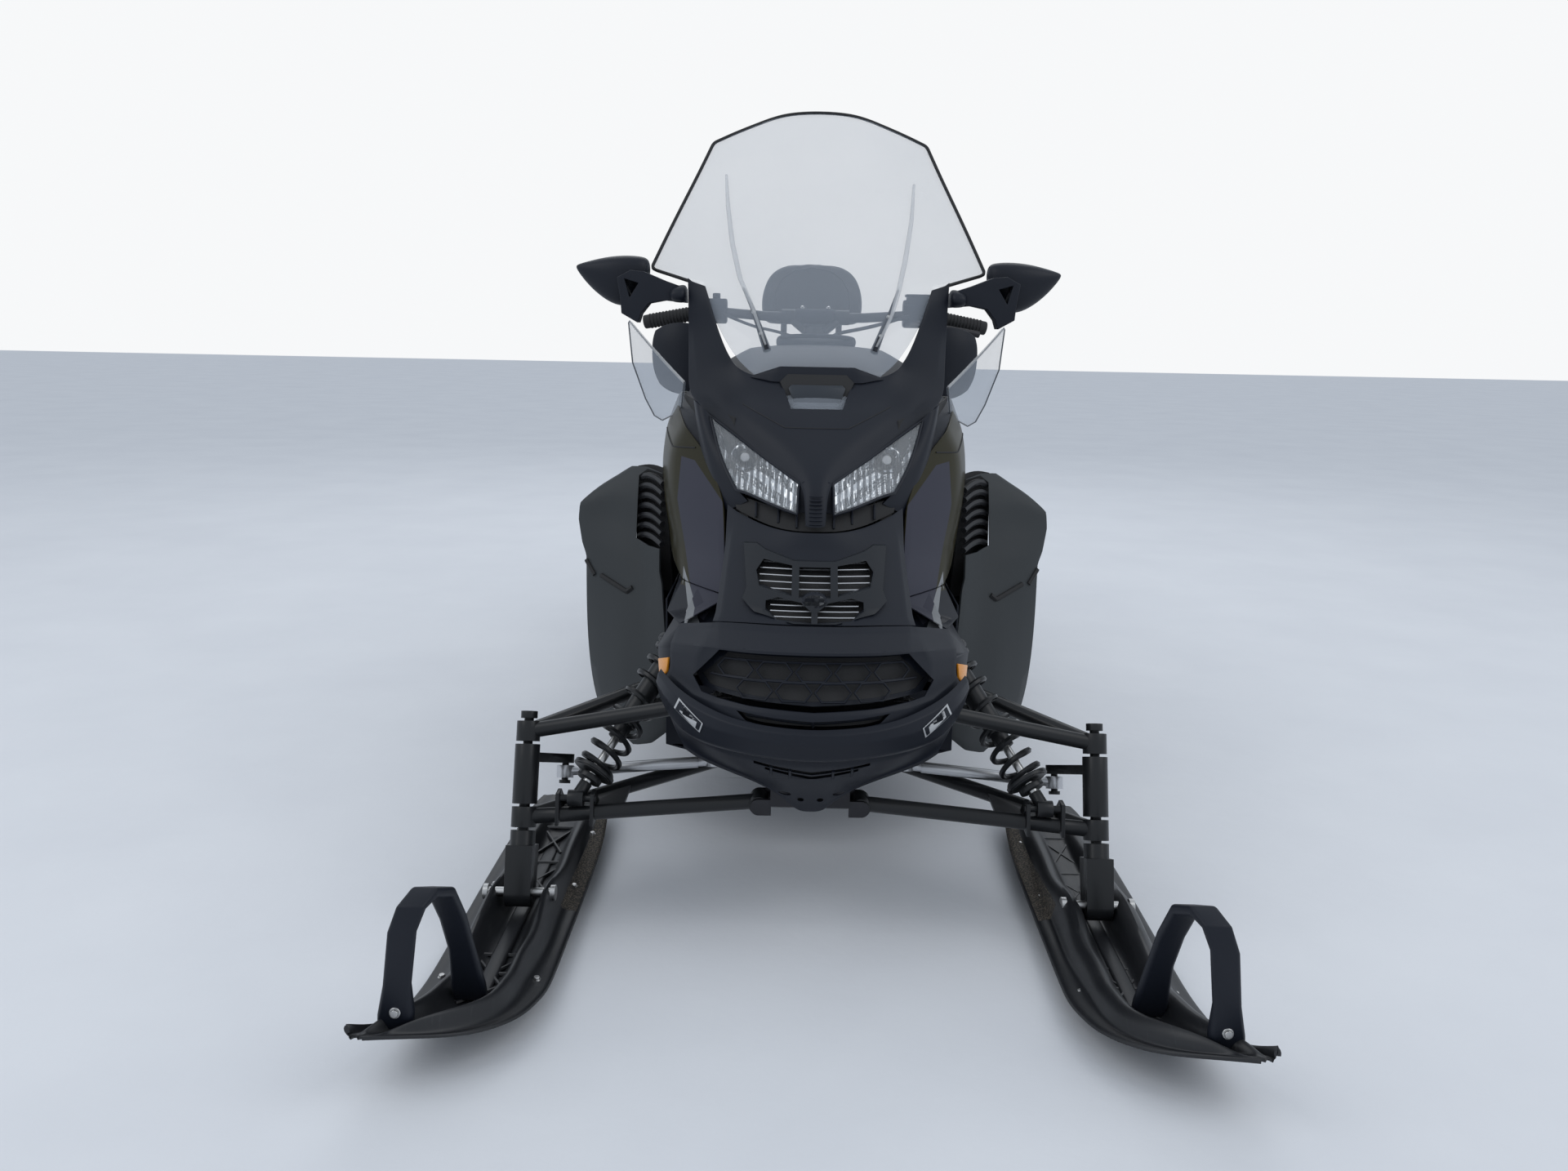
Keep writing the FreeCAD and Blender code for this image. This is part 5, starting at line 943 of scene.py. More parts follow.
def buildFascia():
    panel = sheetFrom("front_fascia_panel", across(fascia["rows"]), {1: 1.0, 2: 1.0, 3: 0.6, 5: 0.9},
                      acrossCols(6, {3: 0.5, 4: 1.0}), levels=3)
    plain = copyOf(panel, "fascia_plain")
    thicken(panel, fascia["wall"], -1.0)
    cut(panel, prism("opening_cutter", fascia["opening"], -400.0, 300.0))
    cut(panel, prism("intake_cutter", fascia["intake"], -400.0, 300.0))
    bevelEdges(panel, 1.6, 3, 40.0)
    dress(smooth(panel, 30.0), "black_plastic", "chassis", "front_fascia")
    rim = shellOf(plain, "grille_surround", fascia["opening"], 0.0, 34.0, 0.0)
    cut(rim, prism("inner_cutter", fascia["inner"], -400.0, 300.0))
    bevelEdges(slid(rim, 4), 1.5, 2, 35.0)
    dress(smooth(rim, 30.0), "black_plastic", "chassis")

    def depth(x, z):
        spot = onSurface(plain, x, z)
        return (spot[1] if spot else 0.0) + 24.0

    bars = []
    for z, offset in fascia["hexagonRows"]:
        for i in range(-3, 4):
            x = (i + offset) * fascia["hexagonPitch"]
            if abs(x) < 150:
                bars.append(hexBar(x, z, *fascia["hexagon"], depth, 1.9))
    for z in fascia["meshBars"]:
        line = [(x, depth(x, z), z) for x in range(-165, 166, 22) if z < 480 or abs(x) < 130]
        bars.append(tubeAlong("bar", line, 1.8, 6, 2))
    dress(joined("grille_hexagons", bars), "grey_plastic", "chassis", finish="black_plastic")
    back = slid(shellOf(plain, "grille_back", fascia["opening"], 0.0, 2.0, 0.0), 36)
    dress(back, "grey_plastic", "chassis", finish="rubber")
    lower = slid(shellOf(plain, "intake_back", fascia["intake"], 0.0, 2.0, 0.0), 18)
    dress(lower, "grey_plastic", "chassis", finish="rubber")
    fins = [tubeAlong("fin", [(x, -84 + abs(x) * 0.2, 402 + abs(x) * 0.09), (x, -84 + abs(x) * 0.2, 422)], 1.8, 6, 2)
            for x in fascia["intakeFins"]]
    fins.append(tubeAlong("fin", fascia["intakeBar"], 1.8, 6, 3))
    dress(joined("intake_fins", fins), "black_plastic", "chassis")
    bpy.data.objects.remove(plain)


buildFascia()
print("fascia ready")


# Bumper band: the moulded bar across the nose, with two plain bright plates

bumperBand = {
    "rows": [
        [(0, -104, 405), (46, -101, 407), (93, -92, 410), (140, -72, 416), (186, -38, 428), (224, 4, 440), (252, 58, 452)],
        [(0, -116, 400), (46, -113, 401), (94, -104, 404), (144, -83, 410), (192, -48, 421), (230, -6, 434), (257, 56, 444)],
        [(0, -118, 384), (46, -115, 385), (94, -106, 388), (146, -85, 394), (196, -50, 404), (236, -8, 416), (260, 58, 430)],
        [(0, -108, 356), (46, -105, 357), (92, -96, 360), (140, -76, 364), (190, -38, 366), (230, 6, 378), (254, 62, 402)],
        [(0, -84, 346), (46, -82, 347), (90, -74, 350), (136, -54, 352), (184, -16, 352), (222, 24, 362), (246, 72, 388)],
    ],
    "plate": [(172, 400), (214, 428), (222, 411), (178, 381)],
    "plateLayers": [  # name, width and height as shares of the plate, how far it stands out, bevel, finish
        ("rim", 1.0, 1.0, 2.0, 0.5, "white_plate"),
        ("dark", 0.90, 0.86, 2.6, 0.2, None),
        ("face", 0.60, 0.74, 3.2, 0.2, "white_plate"),
    ],
}


def buildBumper():
    band = sheetFrom("bumper_band", across(bumperBand["rows"]), {1: 0.7, 2: 0.6, 3: 0.75}, None, levels=3)
    plain = copyOf(band, "band_plain")
    thicken(band, 5.0, -1.0)
    bevelEdges(band, 1.2, 2, 45.0)
    dress(smooth(band, 40.0), "black_plastic", "chassis", "front_bumper")
    for index, side in enumerate((1, -1)):
        outline = [(x * side, z) for x, z in bumperBand["plate"]]
        cx = sum(x for x, z in outline) / 4
        cz = sum(z for x, z in outline) / 4
        for part, wide, tall, out, bevel, finish in bumperBand["plateLayers"]:
            corners = [(cx + (x - cx) * wide, cz + (z - cz) * tall) for x, z in outline]
            layer = shellOf(plain, f"plate_{part}_{index + 1}", corners, out, 0.0, bevel)
            dress(layer, "black_plastic", "chassis", finish=finish)
    bpy.data.objects.remove(plain)


buildBumper()


# Belly nose under the band, with a slot like a V, tow holes and two oval slots

bellyNose = {
    "rows": [
        [(0, -88, 362), (46, -86, 362), (90, -76, 362), (134, -56, 362), (180, -20, 362), (222, 24, 366), (246, 74, 392)],
        [(0, -80, 336), (45, -78, 337), (86, -68, 338), (130, -44, 340), (172, -8, 342), (210, 34, 348), (238, 72, 366)],
        [(0, -50, 300), (42, -46, 301), (80, -36, 303), (122, -14, 310), (166, 20, 318), (204, 50, 328), (230, 70, 346)],
        [(0, -18, 268), (32, -14, 270), (62, -8, 280), (104, 6, 290), (152, 32, 300), (196, 56, 312), (222, 70, 330)],
        [(0, 4, 238), (24, 6, 240), (48, 8, 256), (86, 6, 280), (140, 34, 290), (192, 56, 304), (216, 68, 318)],
        [(0, 14, 224), (22, 15, 224), (44, 12, 249), (82, 2, 276), (138, 32, 285), (190, 52, 299), (214, 66, 312)],
    ],
    "slotBack": [(-110, 350), (110, 350), (110, 306), (-110, 306)],
    "slotRibs": (-64, -34, 34, 64),
    "towHoles": [(-16, 252), (16, 252)],
    "ovals": [(-42, 262), (46, 263)],
}


def buildBelly():
    nose = sheetFrom("belly_nose", across(bellyNose["rows"]), {1: 0.5, 4: 0.6}, None, levels=3)
    plain = copyOf(nose, "nose_plain")
    thicken(nose, 4.0, -1.0)
    for drop, half in ((0, 92), (-11, 74)):
        slot = [(-half, 340 + drop), (0, 324 + drop), (half, 340 + drop),
                (half, 334 + drop), (0, 317 + drop), (-half, 334 + drop)]
        cut(nose, prism("slot_cutter", slot, -400.0, 300.0))
    for x, z, wide in [(*p, 5.5) for p in bellyNose["towHoles"]] + [(*p, 10.0) for p in bellyNose["ovals"]]:
        ring = [(x + wide * math.cos(t * math.pi / 8), z + 4.5 * math.sin(t * math.pi / 8)) for t in range(16)]
        cut(nose, prism("hole_cutter", ring, -400.0, 300.0))
    bevelEdges(nose, 0.8, 2, 45.0)
    dress(smooth(nose, 35.0), "black_plastic", "chassis")
    back = slid(shellOf(plain, "nose_slot_back", bellyNose["slotBack"], 0.0, 2.0, 0.0), 12, 4)
    dress(back, "black_plastic", "chassis", finish="rubber")
    ribs = [tubeAlong("rib", [(x, *onSurface(plain, x, 338 - (100 - abs(x)) * 0.16)[1:]),
                              (x, *onSurface(plain, x, 318 - (100 - abs(x)) * 0.14)[1:])], 2.4, 6, 2)
            for x in bellyNose["slotRibs"]]
    dress(joined("nose_slot_ribs", ribs), "black_plastic", "chassis")
    bpy.data.objects.remove(plain)
    softened("belly_pan", 1.0, keepFrom=340)


buildBelly()
print("bumper and belly ready")


# Headlamps: a clear lens, a fluted bright reflector with a bowl, and a dark bezel

headlamp = {
    "lens": [
        [(29, 214, 745), (62, 252, 764), (96, 294, 782), (146, 338, 815), (196, 380, 846)],
        [(30, 207, 732), (62, 242, 748), (95, 278, 764), (140, 318, 790), (186, 352, 815)],
        [(31, 200, 719), (63, 230, 733), (94, 260, 747), (133, 294, 766), (174, 320, 781)],
        [(31, 193, 707), (64, 217, 717), (93, 243, 729), (126, 272, 743), (159, 296, 752)],
        [(32, 186, 695), (66, 206, 704), (92, 226, 712), (118, 250, 721), (141, 272, 724)],
    ],
    "bezel": [
        [(194, 383, 846), (210, 390, 860), (228, 402, 872), (232, 440, 872)],
        [(184, 355, 813), (200, 360, 820), (214, 366, 820), (222, 400, 820)],
        [(172, 323, 779), (185, 330, 778), (200, 340, 772), (210, 374, 772)],
        [(157, 299, 750), (170, 308, 744), (186, 318, 732), (198, 350, 732)],
        [(139, 275, 722), (155, 286, 712), (174, 296, 698), (188, 326, 698)],
        [(120, 262, 706), (140, 274, 694), (166, 292, 682), (180, 320, 682)],
    ],
    "bowl": (128, 312, 778, 25.0),
    "bowlDepth": 22.0,
    "flutePitch": 8.5,
    "fluteDepth": 5.0,
    "divider": [(-24, 750), (24, 750), (30, 716), (30, 690), (-30, 690), (-30, 716)],
    "keel": [(-20, 745), (20, 745), (20, 672), (-20, 672)],
}


def buildHeadlamps():
    lens = sheetFrom("headlamp_lens", headlamp["lens"], None, None, levels=2)
    edge = outerRim(lens, lambda x, z: True)
    rim = tubeAlong("headlamp_rim", edge, 2.6, 8, 2, closed=True)
    inner = [[(x, y + 26 + (8 if 0 < i < 4 else 0), z) for i, (x, y, z) in enumerate(row)] for row in headlamp["lens"]]
    bright = sheetFrom("headlamp_reflector", inner, None, None, levels=4)
    bx, by, bz, radius = headlamp["bowl"]
    for vertex in bright.data.vertices:
        x, y, z = vertex.co.x * 1000, (vertex.co.y - boltY) * 1000, vertex.co.z * 1000
        phase = (x * 0.94 + z * 0.10) / headlamp["flutePitch"]
        shape = abs(phase - math.floor(phase) - 0.5) * 2
        step = 0.4 + 0.6 * (math.floor((z - 0.5 * x) / 15.0) % 2)
        away = math.hypot(x - bx, z - bz)
        push = headlamp["fluteDepth"] * shape * step
        if away < radius:
            push = headlamp["bowlDepth"] * math.sqrt(max(0.0, 1 - (away / radius) ** 2)) + 2.0
        vertex.co.y += push / 1000
    turns = [t * math.pi / 8 for t in range(16)]
    circle = [(bx + radius * math.cos(turn), by + 18, bz + radius * 0.86 * math.sin(turn)) for turn in turns]
    ring = tubeAlong("bowl_ring", circle, 2.2, 8, 3, closed=True)
    bulb = rodBetween("bulb", (bx, by + 2, bz), (bx, by + 40, bz), 9.0, 20, 3.0)
    around = edge[::4] + edge[:1]
    behind = [(x * 0.985 + 1, y + 40, z) for x, y, z in around]
    wall = sheetFrom("headlamp_wall", [[(x, y + 3, z) for x, y, z in around], behind], None, None, levels=0)
    bezel = sheetFrom("headlamp_bezel", headlamp["bezel"], None, {1: 0.8}, levels=2)
    thicken(bezel, 4.0, -1.0)
    thicken(lens, 3.0, -1.0)
    dress(withMirror("headlamp_lenses_clear", smooth(lens, 50.0)), "lens", "chassis", "headlamp_lenses")
    useOnly(bright)
    bpy.ops.object.shade_flat()
    dress(withMirror("headlamp_reflectors", joined("reflectors", [bright, ring])), "reflector", "chassis", "headlamp_housings",
          finish="fluted_reflector_painted_glints")
    dress(withMirror("headlamp_walls", wall), "reflector", "chassis", finish="dark_reflector")
    dress(withMirror("headlamp_bulbs", bulb), "reflector", "chassis", finish="bare_steel")
    dress(withMirror("headlamp_rims", rim), "black_plastic", "chassis")
    dress(withMirror("headlamp_bezels", smooth(bezel, 30.0)), "black_plastic", "chassis")
    middle = prism("lamp_divider", headlamp["divider"], 208.0, 250.0)
    bevelEdges(middle, 2.0, 2, 30.0)
    keel = prism("lamp_keel", headlamp["keel"], 252.0, 400.0)
    bevelEdges(keel, 2.0, 2, 30.0)
    dress(keel, "black_plastic", "chassis", finish="rubber")
    dress(smooth(middle), "black_plastic", "chassis")


# The reflector's colour is painted reflection: bright and dark stripes across X, broken up by noise, stand in for
# glints on the flutes, and the lower part is painted brighter as a painted highlight.
lampSilver = Finish("fluted_reflector_painted_glints", (0.6, 0.62, 0.65), 0.12, Metallic=1.0)
paintedGlintStripes = lampSilver.math("SINE", lampSilver.axis("X") * 560.0, 0.0) + lampSilver.noise(34.0, 3.0) * 1.8
paintedLowHighlight = lampSilver.band(lampSilver.axis("Z"), 0.80, 0.73)
paintedReflectionMask = lampSilver.band(paintedGlintStripes + paintedLowHighlight * 0.5, 0.9, 1.7)
lampSilver.feed("Base Color", lampSilver.blend(paintedReflectionMask, (0.12, 0.13, 0.145), (0.86, 0.88, 0.90)))
finishes["fluted_reflector_painted_glints"] = lampSilver
finishes["mirror_silver"] = metal("mirror_silver", (0.62, 0.64, 0.67), (0.74, 0.76, 0.78), 0.05, 60.0)
finishes["dark_reflector"] = metal("dark_reflector", (0.07, 0.075, 0.085), (0.16, 0.17, 0.18), 0.22, 60.0)
buildHeadlamps()
print("headlamps ready")


# Side panels: dark olive shells with a slate field and a silver corner towards the nose

sidePanel = {
    "rows": [
        [(196, 352, 770), (222, 396, 798), (250, 446, 822), (276, 560, 852), (287, 700, 874), (284, 850, 868), (262, 980, 850)],
        [(186, 326, 748), (232, 386, 770), (272, 440, 782), (298, 560, 806), (308, 700, 818), (302, 850, 812), (282, 986, 796)],
        [(164, 286, 704), (222, 354, 722), (280, 432, 738), (308, 560, 748), (318, 700, 750), (312, 850, 742), (292, 1000, 732)],
        [(162, 262, 652), (218, 328, 660), (276, 410, 668), (306, 560, 684), (317, 700, 690), (312, 850, 686), (295, 1010, 682)],
        [(160, 240, 604), (208, 308, 604), (260, 394, 606), (298, 560, 624), (312, 700, 636), (309, 850, 638), (296, 1020, 638)],
        [(152, 190, 550), (196, 240, 552), (240, 300, 554), (284, 520, 558), (300, 700, 561), (300, 850, 561), (290, 1020, 561)],
    ],
    "slate": [(166, 700), (224, 764), (252, 768), (258, 690), (240, 604), (213, 520), (190, 510), (158, 552), (158, 612)],
    "silver": [[(240, 574), (196, 506), (234, 466)], [(236, 558), (216, 502), (250, 492)]],
    "capSeam": [(200, 788), (272, 782), (298, 806)],
}


def polygonMask(wide, high, corners):  # 1 inside a convex outline of (x, z) in millimetres
    mask = None
    middle = Vector((sum(c[0] for c in corners) / len(corners), sum(c[1] for c in corners) / len(corners)))
    for (xa, za), (xb, zb) in zip(corners, corners[1:] + corners[:1]):
        a, b = zb - za, xa - xb
        level = (a * xa + b * za) / 1000
        side = a * middle.x / 1000 + b * middle.y / 1000 - level
        if side < 0:
            a, b, level = -a, -b, -level
        inside = (wide * a + high * b) > level
        mask = inside if mask is None else mask * inside
    return mask


def paintSidePanel():
    made = Finish("olive_panel_marked", (0.03, 0.028, 0.015), 0.36, Specular_IOR_Level=0.18)
    wide = abs(made.axis("X"))
    high = made.axis("Z")
    ahead = made.axis("Y") < (boltY + 0.43)
    slate = polygonMask(wide, high, sidePanel["slate"]) * ahead
    hook = polygonMask(wide, high, sidePanel["silver"][0])
    silver = (hook - hook * polygonMask(wide, high, sidePanel["silver"][1])) * ahead
    cloud = made.noise(3.5, 4.0)
    fleck = made.noise(900.0, 2.0)
    olive = made.blend(cloud, (0.020, 0.018, 0.008), (0.032, 0.028, 0.011))
    olive = made.blend(made.band(fleck, 0.6, 0.75) * 0.5, olive, (0.07, 0.066, 0.035))
    olive = made.blend(high < 0.546, olive, (0.010, 0.012, 0.018))  # the lower cowls under the panels are black
    slated = made.blend(slate, olive, (0.045, 0.046, 0.063))
    made.feed("Base Color", made.blend(silver, slated, (0.24, 0.25, 0.26)))
    made.feed("Roughness", slate * 0.14 + silver * 0.10 + cloud * 0.08 + 0.30)
    made.bump(made.noise(60.0, 2.0), 0.0001, 0.3)
    return made


def buildSidePanels():
    finishes["olive_marked"] = paintSidePanel()
    shell = sheetFrom("side_panels_smooth", sidePanel["rows"], {1: 0.35, 4: 0.5}, {2: 0.45}, levels=2)
    seam = tubeAlong("cap_seam", tracedOn(shell, sidePanel["capSeam"], 0.3, 6), 1.6, 8, 3)
    dress(withMirror("panel_cap_seams", seam), "olive_panel", "chassis", finish="rubber")
    thicken(shell, 4.0, -1.0)
    bevelEdges(shell, 1.0, 2, 50.0)
    dress(withMirror("side_panels_smooth", smooth(shell, 40.0)), "olive_panel", "chassis", "side_panels", finish="olive_marked")


buildSidePanels()


# Inner walls: they close the gaps beside the hood, round the headlamps, above the side panels and behind the leg deflectors

innerWalls = {
    "liner": [
        [(150, 360, 846), (205, 440, 862), (252, 540, 872), (276, 700, 872)],
        [(150, 320, 760), (205, 400, 780), (262, 540, 790), (296, 700, 790)],
        [(140, 290, 690), (200, 370, 690), (262, 520, 690), (304, 700, 690)],
        [(138, 250, 600), (196, 340, 600), (262, 500, 600), (304, 700, 600)],
        [(140, 200, 560), (196, 280, 560), (262, 440, 560), (296, 700, 566)],
    ],
    "footwell": [
        [(256, 712, 646), (300, 710, 650), (346, 716, 652)],
        [(260, 712, 470), (302, 710, 470), (348, 716, 470)],
        [(262, 706, 330), (302, 704, 330), (346, 712, 330)],
    ],
    "cowlCorner": [
        [(146, 204, 550), (206, 262, 551)],
        [(140, 160, 505), (232, 150, 503)],
        [(136, 158, 462), (226, 146, 462)],
    ],
    "hoodSide": [
        [(118, 185, 500), (118, 430, 500)],
        [(118, 215, 550), (118, 430, 550)],
        [(118, 262, 604), (118, 430, 604)],
        [(118, 308, 704), (118, 430, 704)],
        [(118, 340, 748), (118, 430, 748)],
    ],
    "shoulder": [
        [(130, 430, 880), (188, 522, 886), (222, 600, 890), (234, 680, 893), (233, 752, 892), (226, 820, 890), (190, 925, 858)],
        [(216, 404, 786), (246, 450, 814), (264, 510, 836), (276, 570, 848), (285, 700, 868), (282, 850, 862), (262, 960, 846)],
    ],
}


def innerWall(rows, name, wall, slot="black_plastic", finish="rubber", sharpRows=None, levels=1):
    piece = sheetFrom(name, innerWalls[rows], sharpRows, None, levels)
    thicken(piece, wall, -1.0)
    dress(withMirror(name, smooth(piece, 40.0)), slot, "chassis", finish=finish)


innerWall("liner", "panel_liners", 3.0, levels=2)
print("side panels ready")


# Leg deflectors with a cap, a step below it and a louvred inner face

legDeflector = {
    "rows": [
        [(304, 552, 718), (340, 592, 726), (374, 618, 724), (402, 628, 706), (406, 740, 684)],
        [(305, 536, 690), (345, 584, 702), (398, 606, 698), (446, 618, 680), (446, 740, 658)],
        [(306, 520, 650), (350, 572, 660), (410, 598, 666), (484, 616, 646), (480, 740, 626)],
        [(305, 508, 606), (350, 560, 614), (406, 588, 622), (487, 612, 612), (482, 740, 596)],
        [(304, 490, 528), (346, 536, 540), (394, 560, 556), (478, 600, 566), (480, 740, 556)],
        [(298, 480, 506), (342, 526, 516), (390, 552, 530), (468, 592, 540), (472, 740, 534)],
        [(290, 450, 430), (336, 494, 430), (386, 524, 432), (468, 584, 440), (470, 740, 440)],
        [(281, 434, 345), (334, 474, 345), (382, 504, 346), (464, 574, 350), (465, 740, 350)],
        [(281, 432, 262), (332, 452, 256), (378, 486, 256), (452, 560, 266), (454, 730, 272)],
        [(281, 430, 216), (314, 432, 190), (352, 448, 180), (432, 538, 218), (437, 700, 238)],
    ],
    "slots": [[(432, 503), (374, 478), (362, 488)], [(466, 530), (446, 502)]],
    "louvres": 7,
    "louvrePitch": 19.5,
    "louvreField": [(298, 572), (300, 716), (338, 722), (356, 708), (358, 584), (330, 574)],
    "well": [
        [(292, 560, 722), (330, 610, 732), (364, 640, 722)],
        [(290, 540, 650), (330, 590, 654), (364, 622, 650)],
        [(288, 530, 570), (330, 574, 572), (364, 606, 574)],
        [(284, 570, 470), (330, 610, 470), (372, 646, 470)],
    ],
}


def buildLegDeflectors():
    shell = sheetFrom("leg_deflectors_smooth", legDeflector["rows"], {2: 0.5, 3: 0.5, 4: 0.95, 5: 0.85},
                      {1: 0.5, 2: 0.6, 3: 0.8}, levels=2)
    grooves = [tubeAlong("groove", tracedOn(shell, line, 0.0, 5), 5.5, 8, 3) for line in legDeflector["slots"]]
    thicken(shell, 4.0, -1.0)
    cut(shell, prism("louvre_cutter", legDeflector["louvreField"], 440.0, 700.0))
    bevelEdges(shell, 1.2, 2, 50.0)
    dress(withMirror("leg_deflectors_smooth", smooth(shell, 40.0)), "grey_plastic", "chassis", "leg_deflectors")
    dress(withMirror("deflector_slots", joined("grooves", grooves)), "black_plastic", "chassis", finish="rubber")
    louvres = []
    for i in range(legDeflector["louvres"]):
        z = 586 + i * legDeflector["louvrePitch"]
        line = [(300, 508 + i * 4.5, z - 5), (314, 528 + i * 5.0, z + 3), (330, 548 + i * 5.2, z + 7),
                (345, 566 + i * 4.6, z + 5), (354, 580 + i * 3.6, z - 2)]
        louvres.append(tubeAlong("louvre", line, 6.6, 8, 3))
    dress(withMirror("deflector_louvres", joined("louvres", louvres)), "grey_plastic", "chassis", finish="louvre_grey")
    well = sheetFrom("louvre_well", legDeflector["well"], None, None, levels=2)
    thicken(well, 3.0, -1.0)
    dress(withMirror("louvre_wells", smooth(well, 40.0)), "grey_plastic", "chassis", finish="rubber")


finishes["louvre_grey"] = plastic("louvre_grey", (0.012, 0.013, 0.015), (0.02, 0.021, 0.024), 0.42)
buildLegDeflectors()
innerWall("footwell", "footwell_walls", 3.0)
innerWall("cowlCorner", "cowl_corners", 2.5, "olive_panel", "olive_marked", {1: 1.0})
innerWall("hoodSide", "hood_side_walls", 2.5)
innerWall("shoulder", "panel_shoulders", 2.5, finish=None)
print("leg deflectors ready")


# Mirrors: drop-shaped pods on arms with a triangular opening

mirror = {
    "rings": [
        [(488, 634, 1121), (488, 640, 1124), (488, 648, 1124), (488, 648, 1120), (488, 642, 1118), (488, 636, 1118)],
        [(462, 612, 1116), (462, 622, 1132), (462, 660, 1132), (462, 668, 1108), (462, 656, 1082), (462, 624, 1082)],
        [(424, 598, 1110), (424, 610, 1142), (424, 668, 1142), (424, 678, 1100), (424, 664, 1050), (424, 614, 1050)],
        [(386, 594, 1104), (386, 604, 1146), (386, 668, 1146), (386, 678, 1096), (386, 664, 1038), (386, 608, 1038)],
        [(354, 600, 1112), (354, 608, 1144), (354, 662, 1144), (354, 670, 1100), (354, 658, 1062), (354, 612, 1062)],
        [(336, 612, 1118), (336, 618, 1138), (336, 650, 1138), (336, 656, 1116), (336, 648, 1100), (336, 620, 1100)],
    ],
    "arm": [(258, 1080), (257, 1052), (300, 1056), (330, 1050), (346, 1030), (352, 1012), (384, 1030), (386, 1060),
            (392, 1098), (366, 1112), (340, 1110), (300, 1094)],
    "hole": [(350, 1088), (378, 1096), (368, 1060)],
    "foot": [(254, 2), (272, 6), (292, 10)],
    "glass": [(362, 1128), (438, 1128), (450, 1114), (434, 1078), (404, 1062), (372, 1062), (358, 1078)],
}


def buildMirrors():
    pod = loftFrom("pod", mirror["rings"], 3)
    arm = prism("arm", mirror["arm"], 552.0, 598.0)
    cut(arm, prism("arm_cutter", mirror["hole"], 400.0, 700.0))
    bevelEdges(arm, 7.0, 4, 50.0)
    smooth(arm, 50.0)
    rings = [[(x, 545 + (x - 250) * 0.1, 1092 - r), (x, 530, 1066), (x, 545, 1050 + r * 0.3),
              (x, 590, 1050 + r * 0.3), (x, 598, 1066), (x, 590, 1092 - r)] for x, r in mirror["foot"]]
    foot = loftFrom("foot", rings, 2)
    glass = prism("glass", mirror["glass"], 671.0, 675.0)
    bevelEdges(glass, 1.0, 2, 50.0)
    pods = joined("mirror_bodies", [pod, arm, foot])
    dress(withMirror("mirror_bodies", pods), "black_plastic", "chassis", "mirrors")
    dress(withMirror("mirror_glasses", smooth(glass)), "reflector", "chassis", finish="mirror_silver")


buildMirrors()
print("mirrors ready")


# Skis: trough between wavy ridges, ribs across it, and a lip that sweeps outward at the front

skiX = 482.5
ski = {
    # along, sole height, outer edge, inner edge, ridge height, ridge shift
    "rows": [
        (-475, 90, 117, 97, 7, 0), (-460, 83, 119, 66, 12, 0), (-443, 74, 118, 40, 24, 0), (-423, 64, 113, 4, 38, 0),
        (-398, 54, 107, -26, 44, 2), (-362, 44, 101, -54, 44, 4), (-320, 36, 97, -77, 42, 4), (-270, 30, 95, -88, 44, 0),
        (-235, 26, 94, -94, 40, -3), (-180, 22, 94, -94, 52, -2), (-120, 22, 94, -94, 46, 5), (-60, 22, 94, -94, 60, 2),
        (0, 22, 94, -94, 70, 0), (60, 22, 94, -94, 56, 2), (130, 22, 94, -94, 42, 5), (210, 22, 93, -93, 40, 0),
        (300, 24, 91, -91, 32, -2), (400, 29, 84, -84, 22, 0), (470, 34, 76, -76, 14, 0), (498, 37, 66, -66, 12, 0),
    ],
    "wall": 8.0,
    "ribs": [((-300, -26), (-240, 26)), ((-300, 26), (-240, -26)), ((-250, -30), (-160, 26)), ((-250, 28), (-160, -28)),
             ((80, -26), (170, 26)), ((80, 26), (170, -26)), ((240, -22), (330, 22)), ((240, 22), (330, -22))],
    "crossRibs": (-200, -140, 70, 200, 350),
    "keel": [(-330, 30), (-300, 20), (-150, 13), (260, 13), (420, 26), (420, 34), (-330, 44)],
    "rivets": [(-350, 24), (-320, 60), (-210, 72), (-210, -72), (110, 70), (110, -70), (330, 66), (330, -66)],
}


def skiProfile(y, sole, outer, inner, ridge, shift):  # from the outer edge across to the inner one
    middle, share = (outer + inner) / 2, (outer - inner) / 188
    lip = 3.0 + max(0.0, (-330 - y) / 145) * 24.0
    half = [(94, 6 + lip * 0.4), (91, 10 + lip), (80, 11), (62 + shift, 14), (50 + shift, ridge), (38 + shift, ridge),
            (27 + shift * 0.6, 14), (12, 10)]
    inward = [(94, 6), (91, 12), (78, 11)] + half[3:]
    return [(middle + u * share, y, sole + z) for u, z in half] + [(middle - u * share, y, sole + z) for u, z in reversed(inward)]


def turnedOver(piece):  # the piece replaced by its mirror image
    name = piece.name
    copy = mirroredCopy(piece, name + "_m")
    bpy.data.objects.remove(piece)
    copy.name = name
    return copy


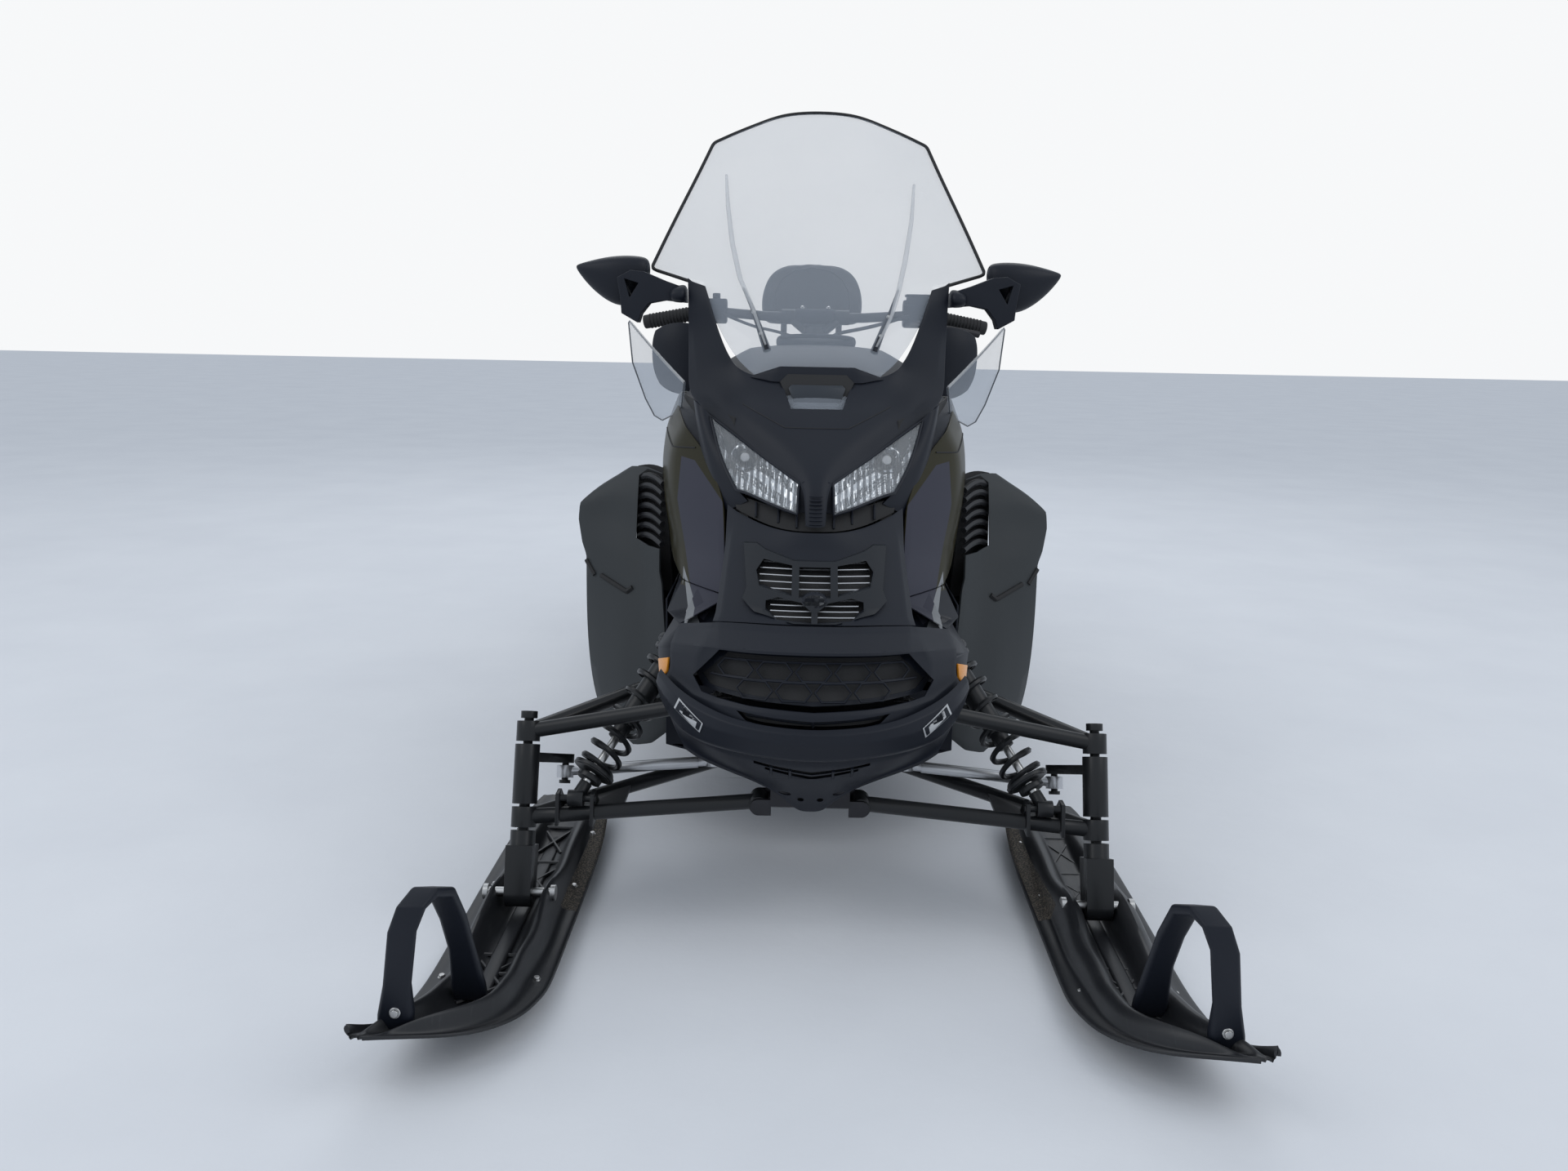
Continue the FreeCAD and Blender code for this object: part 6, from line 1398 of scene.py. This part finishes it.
def buildSki(side, sign):
    body = "ski_" + side
    rows = [[(skiX + u, y, z) for u, y, z in skiProfile(*row)] for row in ski["rows"]]
    deck = sheetFrom(f"ski_{side}_shell", rows, None, None, levels=2)
    if sign > 0:
        deck.data.flip_normals()
    thicken(deck, ski["wall"], -1.0)
    keel = sidePrism("keel", ski["keel"], skiX - 13, skiX + 13)
    bevelEdges(keel, 4.0, 2, 40.0)
    ribs = []
    for (ya, ua), (yb, ub) in ski["ribs"]:
        za, zb = skiFloor(ya) + 12, skiFloor(yb) + 12
        ribs.append(tubeAlong("rib", [(skiX + ua, ya, za), (skiX + ub, yb, zb)], 3.2, 6, 2))
    cross = [tubeAlong("rib", [(skiX - 28, y, skiFloor(y) + 12), (skiX + 28, y, skiFloor(y) + 12)], 3.4, 6, 2)
             for y in ski["crossRibs"]]
    shell = joined(f"ski_{side}_shell", [deck, keel] + ribs + cross)
    rivets = [boltHead("rivet", (skiX + u, y, skiFloor(y) + 10), (0, 0, 1), 5.0, 5.0) for y, u in ski["rivets"]]
    heads = joined(f"ski_{side}_rivets", rivets)
    if sign < 0:
        shell, heads = turnedOver(shell), turnedOver(heads)
    dress(smooth(shell, 45.0), "black_plastic", body, "ski_" + side, finish="ski_plastic")
    dress(heads, "bare_steel", body)


def skiFloor(y):
    rows = ski["rows"]
    for (ya, sa, *_), (yb, sb, *_) in zip(rows, rows[1:]):
        if ya <= y <= yb:
            return sa + (sb - sa) * (y - ya) / (yb - ya) + 2
    return rows[-1][1]


def skiPlastic():
    made = Finish("ski_plastic", (0.010, 0.011, 0.013), 0.38)
    cloud = made.noise(8.0, 4.0)
    scratch = made.noise(40.0, 4.0, 0.6, (9.0, 0.6, 1.0))
    speck = made.noise(320.0, 3.0, 0.7)
    fromMiddle = abs(abs(made.axis("X")) - skiX / 1000)
    inward = abs(made.axis("X")) < (skiX / 1000)
    along = made.axis("Y")
    strip = (fromMiddle > 0.064) * (fromMiddle < 0.091) * (along > (boltY + 0.02)) * (along < (boltY + 0.44)) * inward
    grip = strip * (made.axis("Z") > 0.028)
    clouded = made.blend(cloud, (0.008, 0.009, 0.011), (0.014, 0.015, 0.018))
    plain = made.blend(made.band(scratch, 0.55, 0.75) * 0.5, clouded, (0.03, 0.031, 0.033))
    gritty = made.blend(made.band(speck, 0.45, 0.62), (0.022, 0.020, 0.018), (0.13, 0.11, 0.085))
    made.feed("Base Color", made.blend(grip, plain, gritty))
    made.feed("Roughness", cloud * 0.18 + grip * 0.4 + 0.32)
    made.bump(speck * grip * 0.8 + cloud * 0.3, 0.002, 0.5)
    return made


finishes["ski_plastic"] = skiPlastic()
buildSki("left", 1)
buildSki("right", -1)

skiLoop = {
    "path": [(72, -418, 84), (70, -420, 104), (64, -428, 150), (50, -440, 232), (38, -436, 264), (28, -410, 273), (17, -372, 256),
             (13, -338, 202), (12, -308, 142), (9, -288, 70), (8, -284, 50)],
    "width": 37.0,
    "thickness": 15.0,
}


def buildLoop(side, sign):
    points = skiLoop["path"]
    rings = []
    for i, (u, y, z) in enumerate(points):
        before, after = points[max(0, i - 1)], points[min(len(points) - 1, i + 1)]
        run = Vector((0.0, after[1] - before[1], after[2] - before[2])).normalized()
        wideway = Vector((1.0, 0.0, 0.0))
        thick = run.cross(wideway)
        ends = 1.3 if i in (0, 1, len(points) - 2, len(points) - 1) else 1.0
        half = skiLoop["width"] / 2 * ends
        deep = skiLoop["thickness"] / 2 * ends
        centre = Vector((skiX + u, y, z))
        ring = []
        for a, b in ((1, 0.55), (0.8, 1), (-0.8, 1), (-1, 0.55), (-1, -0.55), (-0.8, -1), (0.8, -1), (1, -0.55)):
            ring.append(tuple(centre + wideway * half * a + thick * deep * b))
        rings.append(ring)
    loop = loftFrom(f"ski_{side}_handle", rings, 0)
    bevelEdges(loop, 2.0, 2, 20.0)
    bolt = boltHead("loop_bolt", (skiX + 68, -432, 110), (0.0, -1, 0.1), 6.0, 4.0)
    if sign < 0:
        loop, bolt = turnedOver(loop), turnedOver(bolt)
    loop.name = f"ski_{side}_handle"
    bolt.name = f"ski_{side}_handle_bolt"
    dress(smooth(loop, 30.0), "black_plastic", "ski_" + side, "ski_loop_" + side)
    dress(bolt, "bare_steel", "ski_" + side)


buildLoop("left", 1)
buildLoop("right", -1)
print("skis ready")


# Front springs: open coils round the dampers, with collars

spring = {
    "foot": (394, 45, 226),
    "head": (225, 250, 470),
    "radius": 31.0,
    "wire": 5.2,
    "turns": 8,
    "low": 58.0,
    "high": 40.0,
}


def buildSprings():
    foot, head = Vector(spring["foot"]), Vector(spring["head"])
    along = (head - foot).normalized()
    length = (head - foot).length
    side = along.cross(Vector((0.0, 1.0, 0.0))).normalized()
    other = along.cross(side)
    start, end = spring["low"], length - spring["high"]
    radius = spring["radius"]
    count = spring["turns"] * 14
    coil = []
    for i in range(count + 1):
        share = i / count
        angle = share * spring["turns"] * 2 * math.pi
        eased = share - 0.035 * math.sin(2 * math.pi * share)  # closer coils at the ends
        centre = foot + along * (start + (end - start) * eased)
        coil.append(tuple(centre + side * radius * math.cos(angle) + other * radius * math.sin(angle)))
    wire = tubeAlong("front_springs_coiled", coil, spring["wire"], 8, 3)
    dress(withMirror("front_springs_coiled", wire), "black_steel", "chassis", "front_springs")
    rod = rodBetween("bright_rod", foot + along * 32, foot + along * length * 0.5, 7.4, 24, 0.5)
    dress(withMirror("damper_rods", rod), "bare_steel", "chassis")
    collars = []
    for reach, size, deep in ((36, 22, 10), (50, 33, 7), (length * 0.34, 15, 30), (length - 44, 34, 8)):
        collars.append(rodBetween("collar", foot + along * reach, foot + along * (reach + deep), size, 28, 1.5))
    dress(withMirror("damper_collars", joined("collars", collars)), "black_steel", "chassis")


buildSprings()
softened("front_dampers", 0.8)
print("springs ready")


# Cushions: each closed shape is remeshed, blown up a little by the cloth solver and held near its start

clothSteps = 20


def puffed(piece, cap, voxel, pressure=4.0):
    modify(piece, "REMESH", mode="VOXEL", voxel_size=voxel / 1000, use_smooth_shade=True)
    start = [vertex.co.copy() for vertex in piece.data.vertices]
    cloth = piece.modifiers.new("puff", "CLOTH")
    cloth.settings.quality = 5
    cloth.settings.use_pressure = True
    cloth.settings.uniform_pressure_force = pressure
    cloth.settings.effector_weights.gravity = 0.0
    cloth.point_cache.frame_start = 1
    cloth.point_cache.frame_end = clothSteps
    for step in range(1, clothSteps + 1):
        bpy.context.scene.frame_set(step)
    blown = piece.evaluated_get(bpy.context.evaluated_depsgraph_get())
    swollen = [vertex.co.copy() for vertex in blown.data.vertices]
    piece.modifiers.remove(cloth)
    bpy.context.scene.frame_set(1)
    for vertex, before, after in zip(piece.data.vertices, start, swollen):
        move = after - before
        if move.length > cap / 1000:
            move = move * (cap / 1000 / move.length)
        vertex.co = before + move
    return subdivide(piece, 1)


def seatRing(y, halfTop, halfLow, low, top):
    right = [(halfLow - 8, y, low), (halfLow, y, low + 14), (halfLow + 2, y, low + 60), (halfTop + 2, y, top - 34),
             (halfTop - 10, y, top - 10), (halfTop - 36, y, top), (halfTop * 0.4, y, top + 1)]
    return right + [(-a, b, c) for a, b, c in reversed(right)]


seat = {
    "low": 610.0,
    "underside": 606.8,
    "front": 1268,
    "sections": [
        (1276, 94, 142, 742), (1300, 102, 150, 752), (1360, 122, 166, 772), (1450, 144, 184, 783), (1580, 158, 192, 787),
        (1700, 168, 198, 792), (1745, 171, 198, 806), (1790, 173, 198, 842), (1830, 174, 198, 852), (1960, 171, 196, 858),
        (2100, 166, 194, 862), (2150, 162, 191, 861), (2172, 156, 186, 855),
    ],
    "cap": 9.0,
    "seams": [
        [(-128, 1330), (-146, 1460), (-152, 1600), (-160, 1720)], [(128, 1330), (146, 1460), (152, 1600), (160, 1720)],
        [(-150, 1850), (-148, 2000), (-142, 2140)], [(150, 1850), (148, 2000), (142, 2140)],
        [(-150, 1850), (-60, 1842), (60, 1842), (150, 1850)], [(-142, 2140), (0, 2152), (142, 2140)],
        [(-106, 1330), (0, 1324), (106, 1330)], [(-150, 1560), (0, 1556), (150, 1560)],
    ],
}


def seamOnTop(piece, name, corners, radius=1.8):
    return tubeAlong(name, tracedOn(piece, corners, 0.2, 10, onTop), radius, 8, 3)


def buildSeat():
    rings = [seatRing(y, top, low, seat["low"], high) for y, top, low, high in seat["sections"]]
    cushion = loftFrom("seat_cushion", rings, 1)
    puffed(cushion, seat["cap"], 8.0)
    for vertex in cushion.data.vertices:
        vertex.co.z = max(vertex.co.z, seat["underside"] / 1000)
        vertex.co.y = max(vertex.co.y, boltY + seat["front"] / 1000)
    dress(smooth(cushion, 60.0), "vinyl", "chassis", "seat")
    seams = [seamOnTop(cushion, "seam", line) for line in seat["seams"]]
    dress(joined("seat_piping", seams), "vinyl", "chassis", finish="piping")


backrest = {
    "sections": [
        (1016, 138, 2150, 2200), (1026, 156, 2140, 2201), (1048, 164, 2130, 2201),
        (1080, 166, 2127, 2201), (1110, 163, 2128, 2201),
        (1140, 155, 2134, 2201), (1170, 141, 2142, 2200), (1192, 118, 2150, 2199), (1206, 86, 2158, 2198), (1212, 46, 2166, 2196),
    ],
    "cap": 6.0,
    "back": 2206,
    "arch": [(-104, 1036), (-122, 1078), (-118, 1120), (-96, 1160), (-58, 1186), (0, 1196), (58, 1186), (96, 1160), (118, 1120),
             (122, 1078), (104, 1036)],
}


def restRing(z, half, front, back):
    middle = (front + back) / 2
    right = [(half * 0.55, back, z), (half - 8, back - 2, z), (half, back - 16, z), (half, middle, z), (half - 7, front + 12, z),
             (half - 24, front + 3, z), (half * 0.5, front, z)]
    return right + [(-a, b, c) for a, b, c in reversed(right)]


def buildBackrest():
    rings = [restRing(*row) for row in backrest["sections"]]
    pad = loftFrom("backrest_pad", rings, 1)
    puffed(pad, backrest["cap"], 5.0)
    for vertex in pad.data.vertices:
        vertex.co.y = min(vertex.co.y, boltY + backrest["back"] / 1000)
    dress(smooth(pad, 60.0), "vinyl", "chassis", "backrest")
    arch = tubeAlong("arch", tracedOn(pad, backrest["arch"], 0.3, 6), 2.6, 8, 3)
    dress(arch, "vinyl", "chassis", finish="piping")
    arch.name = "backrest_piping"


finishes["piping"] = plastic("piping", (0.016, 0.016, 0.018), (0.028, 0.028, 0.031), 0.5, 500.0, 0.0002)
buildSeat()
buildBackrest()
print("seat and backrest ready")


# Dash with its gauge, and the boot round the steering post

dash = {
    "rows": [
        [(0, 452, 914), (60, 454, 913), (110, 462, 909), (160, 496, 898), (192, 524, 888)],
        [(0, 540, 950), (66, 544, 949), (124, 554, 940), (184, 580, 912), (216, 604, 894)],
        [(0, 640, 972), (70, 642, 971), (134, 650, 964), (196, 666, 930), (236, 682, 898)],
        [(0, 720, 972), (70, 722, 971), (136, 728, 963), (198, 742, 930), (236, 752, 898)],
        [(0, 800, 962), (70, 801, 961), (132, 805, 954), (190, 812, 922), (228, 820, 896)],
        [(0, 925, 925), (60, 925, 924), (112, 925, 916), (160, 925, 888), (192, 925, 862)],
        [(0, 939, 842), (60, 939, 842), (112, 939, 838), (156, 939, 830), (186, 939, 822)],
    ],
    "gauge": [(690, 950), (694, 980), (712, 990), (790, 968), (796, 950)],
    "brow": [(-76, 786, 962), (-82, 730, 982), (-70, 700, 990), (0, 694, 993), (70, 700, 990), (82, 730, 982), (76, 786, 962)],
    "screen": [(722, 986), (723, 989), (783, 972), (782, 969)],
    "keys": [(-70, 742, 984), (-70, 762, 978), (70, 742, 984), (70, 762, 978)],
}


def downPost(reach):  # a place on the steering post's line, counted from the bar's mount
    return (0, 985 - 0.5736 * reach, 1000 - 0.8192 * reach)


def buildDash():
    top = sheetFrom("dash_top", across(dash["rows"]), {2: 0.3, 5: 0.8}, acrossCols(5, {2: 0.5}), levels=2)
    thicken(top, 3.0, -1.0)
    bevelEdges(top, 0.8, 2, 50.0)
    gauge = sidePrism("gauge", dash["gauge"], -80.0, 80.0)
    bevelEdges(gauge, 5.0, 3, 30.0)
    brow = tubeAlong("gauge_hood", dash["brow"], 5.0, 12, 3)
    dress(joined("dash_top", [smooth(top, 40.0), smooth(gauge, 30.0), brow]), "black_plastic", "chassis", "dash")
    screen = sidePrism("gauge_screen", dash["screen"], -62.0, 62.0)
    bevelEdges(screen, 1.0, 2, 40.0)
    dress(smooth(screen), "black_plastic", "chassis", finish="dark_screen")
    keys = [rodBetween("key", (x, y, z - 4), (x, y + 0.8, z + 2.5), 5.0, 20, 1.2) for x, y, z in dash["keys"]]
    dress(joined("gauge_keys", keys), "black_plastic", "chassis", finish="rubber")
    boot = [rodBetween("boot", downPost(60 + i * 9), downPost(66 + i * 9), 22 + i * 3.2, 32, 2.0) for i in range(5)]
    dress(joined("post_boot", boot), "rubber", "chassis")


buildDash()


# Console: the tank's cover and its knurled cap

console = {
    "capFoot": (0, 1096, 838),
    "capHead": (0, 1099, 856),
    "capRadius": 39.0,
    "knurls": 20,
    "handle": [(1064, 856), (1068, 861), (1130, 861), (1134, 856)],
    "seam": [(-150, 952), (-138, 1058), (-88, 1256)],
}


def buildConsole():
    cover = softened("console", 7.0, 3)
    cap = rodBetween("cap", console["capFoot"], console["capHead"], console["capRadius"], 48, 3.0)
    grips = []
    for i in range(console["knurls"]):
        turn = i * 2 * math.pi / console["knurls"]
        side = Vector((math.cos(turn), math.sin(turn), 0.0)) * (console["capRadius"] + 1.0)
        ends = Vector(console["capFoot"]) + side, Vector(console["capHead"]) + side - Vector((0.0, 0.0, 3.0))
        grips.append(tubeAlong("grip", ends, 2.4, 8, 2))
    handle = sidePrism("handle", console["handle"], -7.0, 7.0)
    bevelEdges(handle, 2.0, 2, 40.0)
    dress(joined("fuel_cap", [cap, handle] + grips), "black_plastic", "chassis")
    seam = seamOnTop(cover, "console_seam", console["seam"], 1.4)
    dress(withMirror("console_seams", seam), "black_plastic", "chassis", finish="rubber")


buildConsole()
print("dash and console ready")


# Handlebar: ribbed grips, switch blocks, a brake lever with its reservoir, hand guards

barControls = {
    "gripStart": (278.3, 1053.4, 1037.7),
    "gripEnd": (404.0, 1072.0, 1014.4),
    "gripRadius": 16.0,
    "block": (233.5, 1046.8, 1046.0),
}


def buildGrips():
    start, end = Vector(barControls["gripStart"]), Vector(barControls["gripEnd"])
    along = (end - start).normalized()
    parts = [rodBetween("grip", start, end, barControls["gripRadius"], 32, 3.0)]
    for i in range(13):
        place = start + (end - start) * (0.10 + i * 0.063)
        parts.append(rodBetween("ring", place, place + along * 4.0, 17.4, 28, 1.2))
    flange = rodBetween("flange", start, start + along * 5.0, 21.0, 32, 1.5)
    dress(withMirror("grips_ribbed", joined("grips_ribbed", parts + [flange])), "rubber", "steering", "grips")


def buildControls():
    x, y, z = barControls["block"]
    outline = [(y - 24, z - 26), (y - 14, z - 34), (y + 18, z - 32), (y + 26, z - 18), (y + 25, z + 20),
               (y + 12, z + 30), (y - 18, z + 30), (y - 25, z + 18)]
    body = sidePrism("body", outline, x - 28, x + 26)
    bevelEdges(body, 4.0, 3, 30.0)
    tank = sidePrism("tank", [(y - 24, z + 16), (y - 22, z + 38), (y + 22, z + 38), (y + 24, z + 16)], x - 20, x + 30)
    bevelEdges(tank, 3.0, 3, 30.0)
    lid = sidePrism("lid", [(y - 25, z + 37), (y - 24, z + 43), (y + 24, z + 43), (y + 25, z + 37)], x - 23, x + 32)
    bevelEdges(lid, 1.5, 2, 30.0)
    brake = joined("brake_block", [smooth(body, 30.0), smooth(tank, 30.0), smooth(lid, 30.0)])
    outline = [(y - 22, z - 22), (y - 12, z - 32), (y + 16, z - 30), (y + 24, z - 14), (y + 22, z + 18),
               (y + 8, z + 26), (y - 16, z + 25), (y - 23, z + 14)]
    small = sidePrism("small", outline, -(x + 20), -(x - 27))
    bevelEdges(small, 4.0, 3, 30.0)
    knob = rodBetween("knob", (-(x - 2), y, z + 22), (-(x - 2), y, z + 38), 9.0, 24, 2.5)
    throttle = joined("throttle_block", [smooth(small, 30.0), knob])
    dress(joined("bar_blocks", [brake, throttle]), "black_plastic", "steering", "bar_controls")
    keys = []
    for u, v in ((-12, 8), (6, 8), (-12, -10), (6, -10)):
        outline = [(y + 22, z + v - 6), (y + 29, z + v - 5), (y + 29, z + v + 5), (y + 22, z + v + 6)]
        key = sidePrism("key", outline, x + u - 6, x + u + 6)
        keys.append(bevelEdges(key, 1.5, 2, 30.0))
    dress(joined("switch_keys", keys), "black_plastic", "steering", finish="grey_plastic")
    lever = tubeAlong("lever", [(x - 12, y - 20, z - 24), (x + 8, y - 34, z - 28), (x + 50, y - 36, z - 30),
                                (x + 100, y - 26, z - 36), (x + 150, y - 12, z - 46, 1.3)], 6.0, 12, 3)
    dress(lever, "dark_alloy", "steering")
    lever.name = "brake_lever"
    thumb = tubeAlong("thumb", [(-(x + 14), y - 10, z - 26), (-(x + 30), y - 8, z - 42), (-(x + 56), y + 2, z - 50, 1.4)],
                      5.5, 12, 3)
    dress(thumb, "black_plastic", "steering")
    thumb.name = "throttle_lever"
    hose = tubeAlong("hose", [(x - 16, y - 22, z - 6), (150, 1010, 1018), (96, 985, 1006), (44, 968, 996),
                              (14, 962, 968), (10, 950, 936)], 4.2, 12, 3)
    other = tubeAlong("hose", [(-(x - 20), y - 20, z - 10), (-150, 1012, 1010), (-92, 986, 1000), (-40, 966, 986),
                               (-12, 956, 960), (-8, 948, 934)], 3.4, 12, 3)
    dress(joined("control_lines", [hose, other]), "rubber", "steering")


handGuard = {
    "rows": [
        [(282, 966, 1013), (307, 964, 1017), (345, 973, 1011), (369, 990, 996)],
        [(278, 950, 975), (307, 948, 980), (350, 960, 978), (377, 983, 972)],
        [(278, 946, 905), (306, 946, 905), (348, 958, 905), (375, 982, 905)],
        [(286, 956, 857), (305, 956, 851), (338, 968, 859), (358, 984, 874)],
    ],
    "stay": [(292, 970, 1000), (276, 990, 1012), (250, 1020, 1030), (236, 1040, 1040)],
}


def buildGuards():
    shell = sheetFrom("guard", handGuard["rows"], None, None, levels=3)
    thicken(shell, 4.0, -1.0)
    bevelEdges(shell, 1.0, 2, 50.0)
    stay = tubeAlong("stay", handGuard["stay"], 5.5, 12, 3)
    guard = joined("hand_guards_smooth", [smooth(shell, 50.0), stay])
    dress(withMirror("hand_guards_smooth", guard), "black_plastic", "steering", "hand_guards")


def buildBarPad():
    outline = [(994, 1018), (990, 1040), (1004, 1052), (1026, 1048), (1034, 1030), (1022, 1016)]
    pad = sidePrism("bar_clamp_cover", outline, -46.0, 46.0)
    bevelEdges(pad, 5.0, 3, 30.0)
    dress(smooth(pad, 30.0), "black_plastic", "steering")
    bolts = [boltHead("bolt", (x, 1010, 1054), (0, -0.35, 1), 4.0, 4.0) for x in (-30, 30)]
    dress(joined("clamp_bolts", bolts), "bare_steel", "steering")


buildGrips()
buildControls()
buildGuards()
buildBarPad()
print("handlebar ready")


# Smaller pieces: the CAD shapes of the cowls, reflectors, tail lamp, flap, brackets and shafts, with rounded edges

cowls = softened("lower_cowls", 2.0)
cowls.data.materials[0] = finishes["olive_marked"].material
for node, width in [
    ("side_reflectors", 1.0), ("tail_lamp", 5.0), ("snow_flap", 1.6), ("drop_brackets", 1.0), ("rail_shafts", 1.0),
    ("rail_sliders", 1.5), ("drive_axle", 0.8), ("track_dampers", 0.8),
]:
    softened(node, width)
print("small pieces ready")
